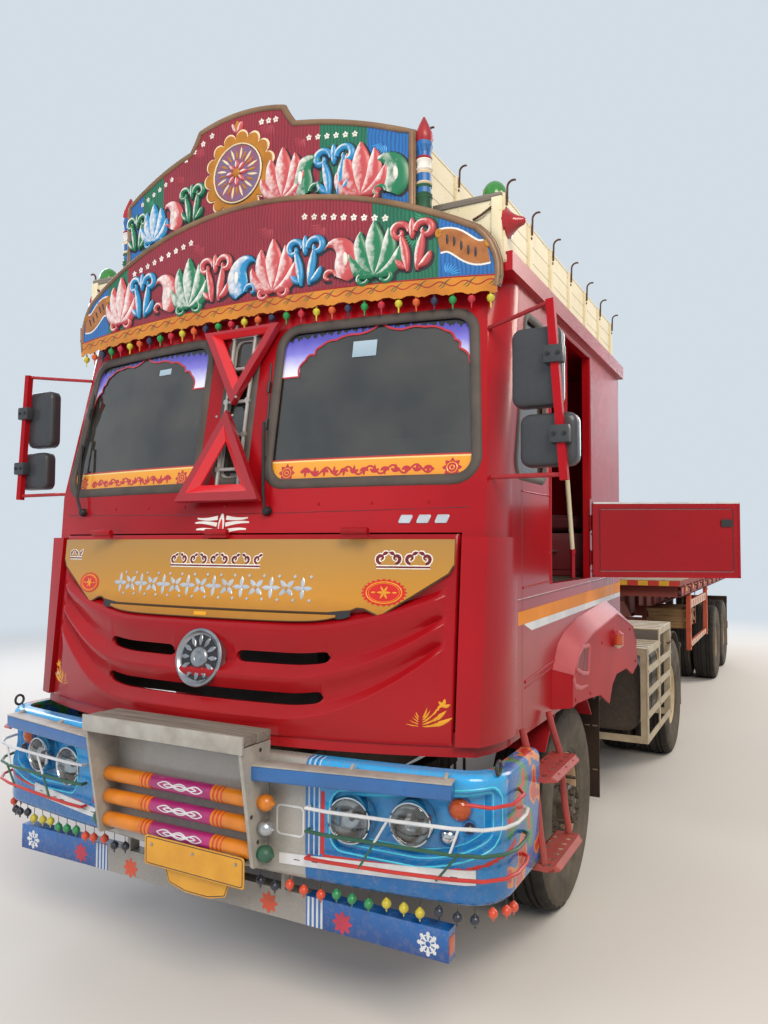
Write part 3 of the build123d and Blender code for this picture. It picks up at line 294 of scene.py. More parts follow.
def box(low, high, bevel=0.0):
    """A block between two opposite corners with chamfered edges."""
    low, high = zip(*(sorted(pair) for pair in zip(low, high)))
    made = bmesh.new()
    bmesh.ops.create_cube(made, size=1.0)
    size = [high[i] - low[i] for i in range(3)]
    for v in made.verts:
        v.co = Vector([low[i] + (v.co[i] + 0.5) * size[i] for i in range(3)])
    if bevel:
        bmesh.ops.bevel(made, geom=list(made.edges), offset=bevel, segments=2, profile=0.6, affect="EDGES")
    made.verts.index_update()
    verts, faces = [v.co.copy() for v in made.verts], [tuple(v.index for v in f.verts) for f in made.faces]
    made.free()
    return verts, faces


def moved(part, matrix):
    """The same part, carried by a matrix."""
    return [matrix @ v for v in part[0]], part[1]


def sided(part, side):
    """A part drawn for the lorry's left side, 1, as it is on that side or, -1, on the other."""
    if side > 0:
        return part
    return [Vector((-v[0], v[1], v[2])) for v in part[0]], [tuple(reversed(f)) for f in part[1]]


def piece(name, parts, body="tractor", smooth=35, replaces=()):
    """Join (part, material) pairs, drawn in lorry millimetres, as one object that rides on a body."""
    mesh = bpy.data.meshes.new(name)
    verts, faces, marks, paints = [], [], [], []
    for (part_verts, part_faces), paint in parts:
        if paint not in paints:
            paints.append(paint)
        start = len(verts)
        verts += [Vector(v) * MM for v in part_verts]
        faces += [tuple(start + i for i in face) for face in part_faces]
        marks += [paints.index(paint)] * len(part_faces)
    mesh.from_pydata(verts, [], faces)
    mesh.polygons.foreach_set("material_index", marks)
    for paint in paints:
        mesh.materials.append(paint)
    made = bmesh.new()
    made.from_mesh(mesh)
    bmesh.ops.remove_doubles(made, verts=made.verts, dist=1e-6)
    bmesh.ops.recalc_face_normals(made, faces=made.faces)
    made.to_mesh(mesh)
    made.free()
    mesh.shade_smooth()
    mesh.set_sharp_from_angle(angle=math.radians(smooth))
    item = bpy.data.objects.new(name, mesh)
    item.location = DATUM
    bpy.context.collection.objects.link(item)
    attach(item, body)
    if replaces:
        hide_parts(*replaces)
    return item


# Painted head boards
# Two bowed boards of waterproof ply over the windscreen, the upper one narrower and stepped. A signwriter
# paints the ground in three bands of brush enamel, combed with darker strokes, and edges it in bronze.
BOARD_BOW_R = 6060
LOWER_BOARD_Y = 85
UPPER_BOARD_Y = 115


def on_board(front_y):
    """Where a point drawn on a head board lies: u across, v up from the ground, w standing out in front."""
    return lambda u, v, w: Vector((u, front_y + BOARD_BOW_R - math.sqrt(BOARD_BOW_R**2 - u * u) - w, v))


on_lower, on_upper = on_board(LOWER_BOARD_Y), on_board(UPPER_BOARD_Y)


def board_ground(name, bands):
    """Brush enamel in upright bands of colour, each (left edge in mm, colour), with combed darker
    strokes."""
    paint, tree = blank_material(name)
    place = node(tree, "TexCoord").outputs["Object"]
    across = node(tree, "SeparateXYZ", {}, {0: place}).outputs[0]
    reach = 1300 * MM
    share = node(tree, "MapRange", {1: DATUM.x - reach, 2: DATUM.x + reach}, {0: across})
    ramp = node(tree, "ValToRGB", {}, {0: share})
    ramp.color_ramp.interpolation = "CONSTANT"
    stops = ramp.color_ramp.elements
    for i, (edge, colour) in enumerate(bands):
        stop = stops[i] if i < 2 else stops.new(1.0)
        stop.position = min(max((edge * MM + reach) / (2 * reach), 0), 1)
        stop.color = linear(colour)
    comb = node(tree, "TexWave", {"Scale": 0.314 / (17 * MM), "Distortion": 5.0, "Detail": 2.0,
        "Detail Scale": 0.6}, {"Vector": place})
    comb_line = node(tree, "MapRange", {1: 0.1, 2: 0.5, 3: 0.62, 4: 1.0}, {0: comb.outputs[1]})
    drift = node(tree, "TexNoise", {"Scale": 1 / (160 * MM), "Detail": 5.0}, {"Vector": place})
    faded = node(tree, "MapRange", {1: 0.3, 2: 0.7, 3: 0.86, 4: 1.08}, {0: drift})
    tone = node(tree, "Math", {"operation": "MULTIPLY"}, {0: comb_line, 1: faded})
    toned = node(tree, "Mix", {"data_type": "RGBA", "blend_type": "MULTIPLY", 0: 1.0}, {6: ramp, 7: tone})
    brush = node(tree, "Bump", {"Strength": 0.25, "Distance": 0.001}, {"Height": comb.outputs[1]})
    skin = node(tree, "BsdfPrincipled", {"Roughness": 0.42, "Coat Weight": 0.15, "Coat Roughness": 0.25},
        {"Base Color": toned.outputs[2], "Normal": brush})
    node(tree, "OutputMaterial", {}, {"Surface": skin})
    return paint


MAROON, LEAF_GREEN, PEACOCK_BLUE = "#8e2433", "#1b6b4e", "#2268ab"
lower_ground = board_ground("lower_board_brush_enamel", ((-1300, PEACOCK_BLUE), (-960, LEAF_GREEN),
    (-800, MAROON), (655, LEAF_GREEN), (948, PEACOCK_BLUE)))
upper_ground = board_ground("upper_board_brush_enamel", ((-1300, PEACOCK_BLUE), (-715, LEAF_GREEN),
    (-560, MAROON), (383, LEAF_GREEN), (614, PEACOCK_BLUE)))
finish("lower_head_board", lower_ground)
finish("upper_head_board", upper_ground)


def circle_arc(start, middle, end, count):
    """Points along the arc of a circle through three (u, v) points."""
    (ax, ay), (bx, by), (cx, cy) = start, middle, end
    d = 2 * (ax * (by - cy) + bx * (cy - ay) + cx * (ay - by))
    ux = ((ax**2 + ay**2) * (by - cy) + (bx**2 + by**2) * (cy - ay) + (cx**2 + cy**2) * (ay - by)) / d
    uy = ((ax**2 + ay**2) * (cx - bx) + (bx**2 + by**2) * (ax - cx) + (cx**2 + cy**2) * (bx - ax)) / d
    radius = math.hypot(ax - ux, ay - uy)
    first, mid, last = (math.atan2(y - uy, x - ux) for x, y in (start, middle, end))
    turn, part = (last - first) % (2 * math.pi), (mid - first) % (2 * math.pi)
    if part > turn:
        turn -= 2 * math.pi
    return [(ux + radius * math.cos(first + turn * i / count),
        uy + radius * math.sin(first + turn * i / count)) for i in range(count + 1)]


def stroke(path, width, place, depth, ribs=2, lift=0.0):
    """A rounded ridge along (u, v) points, as thick paint or a moulding. Its breadth is a number, or
    width(t) with t from 0 at its start to 1 at its end."""
    verts, faces = [], []
    last = len(path) - 1
    for i, (u, v) in enumerate(path):
        (u0, v0), (u1, v1) = path[max(i - 1, 0)], path[min(i + 1, last)]
        length = math.hypot(u1 - u0, v1 - v0) or 1.0
        side_u, side_v = -(v1 - v0) / length, (u1 - u0) / length
        half = (width(i / last) if callable(width) else width) / 2
        for k in range(ribs + 1):
            angle = math.pi * k / ribs
            out, up = half * math.cos(angle), math.sin(angle) * min(depth, half * 1.4) + lift
            verts.append(place(u + side_u * out, v + side_v * out, up))
    for i in range(last):
        for k in range(ribs):
            a = i * (ribs + 1) + k
            faces.append((a, a + 1, a + ribs + 2, a + ribs + 1))
    faces += [tuple(range(ribs + 1)), tuple(reversed(range(last * (ribs + 1), (last + 1) * (ribs + 1))))]
    return verts, faces


def petal(u, v, length, width, turn, bend=0.0, count=10):
    """The path and breadth of a pointed leaf that grows from a point at an angle in degrees and bends
    over."""
    path, angle = [(u, v)], math.radians(turn)
    for _ in range(count):
        u, v = u + math.cos(angle) * length / count, v + math.sin(angle) * length / count
        angle += math.radians(bend) / count
        path.append((u, v))
    return path, lambda t: max(width * math.sin(math.pi * min(t * 0.92 + 0.06, 1.0)) ** 0.8, 1.0)


def curl(u, v, radius, turns, start, hand, width, count=26):
    """The path and breadth of a scroll that winds in to a point, ending in a round eye."""
    path = []
    for i in range(count + 1):
        t = i / count
        angle = math.radians(start) + hand * 2 * math.pi * turns * t
        reach = radius * (1 - 0.82 * t)
        path.append((u + reach * math.cos(angle), v + reach * math.sin(angle)))
    return path, lambda t: width * (0.55 + 0.45 * math.sin(math.pi * min(t + 0.15, 1)))


def relief_with_painted_highlight(name, colour):
    """Signwriter's brush enamel laid thick, white where a stroke faces forward, upward and towards the
    lorry's right, run into the colour round its sides: a painted highlight, and the signwriter's own
    shading as well."""
    paint, tree = blank_material(name)
    place = node(tree, "TexCoord")
    lean = node(tree, "VectorMath", {"operation": "DOT_PRODUCT", 1: (-0.42, -1.0, 0.3)},
        {0: place.outputs["Normal"]})
    lit = node(tree, "Math", {"operation": "MULTIPLY", 1: 0.8}, {0: lean.outputs["Value"]})
    speck = node(tree, "TexNoise", {"Scale": 1 / (22 * MM), "Detail": 5.0},
        {"Vector": place.outputs["Object"]})
    edge = node(tree, "Math", {"operation": "MULTIPLY_ADD", 1: 0.22, 2: -0.11}, {0: speck})
    total = node(tree, "Math", {"operation": "ADD"}, {0: lit, 1: edge})
    ramp = node(tree, "ValToRGB", {}, {0: total})
    stops = ramp.color_ramp.elements
    stops[0].position, stops[0].color = 0.74, linear(colour)
    stops[1].position, stops[1].color = 0.9, linear("#f0ebe4")
    skin = node(tree, "BsdfPrincipled", {"Roughness": 0.38, "Coat Weight": 0.2, "Coat Roughness": 0.2},
        {"Base Color": ramp})
    node(tree, "OutputMaterial", {}, {"Surface": skin})
    return paint


relief_pink = relief_with_painted_highlight("pink_relief_enamel", "#b8484a")
relief_blue = relief_with_painted_highlight("blue_relief_enamel", "#1f83b5")
relief_green = relief_with_painted_highlight("green_relief_enamel", "#15704a")
bronze = enamel("bronze_brush_enamel", "#8d6f52", "#6e5138", 0.4, metallic=0.15, patch_mm=200, dust=0.1)
white_enamel = enamel("white_brush_enamel", "#e9e4db", "#d6cec2", 0.4, patch_mm=160, dust=0.2)
dark_line = enamel("dark_outline_enamel", "#20242c", "#2d2226", 0.45, patch_mm=160)

# Board ornament
# Lotus, paisley and scroll motifs in thick shaded enamel fill the two bands, large and set close together.
# Each is a set of raised strokes over a thin dark shadow outline.


def lotus(u, v, size):
    """Five cupped petals, the outer ones leaning out and rising again, over two small curls."""
    marks = []
    for lean, bend, long, wide in ((82, -84, 0.78, 0.27), (-82, 84, 0.78, 0.27), (44, -58, 0.92, 0.34),
            (-44, 58, 0.92, 0.34), (0, 0, 1.0, 0.42)):
        marks.append(petal(u, v, size * long, size * wide, 90 + lean, bend))
    for hand in (-1, 1):
        marks.append(curl(u + hand * size * 0.24, v - size * 0.02, size * 0.13, 0.9,
            200 if hand > 0 else -20, hand, size * 0.1))
    return marks


def paisley(u, v, size, hand):
    """A fat drop whose tip hooks over, on a short curled stalk."""
    path, angle = [(u - hand * size * 0.06, v + size * 0.02)], math.radians(90 + hand * 26)
    for k in range(14):
        path.append((path[-1][0] + math.cos(angle) * size * 0.076,
            path[-1][1] + math.sin(angle) * size * 0.076))
        angle -= hand * math.radians(4 + 1.4 * k)
    body = (path, lambda t: max(size * 0.5 * math.sin(math.pi * min(t + 0.05, 1.0) ** 0.62) ** 0.85, 3.0))
    stalk = curl(u + hand * size * 0.2, v + size * 0.08, size * 0.15, 0.8, 180 if hand > 0 else 0, -hand,
        size * 0.1)
    return [body, stalk]


def seed(u, v, size, hand):
    """The small drop inside a paisley, which stands proud of it."""
    return [petal(u - hand * size * 0.14, v + size * 0.2, size * 0.36, size * 0.13, 90 + hand * 8,
        -hand * 24)]


def scroll_pair(u, v, size):
    """Two tall scrolls back to back with a bud between their heads."""
    marks = []
    for hand in (-1, 1):
        marks += [petal(u + hand * size * 0.09, v, size * 0.76, size * 0.18, 90 - hand * 6, -hand * 10),
            curl(u + hand * size * 0.25, v + size * 0.74, size * 0.2, 1.1, 180 if hand > 0 else 0, -hand,
            size * 0.14), petal(u + hand * size * 0.12, v + size * 0.06, size * 0.38, size * 0.15,
            90 - hand * 62, hand * 52)]
    marks.append(petal(u, v + size * 0.6, size * 0.4, size * 0.15, 90))
    return marks


def motif_row(marks_at, place, depth):
    """Shaded strokes with their dark outlines for a row of (marks, paint)."""
    parts = []
    for marks, paint in marks_at:
        for path, width in marks:
            offset = [(u + 5, v - 6) for u, v in path]
            parts += [
                (stroke(offset, lambda t: width(t) + 15, place, 1.6), dark_line),
                (stroke(path, width, place, depth, lift=1.5, ribs=6), paint)]
    return parts


LOWER_MOTIF_V, LOWER_MOTIF, LOWER_COUNT = 3030, 238, 11
lower_row, seeds = [], []
cycle = (relief_pink, relief_blue, relief_pink, relief_green, relief_pink, relief_blue) * 2
for i in range(LOWER_COUNT):
    u = -838 + 168 * i
    marks = (lotus(u, LOWER_MOTIF_V, LOWER_MOTIF), scroll_pair(u, LOWER_MOTIF_V, LOWER_MOTIF * 0.96),
        paisley(u, LOWER_MOTIF_V, LOWER_MOTIF, 1 if i % 2 else -1))[i % 3]
    lower_row.append((marks, cycle[i]))
    if i % 3 == 2:
        seeds.append((seed(u, LOWER_MOTIF_V, LOWER_MOTIF, 1 if i % 2 else -1), white_enamel))
piece("lower_board_motifs", motif_row(lower_row, on_lower, 13) + motif_row(seeds, on_lower, 20))

UPPER_MOTIF = 236
upper_row, seeds = [], []
spots = ((-752, 3404), (-622, 3424), (-490, 3446), (-352, 3462), (196, 3466), (328, 3450), (460, 3428),
    (592, 3408), (722, 3388))
for i, (u, v) in enumerate(spots):
    size = UPPER_MOTIF * (0.82 if i < 4 else 1.0)
    marks = (scroll_pair(u, v, size), lotus(u, v, size), paisley(u, v, size, 1 if i % 2 else -1))[i % 3]
    upper_row.append((marks, (relief_green, relief_blue, relief_pink)[(i + (i > 3)) % 3]))
    if i % 3 == 2:
        seeds.append((seed(u, v, size, 1 if i % 2 else -1), white_enamel))
piece("upper_board_motifs", motif_row(upper_row, on_upper, 12) + motif_row(seeds, on_upper, 19))

# Feather fans and florets
# Fans of curved strokes, lighter or darker than the ground, fill the coloured ends of both boards, and
# small white florets run in short rows above the motifs.
light_green = enamel("light_green_brush_enamel", "#3f9a72", "#2b7d5b", 0.42, patch_mm=120)
light_blue = enamel("light_blue_brush_enamel", "#4aa0dc", "#2f86c8", 0.42, patch_mm=120)
dull_rose = enamel("rose_brush_enamel", "#a8404c", "#96323f", 0.42, patch_mm=120)


def fan(u, v, size, start, place, paint):
    """Seven curved strokes spread from one point."""
    parts = []
    for k in range(7):
        turn = start + k * 100 / 7
        parts.append((stroke(*petal(u + math.cos(math.radians(turn)) * size * 0.3,
            v + math.sin(math.radians(turn)) * size * 0.3, size * 0.7, size * 0.09, turn, -35, count=6),
            place, 1.2), paint))
    return parts


fans = []
# Each fan: u, v, size, first angle and paint, on the lower board and then on the upper one
for u, v, size, start, paint in ((720, 3215, 70, 200, light_green), (860, 3195, 70, 200, light_green),
        (905, 3250, 60, 160, light_green), (1000, 3190, 75, 250, light_blue),
        (1060, 3160, 70, 190, light_blue), (990, 2990, 60, 20, light_blue),
        (-880, 3240, 60, 200, light_green), (-1010, 3190, 75, 200, light_blue),
        (-1080, 3060, 70, 20, light_blue), (-600, 3260, 60, 190, dull_rose),
        (-250, 3330, 70, 190, dull_rose), (150, 3340, 70, 200, dull_rose), (430, 3300, 70, 190, dull_rose)):
    fans += fan(u, v, size, start, on_lower, paint)
for u, v, size, start, paint in ((700, 3630, 62, 200, light_blue), (540, 3660, 60, 190, light_green),
        (-640, 3660, 60, 190, light_green), (-770, 3600, 55, 190, light_blue),
        (120, 3850, 70, 210, dull_rose), (-300, 3840, 70, 210, dull_rose), (300, 3740, 60, 200, dull_rose),
        (-430, 3730, 60, 210, dull_rose)):
    fans += fan(u, v, size, start, on_upper, paint)
piece("board_feather_fans", fans)


def floret_row(start, end, count, size, place):
    """Five-petalled florets set out evenly from one (u, v) to another."""
    parts = []
    for k in range(count):
        u = start[0] + (end[0] - start[0]) * k / (count - 1)
        v = start[1] + (end[1] - start[1]) * k / (count - 1)
        for turn in range(18, 378, 72):
            aim = math.radians(turn)
            parts.append((stroke(*petal(u + math.cos(aim) * size * 0.1, v + math.sin(aim) * size * 0.1,
                size * 0.52, size * 0.42, turn, count=5), place, 2.0), white_enamel))
    return parts


florets = floret_row((-740, 3270), (-330, 3345), 9, 26, on_lower)
florets += floret_row((330, 3345), (720, 3275), 9, 26, on_lower)
florets += floret_row((330, 3722), (560, 3690), 6, 24, on_upper)
florets += floret_row((-720, 3640), (-500, 3715), 6, 22, on_upper)
florets += floret_row((-400, 3790), (-230, 3866), 4, 26, on_upper)
florets += floret_row((70, 3858), (150, 3850), 3, 26, on_upper)
piece("board_leaf_sprigs", florets)

# Medallion
# A round boss on the upper board: ochre petals edged in cream, a dark rim, and a plain sunburst over a
# lotus.
MEDALLION_U, MEDALLION_V = -60, 3636
ochre = enamel("ochre_brush_enamel", "#b9791c", "#99601a", 0.4, patch_mm=90)
cream_line = enamel("cream_brush_enamel", "#ecd9b4", "#dcc39a", 0.4, patch_mm=120)
plum_disc = enamel("plum_brush_enamel", "#6c5f82", "#8b4a5a", 0.4, patch_mm=60)


def ring_of(count, radius):
    """Evenly spaced angles in degrees and their (u, v) places on a circle round the medallion."""
    places = []
    for k in range(count):
        turn = 360 * k / count
        places.append((turn, MEDALLION_U + radius * math.cos(math.radians(turn)),
            MEDALLION_V + radius * math.sin(math.radians(turn))))
    return places


medallion = []
outline_cream, outline_ochre = [], []
PETALS = 15
for k in range(PETALS * 10):
    t = k / (PETALS * 10)
    swell = abs(math.sin(math.pi * PETALS * t)) ** 0.55
    angle = 2 * math.pi * t
    for outline, inner, outer in ((outline_cream, 176, 212), (outline_ochre, 168, 202)):
        reach = inner + (outer - inner) * swell
        outline.append((MEDALLION_U + reach * math.cos(angle), MEDALLION_V + reach * math.sin(angle)))
medallion += [
    (slab(outline_cream, on_upper, 5, 1.5), cream_line),
    (slab(outline_ochre, on_upper, 9, 2.5), ochre)]
for radius, deep, paint in ((146, 12, dark_line), (134, 14, plum_disc)):
    medallion.append((slab([(u, v) for _, u, v in ring_of(48, radius)], on_upper, deep, 2), paint))
rim = [on_upper(u, v, 13) for _, u, v in ring_of(48, 140)]
medallion.append((tube(rim, 4, 6, closed=True), cream_line))
for k, (turn, u, v) in enumerate(ring_of(24, 66)):
    medallion.append((stroke(*petal(u, v, 58 if k % 2 else 44, 13, turn, 12, count=5), on_upper, 5, ribs=4,
        lift=13), cream_line if k % 2 else ochre))
for turn, u, v in ring_of(8, 18):
    medallion.append((stroke(*petal(u, v, 46, 26, turn, count=6), on_upper, 8, lift=13, ribs=6),
        relief_pink))
medallion.append((lathe([(0, 22), (-8, 20), (-14, 12), (-16, 0)], on_upper(MEDALLION_U, MEDALLION_V, 13),
    "Y", 24), ochre))
for turn in (60, 90, 120):
    medallion.append((stroke(*petal(MEDALLION_U - 10, 3836, 62, 34, turn, count=8), on_upper, 9, ribs=6),
        relief_pink if turn != 90 else ochre))
piece("board_medallion", medallion)

# Board edging, scroll ribbons and finials
# Half-round bronze moulding follows both arches. A small painted ribbon, left blank, rolls over at each end
# of the lower board. The turned wooden finials are ringed in red, cream and green.
edging = []
CREST = (-348, 232)
lower_arch = (circle_arc((1200, 2940), (1195, 3080), (1120, 3190), 6) + circle_arc((1120, 3190), (0, 3465),
    (-1120, 3190), 40)[1:] + circle_arc((-1120, 3190), (-1195, 3080), (-1200, 2940), 6)[1:])
upper_arch = [(830, 3300)] + circle_arc((830, 3655), (545, 3752), (CREST[1] + 18, 3815), 12)
upper_arch += circle_arc((CREST[1] + 18, 3815), (CREST[1] - 8, 3850), (CREST[1] - 40, 3905), 4)[1:]
upper_arch += circle_arc((CREST[1] - 40, 3905), (sum(CREST) / 2, 3935), (CREST[0] + 40, 3905), 14)[1:]
upper_arch += circle_arc((CREST[0] + 40, 3905), (CREST[0] + 8, 3850), (CREST[0] - 18, 3815), 4)[1:]
upper_arch += circle_arc((CREST[0] - 18, 3815), (-600, 3752), (-830, 3655), 12)[1:] + [(-830, 3300)]
for arch, place in ((lower_arch, on_lower), (upper_arch, on_upper)):
    inset = [(u * 0.992, v - 8) for u, v in arch]
    edging += [
        (stroke(inset, 26, place, 9, ribs=6), bronze),
        (tube([place(u, v, -15) for u, v in arch], 9, 8), bronze)]
piece("board_bronze_edging", edging, smooth=50)

tawny = enamel("tawny_brush_enamel", "#b0713a", "#8e5226", 0.42, patch_mm=60)
ribbons = []
for side in (-1, 1):
    body = [(side * (955 + 205 * t), 3142 - 62 * t + 16 * math.sin(2 * math.pi * t))
        for t in [i / 14 for i in range(15)]]
    ribbons += [
        (stroke(body, 108, on_lower, 3.0), white_enamel),
        (stroke(body, 92, on_lower, 3.5, lift=1.5), tawny)]
    for u, v in (body[0], body[-1]):
        roll = [(u + side * 8 * math.cos(a), v + 34 + 13 * math.sin(a))
            for a in [2 * math.pi * k / 12 for k in range(13)]]
        ribbons.append((stroke(roll, 16, on_lower, 6, ribs=4, lift=2), ochre))
    for k in range(5):
        u, v = body[3 + 2 * k]
        ribbons.append((stroke(*petal(u - side * 8, v - 18, 42, 13, 78 if side > 0 else 102, 30, count=6),
            on_lower, 3, ribs=4, lift=4), dark_line))
piece("board_scroll_ribbons", ribbons)

red_brush = enamel("red_brush_enamel", "#a8262b", "#8c1c24", 0.38, patch_mm=90)
green_brush = enamel("bottle_green_brush_enamel", "#2c5e3b", "#1f4a31", 0.4, patch_mm=90)
finials = []
for side in (-1, 1):
    foot = (side * 862, 214.4, 0)
    turned = ((3270, 3370, 36, green_brush), (3370, 3420, 34, green_brush), (3420, 3480, 33, cream_line),
        (3480, 3530, 35, white_enamel), (3530, 3600, 33, red_brush))
    for low, high, radius, paint in turned:
        profile = [(low, 0), (low, radius), (low + 6, radius + 4), (low + 14, radius - 2),
            (high - 14, radius - 2), (high - 6, radius + 3), (high, radius), (high, 0)]
        finials.append((lathe(profile, foot, "Z", 20), paint))
    finials += [
        (lathe([(3600, 0), (3600, 30), (3622, 40), (3650, 36), (3690, 20), (3722, 5), (3725, 0)], foot, "Z",
            20), red_brush),
        (lathe([(3035, 0), (3035, 30), (3270, 30), (3270, 0)], foot, "Z", 20), green_brush),
        (box((side * 862 - 45, 186, 3036), (side * 862 + 45, 246, 3050), 3), green_brush)]
piece("board_finials", finials)

# Scalloped border and hanging lamps
# A sheet-metal valance in orange enamel runs under the lower board, its edge cut in cusps, with a wavy red
# line and pairs of green leaves. Coloured plastic bulbs hang from it in a fixed order.
orange_valance = enamel("orange_brush_enamel", "#c9801f", "#b2691a", 0.36, patch_mm=140, dust=0.1,
    dust_top_z=5.0)
VALANCE_HALF, CUSP_PITCH = 1196, 104


def valance_rise(u):
    """How far the valance follows the board's arch, highest at the centreline."""
    return 26 * (1 - (u / VALANCE_HALF) ** 2)


valance = []
steps = 184
low_edge, high_edge = [], []
for k in range(steps + 1):
    u = -VALANCE_HALF + 2 * VALANCE_HALF * k / steps
    phase = (u / CUSP_PITCH) % 1.0
    cusp = 13 * (1 - abs(2 * phase - 1)) ** 0.5 + 7 * abs(math.cos(3 * math.pi * phase)) ** 3
    low_edge.append((u, 2918 + valance_rise(u) - cusp))
    high_edge.append((u, 2976 + valance_rise(u)))
verts, faces = [], []
for w in (6, 3):
    verts += [on_lower(u, v, w) for u, v in low_edge] + [on_lower(u, v, w) for u, v in high_edge]
count = steps + 1
for k in range(steps):
    faces += [
        (k, k + 1, count + k + 1, count + k),
        (2 * count + k + 1, 2 * count + k, 3 * count + k, 3 * count + k + 1),
        (k + 1, k, 2 * count + k, 2 * count + k + 1),
        (count + k, count + k + 1, 3 * count + k + 1, 3 * count + k)]
faces += [(0, count, 3 * count, 2 * count), (count - 1, 3 * count - 1, 4 * count - 1, 2 * count - 1)]
valance.append(((verts, faces), orange_valance))
wave = [(u, 2950 + valance_rise(u) + 10 * math.sin(2 * math.pi * u / CUSP_PITCH))
    for u in [-1185 + 2370 * k / 230 for k in range(231)]]
valance += [
    (stroke(wave, 6.5, on_lower, 2, lift=5.5), red_brush),
    (stroke(high_edge, 8, on_lower, 3, lift=5), red_brush)]
for k in range(23):
    u = -1150 + CUSP_PITCH * k
    for du, dv, turn in ((24, -16, 25), (34, -24, 25), (70, 16, 205), (80, 24, 205)):
        valance.append((stroke(*petal(u + du, 2950 + valance_rise(u) + dv * 0.8, 34, 6.5, turn, 40,
            count=4), on_lower, 1.5, lift=5.5), green_brush))
piece("scalloped_valance", valance)


def moulded_plastic(name, colour, shade, roughness=0.28, glow=0.12):
    """Clear-tinted moulded plastic, such as bulbs and beads: glossy, with some light passing through."""
    plastic, tree = blank_material(name)
    place = node(tree, "TexCoord").outputs["Object"]
    mottle = node(tree, "TexNoise", {"Scale": 1 / (18 * MM), "Detail": 3.0}, {"Vector": place})
    body = node(tree, "Mix", {"data_type": "RGBA", 6: linear(colour), 7: linear(shade)}, {0: mottle})
    skin = node(tree, "BsdfPrincipled", {"Roughness": roughness, "Subsurface Weight": glow,
        "Subsurface Radius": (0.01, 0.01, 0.01), "Coat Weight": 0.3}, {"Base Color": body.outputs[2]})
    node(tree, "OutputMaterial", {}, {"Surface": skin})
    return plastic


bulb_paints = [moulded_plastic(f"{name}_bulb_plastic", colour, shade) for name, colour,
    shade in (("yellow", "#d8cf3c", "#b8a92c"), ("orange", "#e0652c", "#c04f20"),
    ("navy", "#2a3150", "#20263f"), ("green", "#1f9a4c", "#167a3a"), ("red", "#c8283a", "#a81e30"))]
bulbs = []
for k in range(31):
    u = -1162 + 77.6 * k
    top = on_lower(u, 2912 + valance_rise(u), -8)
    profile = [(0, 0), (-2, 5), (-12, 5), (-15, 13), (-25, 17), (-36, 14), (-43, 6), (-46, 3.5), (-66, 2.5),
        (-68, 0)]
    bulbs += [
        (lathe(profile, top, "Z", 12), bulb_paints[k % 5]),
        (tube([top + Vector((0, 0, 18)), top], 1.8, 5), dark_line)]
piece("hanging_bulbs", bulbs)

# Windscreen
# Two wide panes and a narrow middle one of laminated glass, held in grey-brown rubber gaskets that are
# rolled round their edges. Tinted greenish glass, clean enough to mirror the sky, with the cab dim behind.
# Each level of the front: height, half width, y at the centre, y at the ends
FRONT_LEVELS = ((1080, 1165, -216, 20), (2127, 1188, -10, 100), (3000, 1128, 140, 275))
GLASS_IN = -12.5


def on_front(u, v, w):
    """A point on the cab's bowed front: u across, v up from the ground, w standing out in front."""
    low, high = FRONT_LEVELS[:2] if v < FRONT_LEVELS[1][0] else FRONT_LEVELS[1:]
    t = (v - low[0]) / (high[0] - low[0])
    half, centre_y, end_y = (low[i] + (high[i] - low[i]) * t for i in (1, 2, 3))
    sag = end_y - centre_y
    bow_r = (half**2 + sag**2) / (2 * sag)
    return Vector((u, centre_y + bow_r - math.sqrt(bow_r**2 - u * u) - w, v))


def rounded(corners, radius, count=8):
    """An outline of (u, v) corners with each corner turned by an arc."""
    outline = []
    for i, corner in enumerate(corners):
        here = Vector(corner)
        back = (Vector(corners[i - 1]) - here).normalized()
        on = (Vector(corners[(i + 1) % len(corners)]) - here).normalized()
        half = back.angle(on) / 2
        centre = here + (back + on).normalized() * radius / math.sin(half)
        first, last = (here + way * radius / math.tan(half) - centre for way in (back, on))
        start = math.atan2(first.y, first.x)
        turn = (math.atan2(last.y, last.x) - start + math.pi) % (2 * math.pi) - math.pi
        for k in range(count + 1):
            angle = start + turn * k / count
            outline.append((centre.x + radius * math.cos(angle), centre.y + radius * math.sin(angle)))
    return outline


def ring_path(u, v, radius, count):
    """Points round a circle, which go on over its start."""
    angles = [2 * math.pi * k / count for k in range(count + 2)]
    return [(u + radius * math.cos(a), v + radius * math.sin(a)) for a in angles]


def oblong(u0, v0, u1, v1):
    """The four corners of an upright oblong between two (u, v) corners."""
    return [(u0, v0), (u1, v0), (u1, v1), (u0, v1)]


def divided(outline, longest=40, closed=False):
    """The same outline with its long stretches divided, so that it can follow a bowed face."""
    points = []
    for i, (u, v) in enumerate(outline):
        if i == len(outline) - 1 and not closed:
            points.append((u, v))
            break
        u1, v1 = outline[(i + 1) % len(outline)]
        count = max(1, math.ceil(math.hypot(u1 - u, v1 - v) / longest))
        points += [(u + (u1 - u) * k / count, v + (v1 - v) * k / count) for k in range(count)]
    return points


def flipped(outline):
    """The same outline on the lorry's other side."""
    return [(-u, v) for u, v in reversed(outline)]


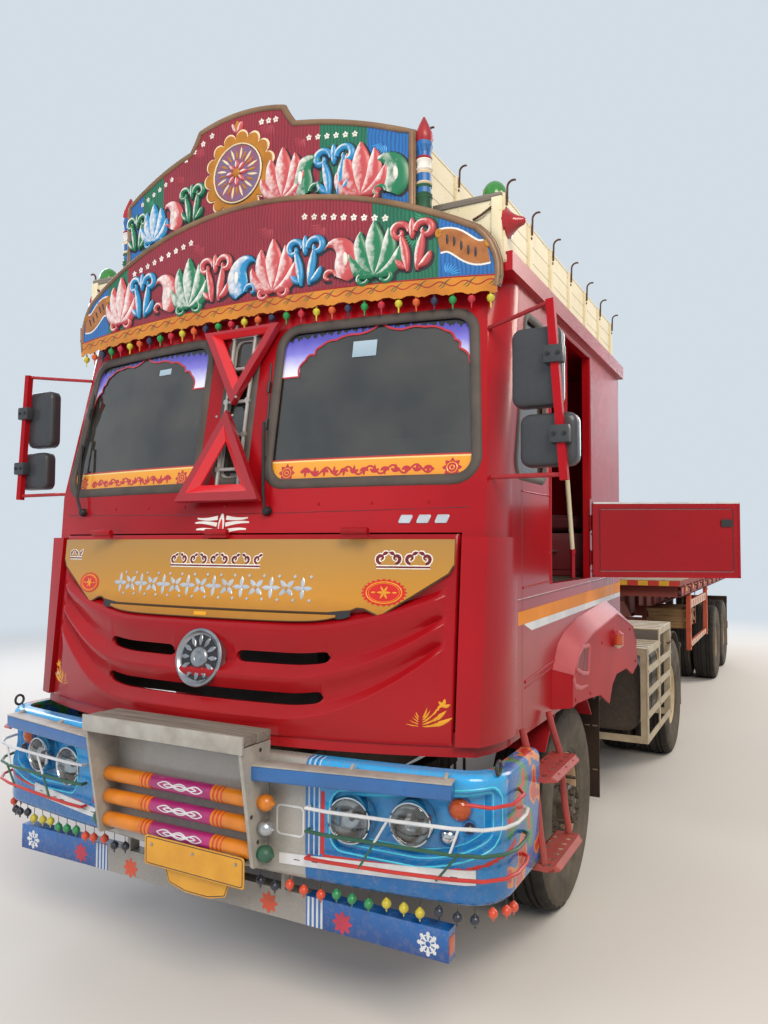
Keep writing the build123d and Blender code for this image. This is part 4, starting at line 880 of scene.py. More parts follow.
def strip(columns, place, front, back, rows=1):
    """A bowed plate between two edges: columns of (u, low v, high v), its two faces standing out by front,
    back."""
    verts, faces = [], []
    count = rows + 1
    for w in (front, back):
        for u, low, high in columns:
            verts += [place(u, low + (high - low) * k / rows, w) for k in range(count)]
    behind = len(columns) * count
    for i in range(len(columns) - 1):
        for k in range(rows):
            a, b, c, d = i * count + k, (i + 1) * count + k, (i + 1) * count + k + 1, i * count + k + 1
            faces += [(a, b, c, d), (behind + d, behind + c, behind + b, behind + a)]
        for k in (0, rows):
            a, b = i * count + k, (i + 1) * count + k
            faces.append((a, b, behind + b, behind + a))
    for i in (0, len(columns) - 1):
        for k in range(rows):
            a, b = i * count + k, i * count + k + 1
            faces.append((a, b, behind + b, behind + a))
    return verts, faces


def window_glass(name, tint, clarity):
    """Laminated glass: a mirror at a slant, tinted and see-through straight on, with a faint film of
    dust."""
    glass, tree = blank_material(name)
    place = node(tree, "TexCoord").outputs["Object"]
    dust = node(tree, "TexNoise", {"Scale": 1 / (260 * MM), "Detail": 6.0}, {"Vector": place})
    film = node(tree, "MapRange", {1: 0.3, 2: 0.8, 3: 0.02, 4: 0.14}, {0: dust})
    haze = node(tree, "BsdfDiffuse", {"Color": linear("#a39a8c")})
    clear = node(tree, "BsdfTransparent", {"Color": linear(tint)})
    mirror = node(tree, "BsdfGlossy", {"Color": (1, 1, 1, 1), "Roughness": 0.02})
    slant = node(tree, "Fresnel", {"IOR": 1.52})
    lifted = node(tree, "Math", {"operation": "MULTIPLY_ADD", 1: 1.0, 2: clarity}, {0: slant})
    pane = node(tree, "MixShader", {}, {0: lifted, 1: clear, 2: mirror})
    whole = node(tree, "MixShader", {}, {0: film, 1: pane, 2: haze})
    node(tree, "OutputMaterial", {}, {"Surface": whole})
    return glass


cab_window_glass = window_glass("laminated_window_glass", "#8a9896", 0.05)
finish("cab_glass", cab_window_glass)


def rubber(name, colour, shade, roughness=0.62, dust=0.35, dust_top_z=1.6):
    """Moulded black rubber gone grey-brown: matt, faintly mottled, dusty low down."""
    return enamel(name, colour, shade, roughness, patch_mm=110, grain_mm=4, ripple=0.05, dust=dust,
        dust_top_z=dust_top_z, dust_colour="#9c8a72")


gasket_rubber = rubber("weathered_gasket_rubber", "#4a423d", "#3a3431", dust=0.2, dust_top_z=4.0)
pale_gasket = rubber("pale_gasket_rubber", "#8f8b86", "#7d7873", 0.55, dust=0.1)

# Each pane's corners, as they are cut in the front
LEFT_PANE = rounded([(200, 2140), (1150, 2140), (1085, 2850), (200, 2850)], 90)
MIDDLE_PANE = rounded(oblong(-80, 2160, 80, 2850), 60)
gaskets = []
for outline in (LEFT_PANE, flipped(LEFT_PANE)):
    path = divided(outline, closed=True)
    gaskets.append((stroke(path + path[:2], 46, on_front, 15, ribs=8, lift=-6), gasket_rubber))
    inner = [(u + (645 * (1 if u > 0 else -1) - u) * 0.026, v + (2495 - v) * 0.034) for u, v in path]
    gaskets.append((stroke(inner + inner[:2], 16, on_front, 7, ribs=4, lift=-12), gasket_rubber))
path = divided(MIDDLE_PANE, closed=True)
gaskets.append((stroke(path + path[:2], 42, on_front, 13, ribs=6, lift=-6), gasket_rubber))
inner = [(u * 0.76, v + (2505 - v) * 0.045) for u, v in path]
gaskets.append((stroke(inner + inner[:2], 22, on_front, 9, ribs=6, lift=-12), pale_gasket))
piece("windscreen_gaskets", gaskets)

# Windscreen films
# Printed vinyl stuck inside the glass: a violet valance that runs to white, cut in scallops along a red
# line under black lace, and an orange band along the foot with a red star-flower at each end.
STAR_V = 2190
FILM_FOOT, BAND_LOW, BAND_TOP = 2626, 2120, 2243


def printed_vinyl(name, stops, z_low, z_high, roughness=0.3, coat=0.6):
    """Printed vinyl behind glass: colours run into each other up its height, with a faint mottle of ink."""
    vinyl, tree = blank_material(name)
    place = node(tree, "TexCoord").outputs["Object"]
    height = node(tree, "SeparateXYZ", {}, {0: place}).outputs[2]
    share = node(tree, "MapRange", {1: z_low * MM, 2: z_high * MM}, {0: height})
    mottle = node(tree, "TexNoise", {"Scale": 1 / (60 * MM), "Detail": 4.0}, {"Vector": place})
    shift = node(tree, "Math", {"operation": "MULTIPLY_ADD", 1: 0.16, 2: -0.08}, {0: mottle})
    total = node(tree, "Math", {"operation": "ADD"}, {0: share, 1: shift})
    ramp = node(tree, "ValToRGB", {}, {0: total})
    marks = ramp.color_ramp.elements
    for i, (position, colour) in enumerate(stops):
        mark = marks[i] if i < 2 else marks.new(1.0)
        mark.position, mark.color = position, linear(colour)
    skin = node(tree, "BsdfPrincipled", {"Roughness": roughness, "Coat Weight": coat,
        "Coat Roughness": 0.04}, {"Base Color": ramp})
    node(tree, "OutputMaterial", {}, {"Surface": skin})
    return vinyl


valance_vinyl = printed_vinyl("violet_valance_vinyl", ((0.0, "#e8e6ee"), (0.18, "#dcdcf0"),
    (0.5, "#7a74cc"), (0.75, "#4c45a8"), (1.0, "#342f80")), FILM_FOOT - 10, 2850)
orange_vinyl = printed_vinyl("orange_band_vinyl", ((0.0, "#d98a1a"), (1.0, "#e59b22")), BAND_LOW, BAND_TOP)
black_vinyl = printed_vinyl("black_lace_vinyl", ((0.0, "#15131b"), (1.0, "#0d0c12")), FILM_FOOT, 2860)
red_vinyl = printed_vinyl("red_line_vinyl", ((0.0, "#b3232a"), (1.0, "#a81d28")), BAND_LOW, 2850)
cream_vinyl = printed_vinyl("cream_line_vinyl", ((0.0, "#e6cf86"), (1.0, "#dcc27a")), BAND_LOW, 2850)
pale_vinyl = printed_vinyl("pale_sticker_vinyl", ((0.0, "#8fa6b4"), (1.0, "#a5b8c4")), 2690, 2770)

# Cusps of the left pane's scalloped arch from the middle of the lorry outwards, and how far each lobe
# swells
CUSPS = ((306, FILM_FOOT, 16), (330, 2700, 12), (376, 2722, 10), (402, 2758, 9), (476, 2781, 8),
    (579, 2797, -10), (681, 2839, -10), (783, 2799, 8), (878, 2802, 9), (968, 2778, 10), (1010, 2736, 12),
    (1032, 2696, 14), (1080, FILM_FOOT, 0))
arch = []
for (u0, v0, swell), (u1, v1, _) in zip(CUSPS, CUSPS[1:]):
    length = math.hypot(u1 - u0, v1 - v0)
    for k in range(8):
        t = k / 8
        push = swell * math.sin(math.pi * t)
        arch.append((u0 + (u1 - u0) * t - (v1 - v0) / length * push,
            v0 + (v1 - v0) * t + (u1 - u0) / length * push))
arch.append(CUSPS[-1][:2])
films = []
for side in (1, -1):

    def on_pane(u, v, w):
        """A point on one pane, drawn as on the left one."""
        return on_front(side * u, v, w)

    def printed(path, width, depth, ink):
        """A line of ink on the inside of one pane."""
        films.append((stroke(path, width, on_pane, depth, lift=GLASS_IN + 0.6), ink))

    edge = [(188, FILM_FOOT)] + arch + [(1118, FILM_FOOT)]
    columns = []
    for u, v in divided(edge, 24):
        columns.append((u if not columns else max(u, columns[-1][0] + 0.05), v, 2868))
    films.append((strip(columns, on_pane, GLASS_IN, GLASS_IN - 1.0, rows=3), valance_vinyl))
    lace = []
    for k in range(190):
        u = 188 + 930 * k / 189
        drop = 18 * abs(math.sin(u * 0.081)) + 13 * abs(math.sin(u * 0.211 + 1)) + 8 * abs(math.sin(u
            * 0.53))
        nearest = min(columns, key=lambda column: abs(column[0] - u))
        foot = max(2842 - 26 * ((u - 645) / 470) ** 2 - drop, nearest[1] + 6)
        lace.append((u, min(foot, 2862), 2870))
    films += [
        (strip(lace, on_pane, GLASS_IN + 0.5, GLASS_IN), black_vinyl),
        (stroke(divided(arch, 24), 9, on_pane, 0.6, lift=GLASS_IN + 0.6), red_vinyl)]
    feet = [(196, FILM_FOOT), (306, FILM_FOOT)], [(1080, FILM_FOOT), (1110, FILM_FOOT)]
    sides = [(1086, FILM_FOOT), (1122, BAND_TOP)], [(212, FILM_FOOT), (212, BAND_TOP)]
    for line in feet + sides:
        printed(divided(line, 40), 7, 0.6, red_vinyl)
    line = divided([(1097, FILM_FOOT), (1132, BAND_TOP)], 40)
    printed(line, 6, 0.6, cream_vinyl)
    columns = [(190 + 968 * k / 30, BAND_LOW, BAND_TOP) for k in range(31)]
    films.append((strip(columns, on_pane, GLASS_IN, GLASS_IN - 1.0, rows=2), orange_vinyl))
    for height, paint in ((BAND_TOP + 3, red_vinyl), (BAND_TOP - 5, cream_vinyl)):
        line = divided([(192, height), (1150, height)], 40)
        printed(line, 6, 0.6, paint)
    for star_u in (299, 1041):
        for k in range(8):
            printed(*petal(star_u, STAR_V, 40, 22, 45 * k, count=5), 0.8, red_vinyl)
        for radius, count in ((21, 24), (9, 16)):
            ring = ring_path(star_u, STAR_V, radius, count)
            films.append((stroke(ring, 4, on_pane, 0.8, lift=GLASS_IN + 1.4), orange_vinyl))
    # a running vine between the stars
    vine = [(368 + 600 * k / 96, STAR_V + 17 * math.sin(2 * math.pi * k / 16)) for k in range(97)]
    printed(vine, 8, 0.8, red_vinyl)
    for k in range(13):
        u, hand = 392 + 46 * k, 1 if k % 2 else -1
        for turn, long in ((90 * hand, 34), (90 * hand - 50, 26), (90 * hand + 50, 26)):
            printed(*petal(u, STAR_V - hand * 12, long, 13, turn, count=5), 0.8, red_vinyl)
sticker = [(560 + 110 * k / 4, 2692, 2764) for k in range(5)]
films.append((strip(sticker, on_front, GLASS_IN + 0.5, GLASS_IN - 0.5), pale_vinyl))
sticker = [(-560 + 84 * k / 3, 2722, 2752) for k in range(4)]
films.append((strip(sticker, on_front, GLASS_IN + 0.5, GLASS_IN - 0.5), pale_vinyl))
piece("windscreen_films", films)

# Crossed ornament, ladder and wipers
# Two open triangles of folded sheet steel, red outside and scarlet inside their bevels, stand on studs
# before a light riveted aluminium ladder. Two black wipers park upright beside them.
SCREEN_LEAN = math.atan2(150, 873)
dark_red_enamel = enamel("dark_red_enamel", "#a3131f", "#8a0f1a", 0.25, coat=0.5)
scarlet_enamel = enamel("scarlet_enamel", "#d6252b", "#c51d25", 0.25, coat=0.5)
riveted_aluminium = enamel("weathered_aluminium", "#b9b6b0", "#a19d97", 0.38, metallic=0.55, patch_mm=90,
    dust=0.1)
wiper_black = enamel("wiper_black_enamel", "#1b1a1b", "#121213", 0.45, patch_mm=80, dust=0.1)


def on_screen(x, up, proud):
    """A point by its way across and up the windscreen's slope from the belt line, and how far it stands
    proud."""
    return Vector((x, -10 + up * math.sin(SCREEN_LEAN) - proud * math.cos(SCREEN_LEAN),
        2127 + up * math.cos(SCREEN_LEAN) + proud * math.sin(SCREEN_LEAN)))


def ring_faces(rings, count):
    """Faces that join rings of as many corners, one ring after another."""
    return [(i * count + k, i * count + (k + 1) % count, (i + 1) * count + (k + 1) % count,
        (i + 1) * count + k) for i in range(rings - 1) for k in range(count)]


ornament = []
# half width, height of the flat edge, height of the tip, for the outer edge, the bevel's edge and the
# opening; how far it stands off, and where its studs are
for outer, bevel, opening, proud, stud in (((213, 752, 385), (165, 738, 454), (120, 722, 515), 18,
        (84, 737)), ((232, -70, 347), (170, -32, 274), (110, 8, 206), 48, (150, -50))):
    depth = 34
    corners = [[(-half, flat), (half, flat), (0, tip)] for half, flat, tip in (outer, bevel, opening)]
    levels = ((0, 0), (0, depth - 3), (0.02, depth), (0.98, depth))
    red = []
    for share, w in levels:
        red.append([on_screen(a[0] + (b[0] - a[0]) * share, a[1] + (b[1] - a[1]) * share, proud + w) for a,
            b in zip(corners[0], corners[1])])
    bright = [red[-1]]
    for share, w in ((0.05, depth - 2), (0.96, 8), (1.0, 0)):
        bright.append([on_screen(a[0] + (b[0] - a[0]) * share, a[1] + (b[1] - a[1]) * share,
            proud + w) for a, b in zip(corners[1], corners[2])])
    for rings, paint in ((red, dark_red_enamel), (bright, scarlet_enamel)):
        verts = [corner for ring in rings for corner in ring]
        ornament.append(((verts, ring_faces(len(rings), 3)), paint))
    back = [bright[-1], red[0]]
    ornament.append((([corner for ring in back for corner in ring], ring_faces(2, 3)), dark_red_enamel))
    for side in (-1, 1):
        x, up = stud
        ornament.append((tube([on_screen(side * x, up, -20), on_screen(side * x, up, proud + 4)], 8, 8),
            wiper_black))
        head = on_screen(side * x * 0.3, outer[2] + (30 if outer[1] > outer[2] else -30), proud + depth)
        ornament.append((lathe([(0, 0), (0, 6), (-3, 5), (-4, 0)], head, "Y", 10), riveted_aluminium))
LADDER_HALF, RUNG_UPS = 60, (90, 250, 410, 570, 730)
for x in (-LADDER_HALF, LADDER_HALF):
    rail = [on_screen(x, up, w) for up, w in ((4, 4), (40, 7), (400, 8), (760, 7), (792, 4))]
    ornament.append((tube(rail, 9, 8), riveted_aluminium))
for up in RUNG_UPS:
    rung = [on_screen(x, up, 8) for x in (-LADDER_HALF - 14, LADDER_HALF + 14)]
    ornament.append((tube(rung, 8, 8), riveted_aluminium))
    for x in (-LADDER_HALF, LADDER_HALF):
        ornament.append((lathe([(8, 0), (8, 14), (-8, 14), (-8, 0)], on_screen(x, up, 10), "Y", 10),
            riveted_aluminium))
piece("crossed_ornament", ornament, smooth=25, replaces=("windscreen_ornaments",))

wipers = []
# pivot, elbow and tip of each arm, then the low and high end of its blade
for pivot, elbow, tip, low, high in (((236, 2022), (222, 2100), (176, 2420), (196, 2130), (160, 2700)),
        ((-976, 2040), (-1010, 2110), (-1075, 2400), (-1052, 2140), (-1086, 2690))):
    arm = [on_front(*pivot, 24), on_front(*elbow, 34), on_front(*tip, 26)]
    wipers += [
        (tube(arm, 7, 8), wiper_black),
        (lathe([(10, 0), (10, 20), (-20, 20), (-30, 13), (-34, 0)], on_front(*pivot, 0), "Y", 16),
            wiper_black)]
    blade = divided([low, high], 60)
    wipers += [
        (stroke(blade, 11, on_front, 14, ribs=4, lift=-2), wiper_black),
        (stroke(blade, 5, on_front, 24, lift=2), wiper_black)]
    for share in (0.2, 0.5, 0.8):
        u, v = (low[i] + (high[i] - low[i]) * share for i in (0, 1))
        wipers.append((stroke([(u, v - 24), (u, v + 24)], 16, on_front, 20, ribs=4, lift=6), wiper_black))
piece("wipers", wipers)

# Front hatch
# One big pressed-steel lid hinged along its top edge, in the cab's red enamel. Three ledges are pressed
# into it, each a slanted upper face over a hollow one, swept up at both ends, with two rows of round-ended
# air slots.
HATCH_END, HATCH_TOP, HATCH_FOOT = 1090, 1922, 1122
SWEEP_FROM, SWEEP_TO = 420, 1040
# Each row of the pressing: level over the middle, level where the sweep ends, how far it stands out
PRESSED_ROWS = ((HATCH_TOP, HATCH_TOP, 9), (HATCH_TOP - 8, HATCH_TOP - 8, 14), (1660, 1792, 14),
    (1604, 1735, 10), (1586, 1717, -4), (1580, 1711, -5), (1544, 1681, 37), (1539, 1676, 40),
    (1533, 1671, 40), (1488, 1638, 24), (1440, 1608, 4), (1392, 1604, -6), (1388, 1600, -5),
    (1356, 1573, 37), (1351, 1568, 40), (1345, 1563, 40), (1314, 1536, 24), (1284, 1512, 3),
    (1236, 1506, -6), (1232, 1502, -5), (1200, 1475, 37), (1195, 1470, 40), (1189, 1465, 40),
    (1160, 1380, 22), (1134, 1136, 14), (HATCH_FOOT, HATCH_FOOT, 9))
# the row above each slot, the slot's inner end and its outer end
AIR_SLOTS = ((10, 170, 600), (17, 0, 584))


def sweep(u):
    """How far up its sweep a ledge is: an arc from the middle stretch to the end."""
    away = max(abs(u) - SWEEP_FROM, 0) / (SWEEP_TO - SWEEP_FROM)
    return away * away * (1.12 - 0.12 * away)


def sheet(columns, count, face_point, back_point, kept):
    """A pressed sheet with two faces and closed edges; kept(i, k) says which of its cells are metal."""
    verts = [face_point(i, k) for i in range(columns) for k in range(count)]
    verts += [back_point(i, k) for i in range(columns) for k in range(count)]
    behind = columns * count
    solid = {(i, k) for i in range(columns - 1) for k in range(count - 1) if kept(i, k)}
    faces = []
    for i, k in sorted(solid):
        a, b, c, d = i * count + k, (i + 1) * count + k, (i + 1) * count + k + 1, i * count + k + 1
        faces += [(a, b, c, d), (behind + d, behind + c, behind + b, behind + a)]
        for beside, p, q in (((i - 1, k), a, d), ((i + 1, k), b, c), ((i, k - 1), a, b),
                ((i, k + 1), d, c)):
            if beside not in solid:
                faces.append((p, q, behind + q, behind + p))
    return verts, faces


half_columns = [0, 30, 80, 130, 160, 170, 173, 179, 190, 204, 240, 300, 360, 420, 460, 500, 530, 550, 564,
    575, 581, 584, 590, 600, 612, 640, 675, 710, 745, 780, 815, 850, 885, 920, 955, 985, 1010, 1028, 1042,
    1054, 1072, 1084, HATCH_END]
hatch_columns = [-u for u in reversed(half_columns[1:])] + half_columns


def slot_reach(u, inner, outer):
    """How open a slot is at u, from 0 at its round end to 1."""
    away = outer - abs(u) if not inner else min(outer - abs(u), abs(u) - inner)
    if away <= 0:
        return 0.0
    return math.sqrt(1 - (1 - away / 34) ** 2) if away < 34 else 1.0


def pressed_v(u, k):
    """The height of one row of the pressing."""
    level, end, _ = PRESSED_ROWS[k]
    v = level + (end - level) * sweep(u)
    for row, inner, outer in AIR_SLOTS:
        if k in (row, row + 1) and (inner or 1) - 1 < abs(u) <= outer:
            top, foot = ((PRESSED_ROWS[r][0] + (PRESSED_ROWS[r][1] - PRESSED_ROWS[r][0]) * sweep(u))
                for r in (row, row + 1))
            middle = (top + foot) / 2
            v = middle + (v - middle) * slot_reach(u, inner, outer)
    return v


def pressed_face(i, k):
    """A point on the hatch's outer face."""
    u = hatch_columns[i]
    fade = min(max((1052 - abs(u)) / 30, 0), 1)
    edge = 9 if abs(u) > 1088 else 14
    out = edge + (PRESSED_ROWS[k][2]
        - edge) * fade if 1 < k < len(PRESSED_ROWS) - 2 else min(PRESSED_ROWS[k][2], edge)
    return on_front(u, pressed_v(u, k), out)


def pressed_back(i, k):
    """A point on the hatch's inner face; its foot laps over the cab's front sill."""
    v = pressed_v(hatch_columns[i], k)
    return on_front(hatch_columns[i], v, 3 if v < 1178 else -20)


def hatch_metal(i, k):
    """Whether a cell of the hatch is metal and not a slot."""
    middle = (hatch_columns[i] + hatch_columns[i + 1]) / 2
    return not any(k == row and (inner or -1) < abs(middle) < outer for row, inner, outer in AIR_SLOTS)


pressing = sheet(len(hatch_columns), len(PRESSED_ROWS), pressed_face, pressed_back, hatch_metal)
hinges = []
for x in (-700, 0, 700):
    hinges += [
        (lathe([(-60, 0), (-60, 13), (-57, 14), (57, 14), (60, 13), (60, 0)], (x, -84, 1934), "X", 16),
            red_coach_enamel),
        (box((x - 58, -86, 1908), (x + 58, -66, 1934), 2), red_coach_enamel)]
piece("hatch_pressing", [(pressing, red_coach_enamel)] + hinges, body="front_hatch",
    smooth=50, replaces=("front_hatch",))

# Hatch header and emblem
# A gold metallic panel over the ledges, pointed down at each shoulder, with a separate lip under its
# middle, and a cast aluminium rosette. Sign-painter's ornaments are brushed on in enamel.
TOOTHED_DISC_V = 1692
# The gold runs darker at its foot and lighter up its height: a painted sheen on the gold paint.
gold_with_painted_sheen = printed_vinyl("gold_enamel_with_painted_sheen", ((0.0, "#a06a14"), (0.3, "#bd8220"),
    (0.62, "#b07f2e"), (1.0, "#a27a3c")), 1568, 1900, 0.34, coat=0.15)
# Dark brown for painted shadow along the header's edges.
header_shadow_line = enamel("brown_painted_shadow_enamel", "#4d3413", "#3c280f", 0.5)
silver_enamel = enamel("silver_enamel", "#c3c8cd", "#aab0b6", 0.32, metallic=0.35, patch_mm=120)
cast_aluminium = enamel("cast_aluminium", "#a6a8ac", "#85878b", 0.3, metallic=0.85, patch_mm=50)
# Near black for the rosette's recess, and as painted shade in the header's pockets.
emblem_black_and_pocket_shade = enamel("emblem_black_and_pocket_shade_enamel", "#2a2b2e", "#1f2023", 0.5)
sign_white = enamel("sign_white_enamel", "#e9e4dc", "#d9d3c8", 0.4, patch_mm=60)
sign_red = enamel("sign_red_enamel", "#cc2018", "#b81a14", 0.35, patch_mm=60)
maroon_paint_and_shade_lines = enamel("maroon_enamel_and_shade_lines", "#6b1420", "#5a0f1a", 0.4, patch_mm=60)
sign_yellow = enamel("sign_yellow_enamel", "#e0a01e", "#cf8d14", 0.4, patch_mm=60)
HEADER_EDGE = ((0, 1606), (640, 1606), (668, 1612), (705, 1628), (735, 1626), (800, 1598), (1062, 1768),
    (1080, 1800))


def level_on(points, u):
    """The height of a chain of (u, v) points at u."""
    for (u0, v0), (u1, v1) in zip(points, points[1:]):
        if u <= u1:
            return v0 + (v1 - v0) * (u - u0) / (u1 - u0)
    return points[-1][1]


header = []
half = [0, 80, 160, 240, 320, 400, 480, 560, 640, 654, 668, 686, 705, 720, 735, 767, 800, 850, 900, 950,
    1000, 1040, 1062, 1074, 1080]
columns = [(-u, level_on(HEADER_EDGE, u), 1902) for u in reversed(half[1:])]
columns += [(u, level_on(HEADER_EDGE, u), 1902) for u in half]
header.append((strip(columns, on_front, 26, 11, rows=4), gold_with_painted_sheen))
lip = [(u, 1568 + 22 * (abs(u) / 620) ** 8, 1599) for u in [-620 + 40 * k for k in range(32)]]
header.append((strip(lip, on_front, 31, 10, rows=2), gold_with_painted_sheen))
outline = [(u, v) for u, v, _ in columns]
# Dark brown lines painted as shadow: under the panel's lower edge, between the lip and the panel, and under
# the lip.
header += [
    (stroke(outline, 7, on_front, 2, lift=26), header_shadow_line),
    (stroke([(u, high + 2) for u, _, high in lip], 7, on_front, 1.5, lift=25), header_shadow_line),
    (stroke([(u, low) for u, low, _ in lip], 6, on_front, 1.5, lift=30), header_shadow_line)]
# a dark patch at each end of the lip, painted as the shade in the pocket under the panel's rising edge
for side in (-1, 1):
    pocket = [(u, 1598 - 15 * math.sin(math.pi * (u - 580) / 106), 1603 + 12 * (u - 580) / 106 + 6)
        for u in [580 + 6 + 94 * k / 10 for k in range(11)]]
    pocket = [(side * u, low, high) for u, low, high in (pocket if side > 0 else reversed(pocket))]
    header.append((strip(pocket, on_front, 27.5, 24, rows=2), emblem_black_and_pocket_shade))
tab = [(u, 1576, 1591) for u in (-64, -30, 4)]
header.append((strip(tab, on_front, 32, 30), sign_yellow))

# a silver band of four-petalled flowers and upright leaves along the middle
for k in range(15):
    u = -574 + 74 * k
    turns, length, wide = ((45, 135, 225, 315), 44, 21) if k % 2 else ((0, 90, 180, 270), 45, 19)
    for turn in turns:
        header.append((stroke(*petal(u, 1700, length, wide, turn, count=6), on_front, 3, ribs=3, lift=26),
            silver_enamel))
    header.append((slab([(u, 1710), (u + 10, 1700), (u, 1690), (u - 10, 1700)], lambda p, q,
        w: on_front(p, q, w + 26), 5, 1), gold_with_painted_sheen if k % 2 else silver_enamel))
    for level in (1652, 1748):
        header.append((slab([(u + 37, level + 8), (u + 45, level), (u + 37, level - 8), (u + 29, level)],
            lambda p, q, w: on_front(p, q, w + 26), 3, 1), silver_enamel))


def brushed(path, width):
    """A maroon brush stroke on the hatch, over a slightly wider white one."""
    header.append((stroke(path, lambda t: width(t) + 9, on_front, 1, lift=26), sign_white))
    header.append((stroke(path, width, on_front, 2, lift=26.8), maroon_paint_and_shade_lines))


for centre, count, step, size, v in ((0, 9, 58, 50, 1795), (882, 4, 60, 60, 1800), (-972, 3, 44, 36, 1818)):
    for k in range(count):
        u = centre + (k - (count - 1) / 2) * step
        hand = 1 if k % 2 else -1
        brushed(*curl(u, v + size * 0.42, size * 0.34, 0.9, -90, hand, size * 0.24, count=12))
        brushed(*petal(u - hand * size * 0.1, v + size * 0.66, size * 0.42, size * 0.24, 90 + hand * 50,
            hand * 40, count=6))
    line = [(centre - count * step / 2 + 12, v - 8), (centre + count * step / 2 - 12, v - 8)]
    brushed(divided(line, 60), lambda t: 7)
for centre, reach in ((812, 92), (-824, 84)):
    teeth = []
    for k in range(96):
        angle, swell = 2 * math.pi * k / 96, 1.0 if k % 4 < 2 else 0.9
        teeth.append((centre + reach * swell * math.cos(angle),
            TOOTHED_DISC_V + reach * 0.58 * swell * math.sin(angle)))
    spokes = [(centre, TOOTHED_DISC_V)] + teeth
    face = ([on_front(u, v, 28) for u, v in spokes] + [on_front(u, v, 25) for u, v in teeth],
        [(0, 1 + k, 1 + (k + 1) % 96) for k in range(96)] + [(1 + k, 97 + k, 97 + (k + 1) % 96,
        1 + (k + 1) % 96) for k in range(96)])
    header.append((face, sign_red))
    for share, wide in ((0.78, 4), (0.68, 2)):
        ring = [(centre + reach * share * math.cos(a), TOOTHED_DISC_V + reach * 0.58 * share * math.sin(a))
            for a in [2 * math.pi * k / 40 for k in range(42)]]
        header.append((stroke(ring, wide, on_front, 1, lift=28), sign_yellow))
    for k in range(6):
        header.append((stroke(*petal(centre, TOOTHED_DISC_V, reach * 0.3, 9, 60 * k, count=4), on_front,
            1.5, lift=28), sign_yellow))
    for side in (-1, 1):
        header.append((stroke(*petal(centre + side * reach * 0.36, TOOTHED_DISC_V, reach * 0.22, 7,
            90 - 90 * side, count=4), on_front, 1.5, lift=28), sign_yellow))
# a yellow winged flower low on each side
for side in (-1, 1):

    def on_wing(u, v, w):
        """A point on one side of the hatch."""
        return on_front(side * u, v, w)

    for k in range(5):
        for hand in (-1, 1):
            header.append((stroke(*petal(976 + hand * 8, 1192 + 8 * k, 112 - 12 * k, 19,
                90 - hand * (84 - 14 * k), hand * 30, count=6), on_wing, 2, lift=15 + 0.4 * k),
                sign_yellow))
    for u, v in ((900, 1262), (950, 1252), (1004, 1254), (1052, 1268)):
        for turn in (60, 120, 0, 180):
            header.append((stroke(*petal(u, v, 30, 13, turn, 40, count=5), on_wing, 2, lift=15),
                sign_yellow))
bars = [(u, 1222, 1236) for u in (-1070, -1020, -975, -930)]
header.append((strip(bars, on_front, 16, 13), silver_enamel))

EMBLEM_V = 1398
centre = on_front(0, EMBLEM_V, 20)
tilt = Matrix.Translation(centre) @ Matrix.Rotation(-math.atan2(206, 1047), 4, "X")
disc = lathe([(20, 0), (20, 118), (-6, 118), (-16, 124), (-20, 121), (-21, 112), (-13, 104), (-9, 98),
    (-9, 46), (-17, 42), (-21, 36), (-21, 26), (-16, 20), (-22, 0)], (0, 0, 0), "Y", 48)
header.append((moved(disc, tilt), cast_aluminium))
recess = lathe([(-8, 97), (-10, 96), (-10, 47), (-8, 46)], (0, 0, 0), "Y", 48)
header.append((moved(recess, tilt), emblem_black_and_pocket_shade))
for k in range(12):
    angle = math.pi * k / 6
    outline = [(50, -3), (72, -11), (93, -6), (96, 0), (93, 6), (72, 11), (50, 3)]

    def on_disc(u, v, w):
        """A point on the rosette, turned to one of its petals."""
        return tilt @ Vector((u * math.cos(angle) - v * math.sin(angle), -9 - w,
            u * math.sin(angle) + v * math.cos(angle)))

    header.append((slab(outline, on_disc, 7, 2), cast_aluminium))
piece("hatch_header", header, body="front_hatch", smooth=40)

# Cowl ornaments
# The fixed panel over the hatch carries its seam line, a dark red line painted as the shade in the gap, and
# bolt heads, a sign-painter's mark of three white strokes round a red drop, and a plain bright badge of
# three bars.
cowl = []
# the seam, a dark red line painted as the shade in the gap
seam = [(u, 2014 + 12 * (abs(u) / 1000) ** 2) for u in range(-1120, 1121, 56)]
cowl.append((stroke(seam, 6, on_front, 1.5, lift=-0.5), maroon_paint_and_shade_lines))
for k in range(9):
    u = -960 + 240 * k
    cowl.append((lathe([(0, 0), (0, 7), (-3, 6), (-5, 0)], on_front(u, 2050, 0), "Y", 10),
        red_coach_enamel))
for k, (v, reach) in enumerate(((1998, 142), (1967, 152), (1937, 140))):
    for side in (-1, 1):
        line = [(side * (24 + (reach - 24) * t) - 8, v + 8 * math.sin(2.4 * t) * (1 if k else -1) + 4 * t)
            for t in [j / 8 for j in range(9)]]
        cowl.append((stroke(line, lambda t: 19 * (1 - 0.62 * t), on_front, 1.5, lift=0.4), sign_white))
cowl += [
    (stroke(*petal(-8, 2016, 108, 34, -90), on_front, 1.5, ribs=3, lift=0.8), sign_white),
    (stroke(*petal(-8, 1992, 78, 24, -90), on_front, 2.5, ribs=3, lift=1.2), sign_red)]
for u0, u1 in ((838, 902), (912, 976), (986, 1050)):
    outline = rounded([(u0, 1966), (u1 - 14, 1966), (u1, 2000), (u0 + 14, 2000)], 6, 3)
    cowl.append((slab(outline, on_front, 5, 1.5), silver_enamel))
piece("cowl_ornaments", cowl, smooth=40)

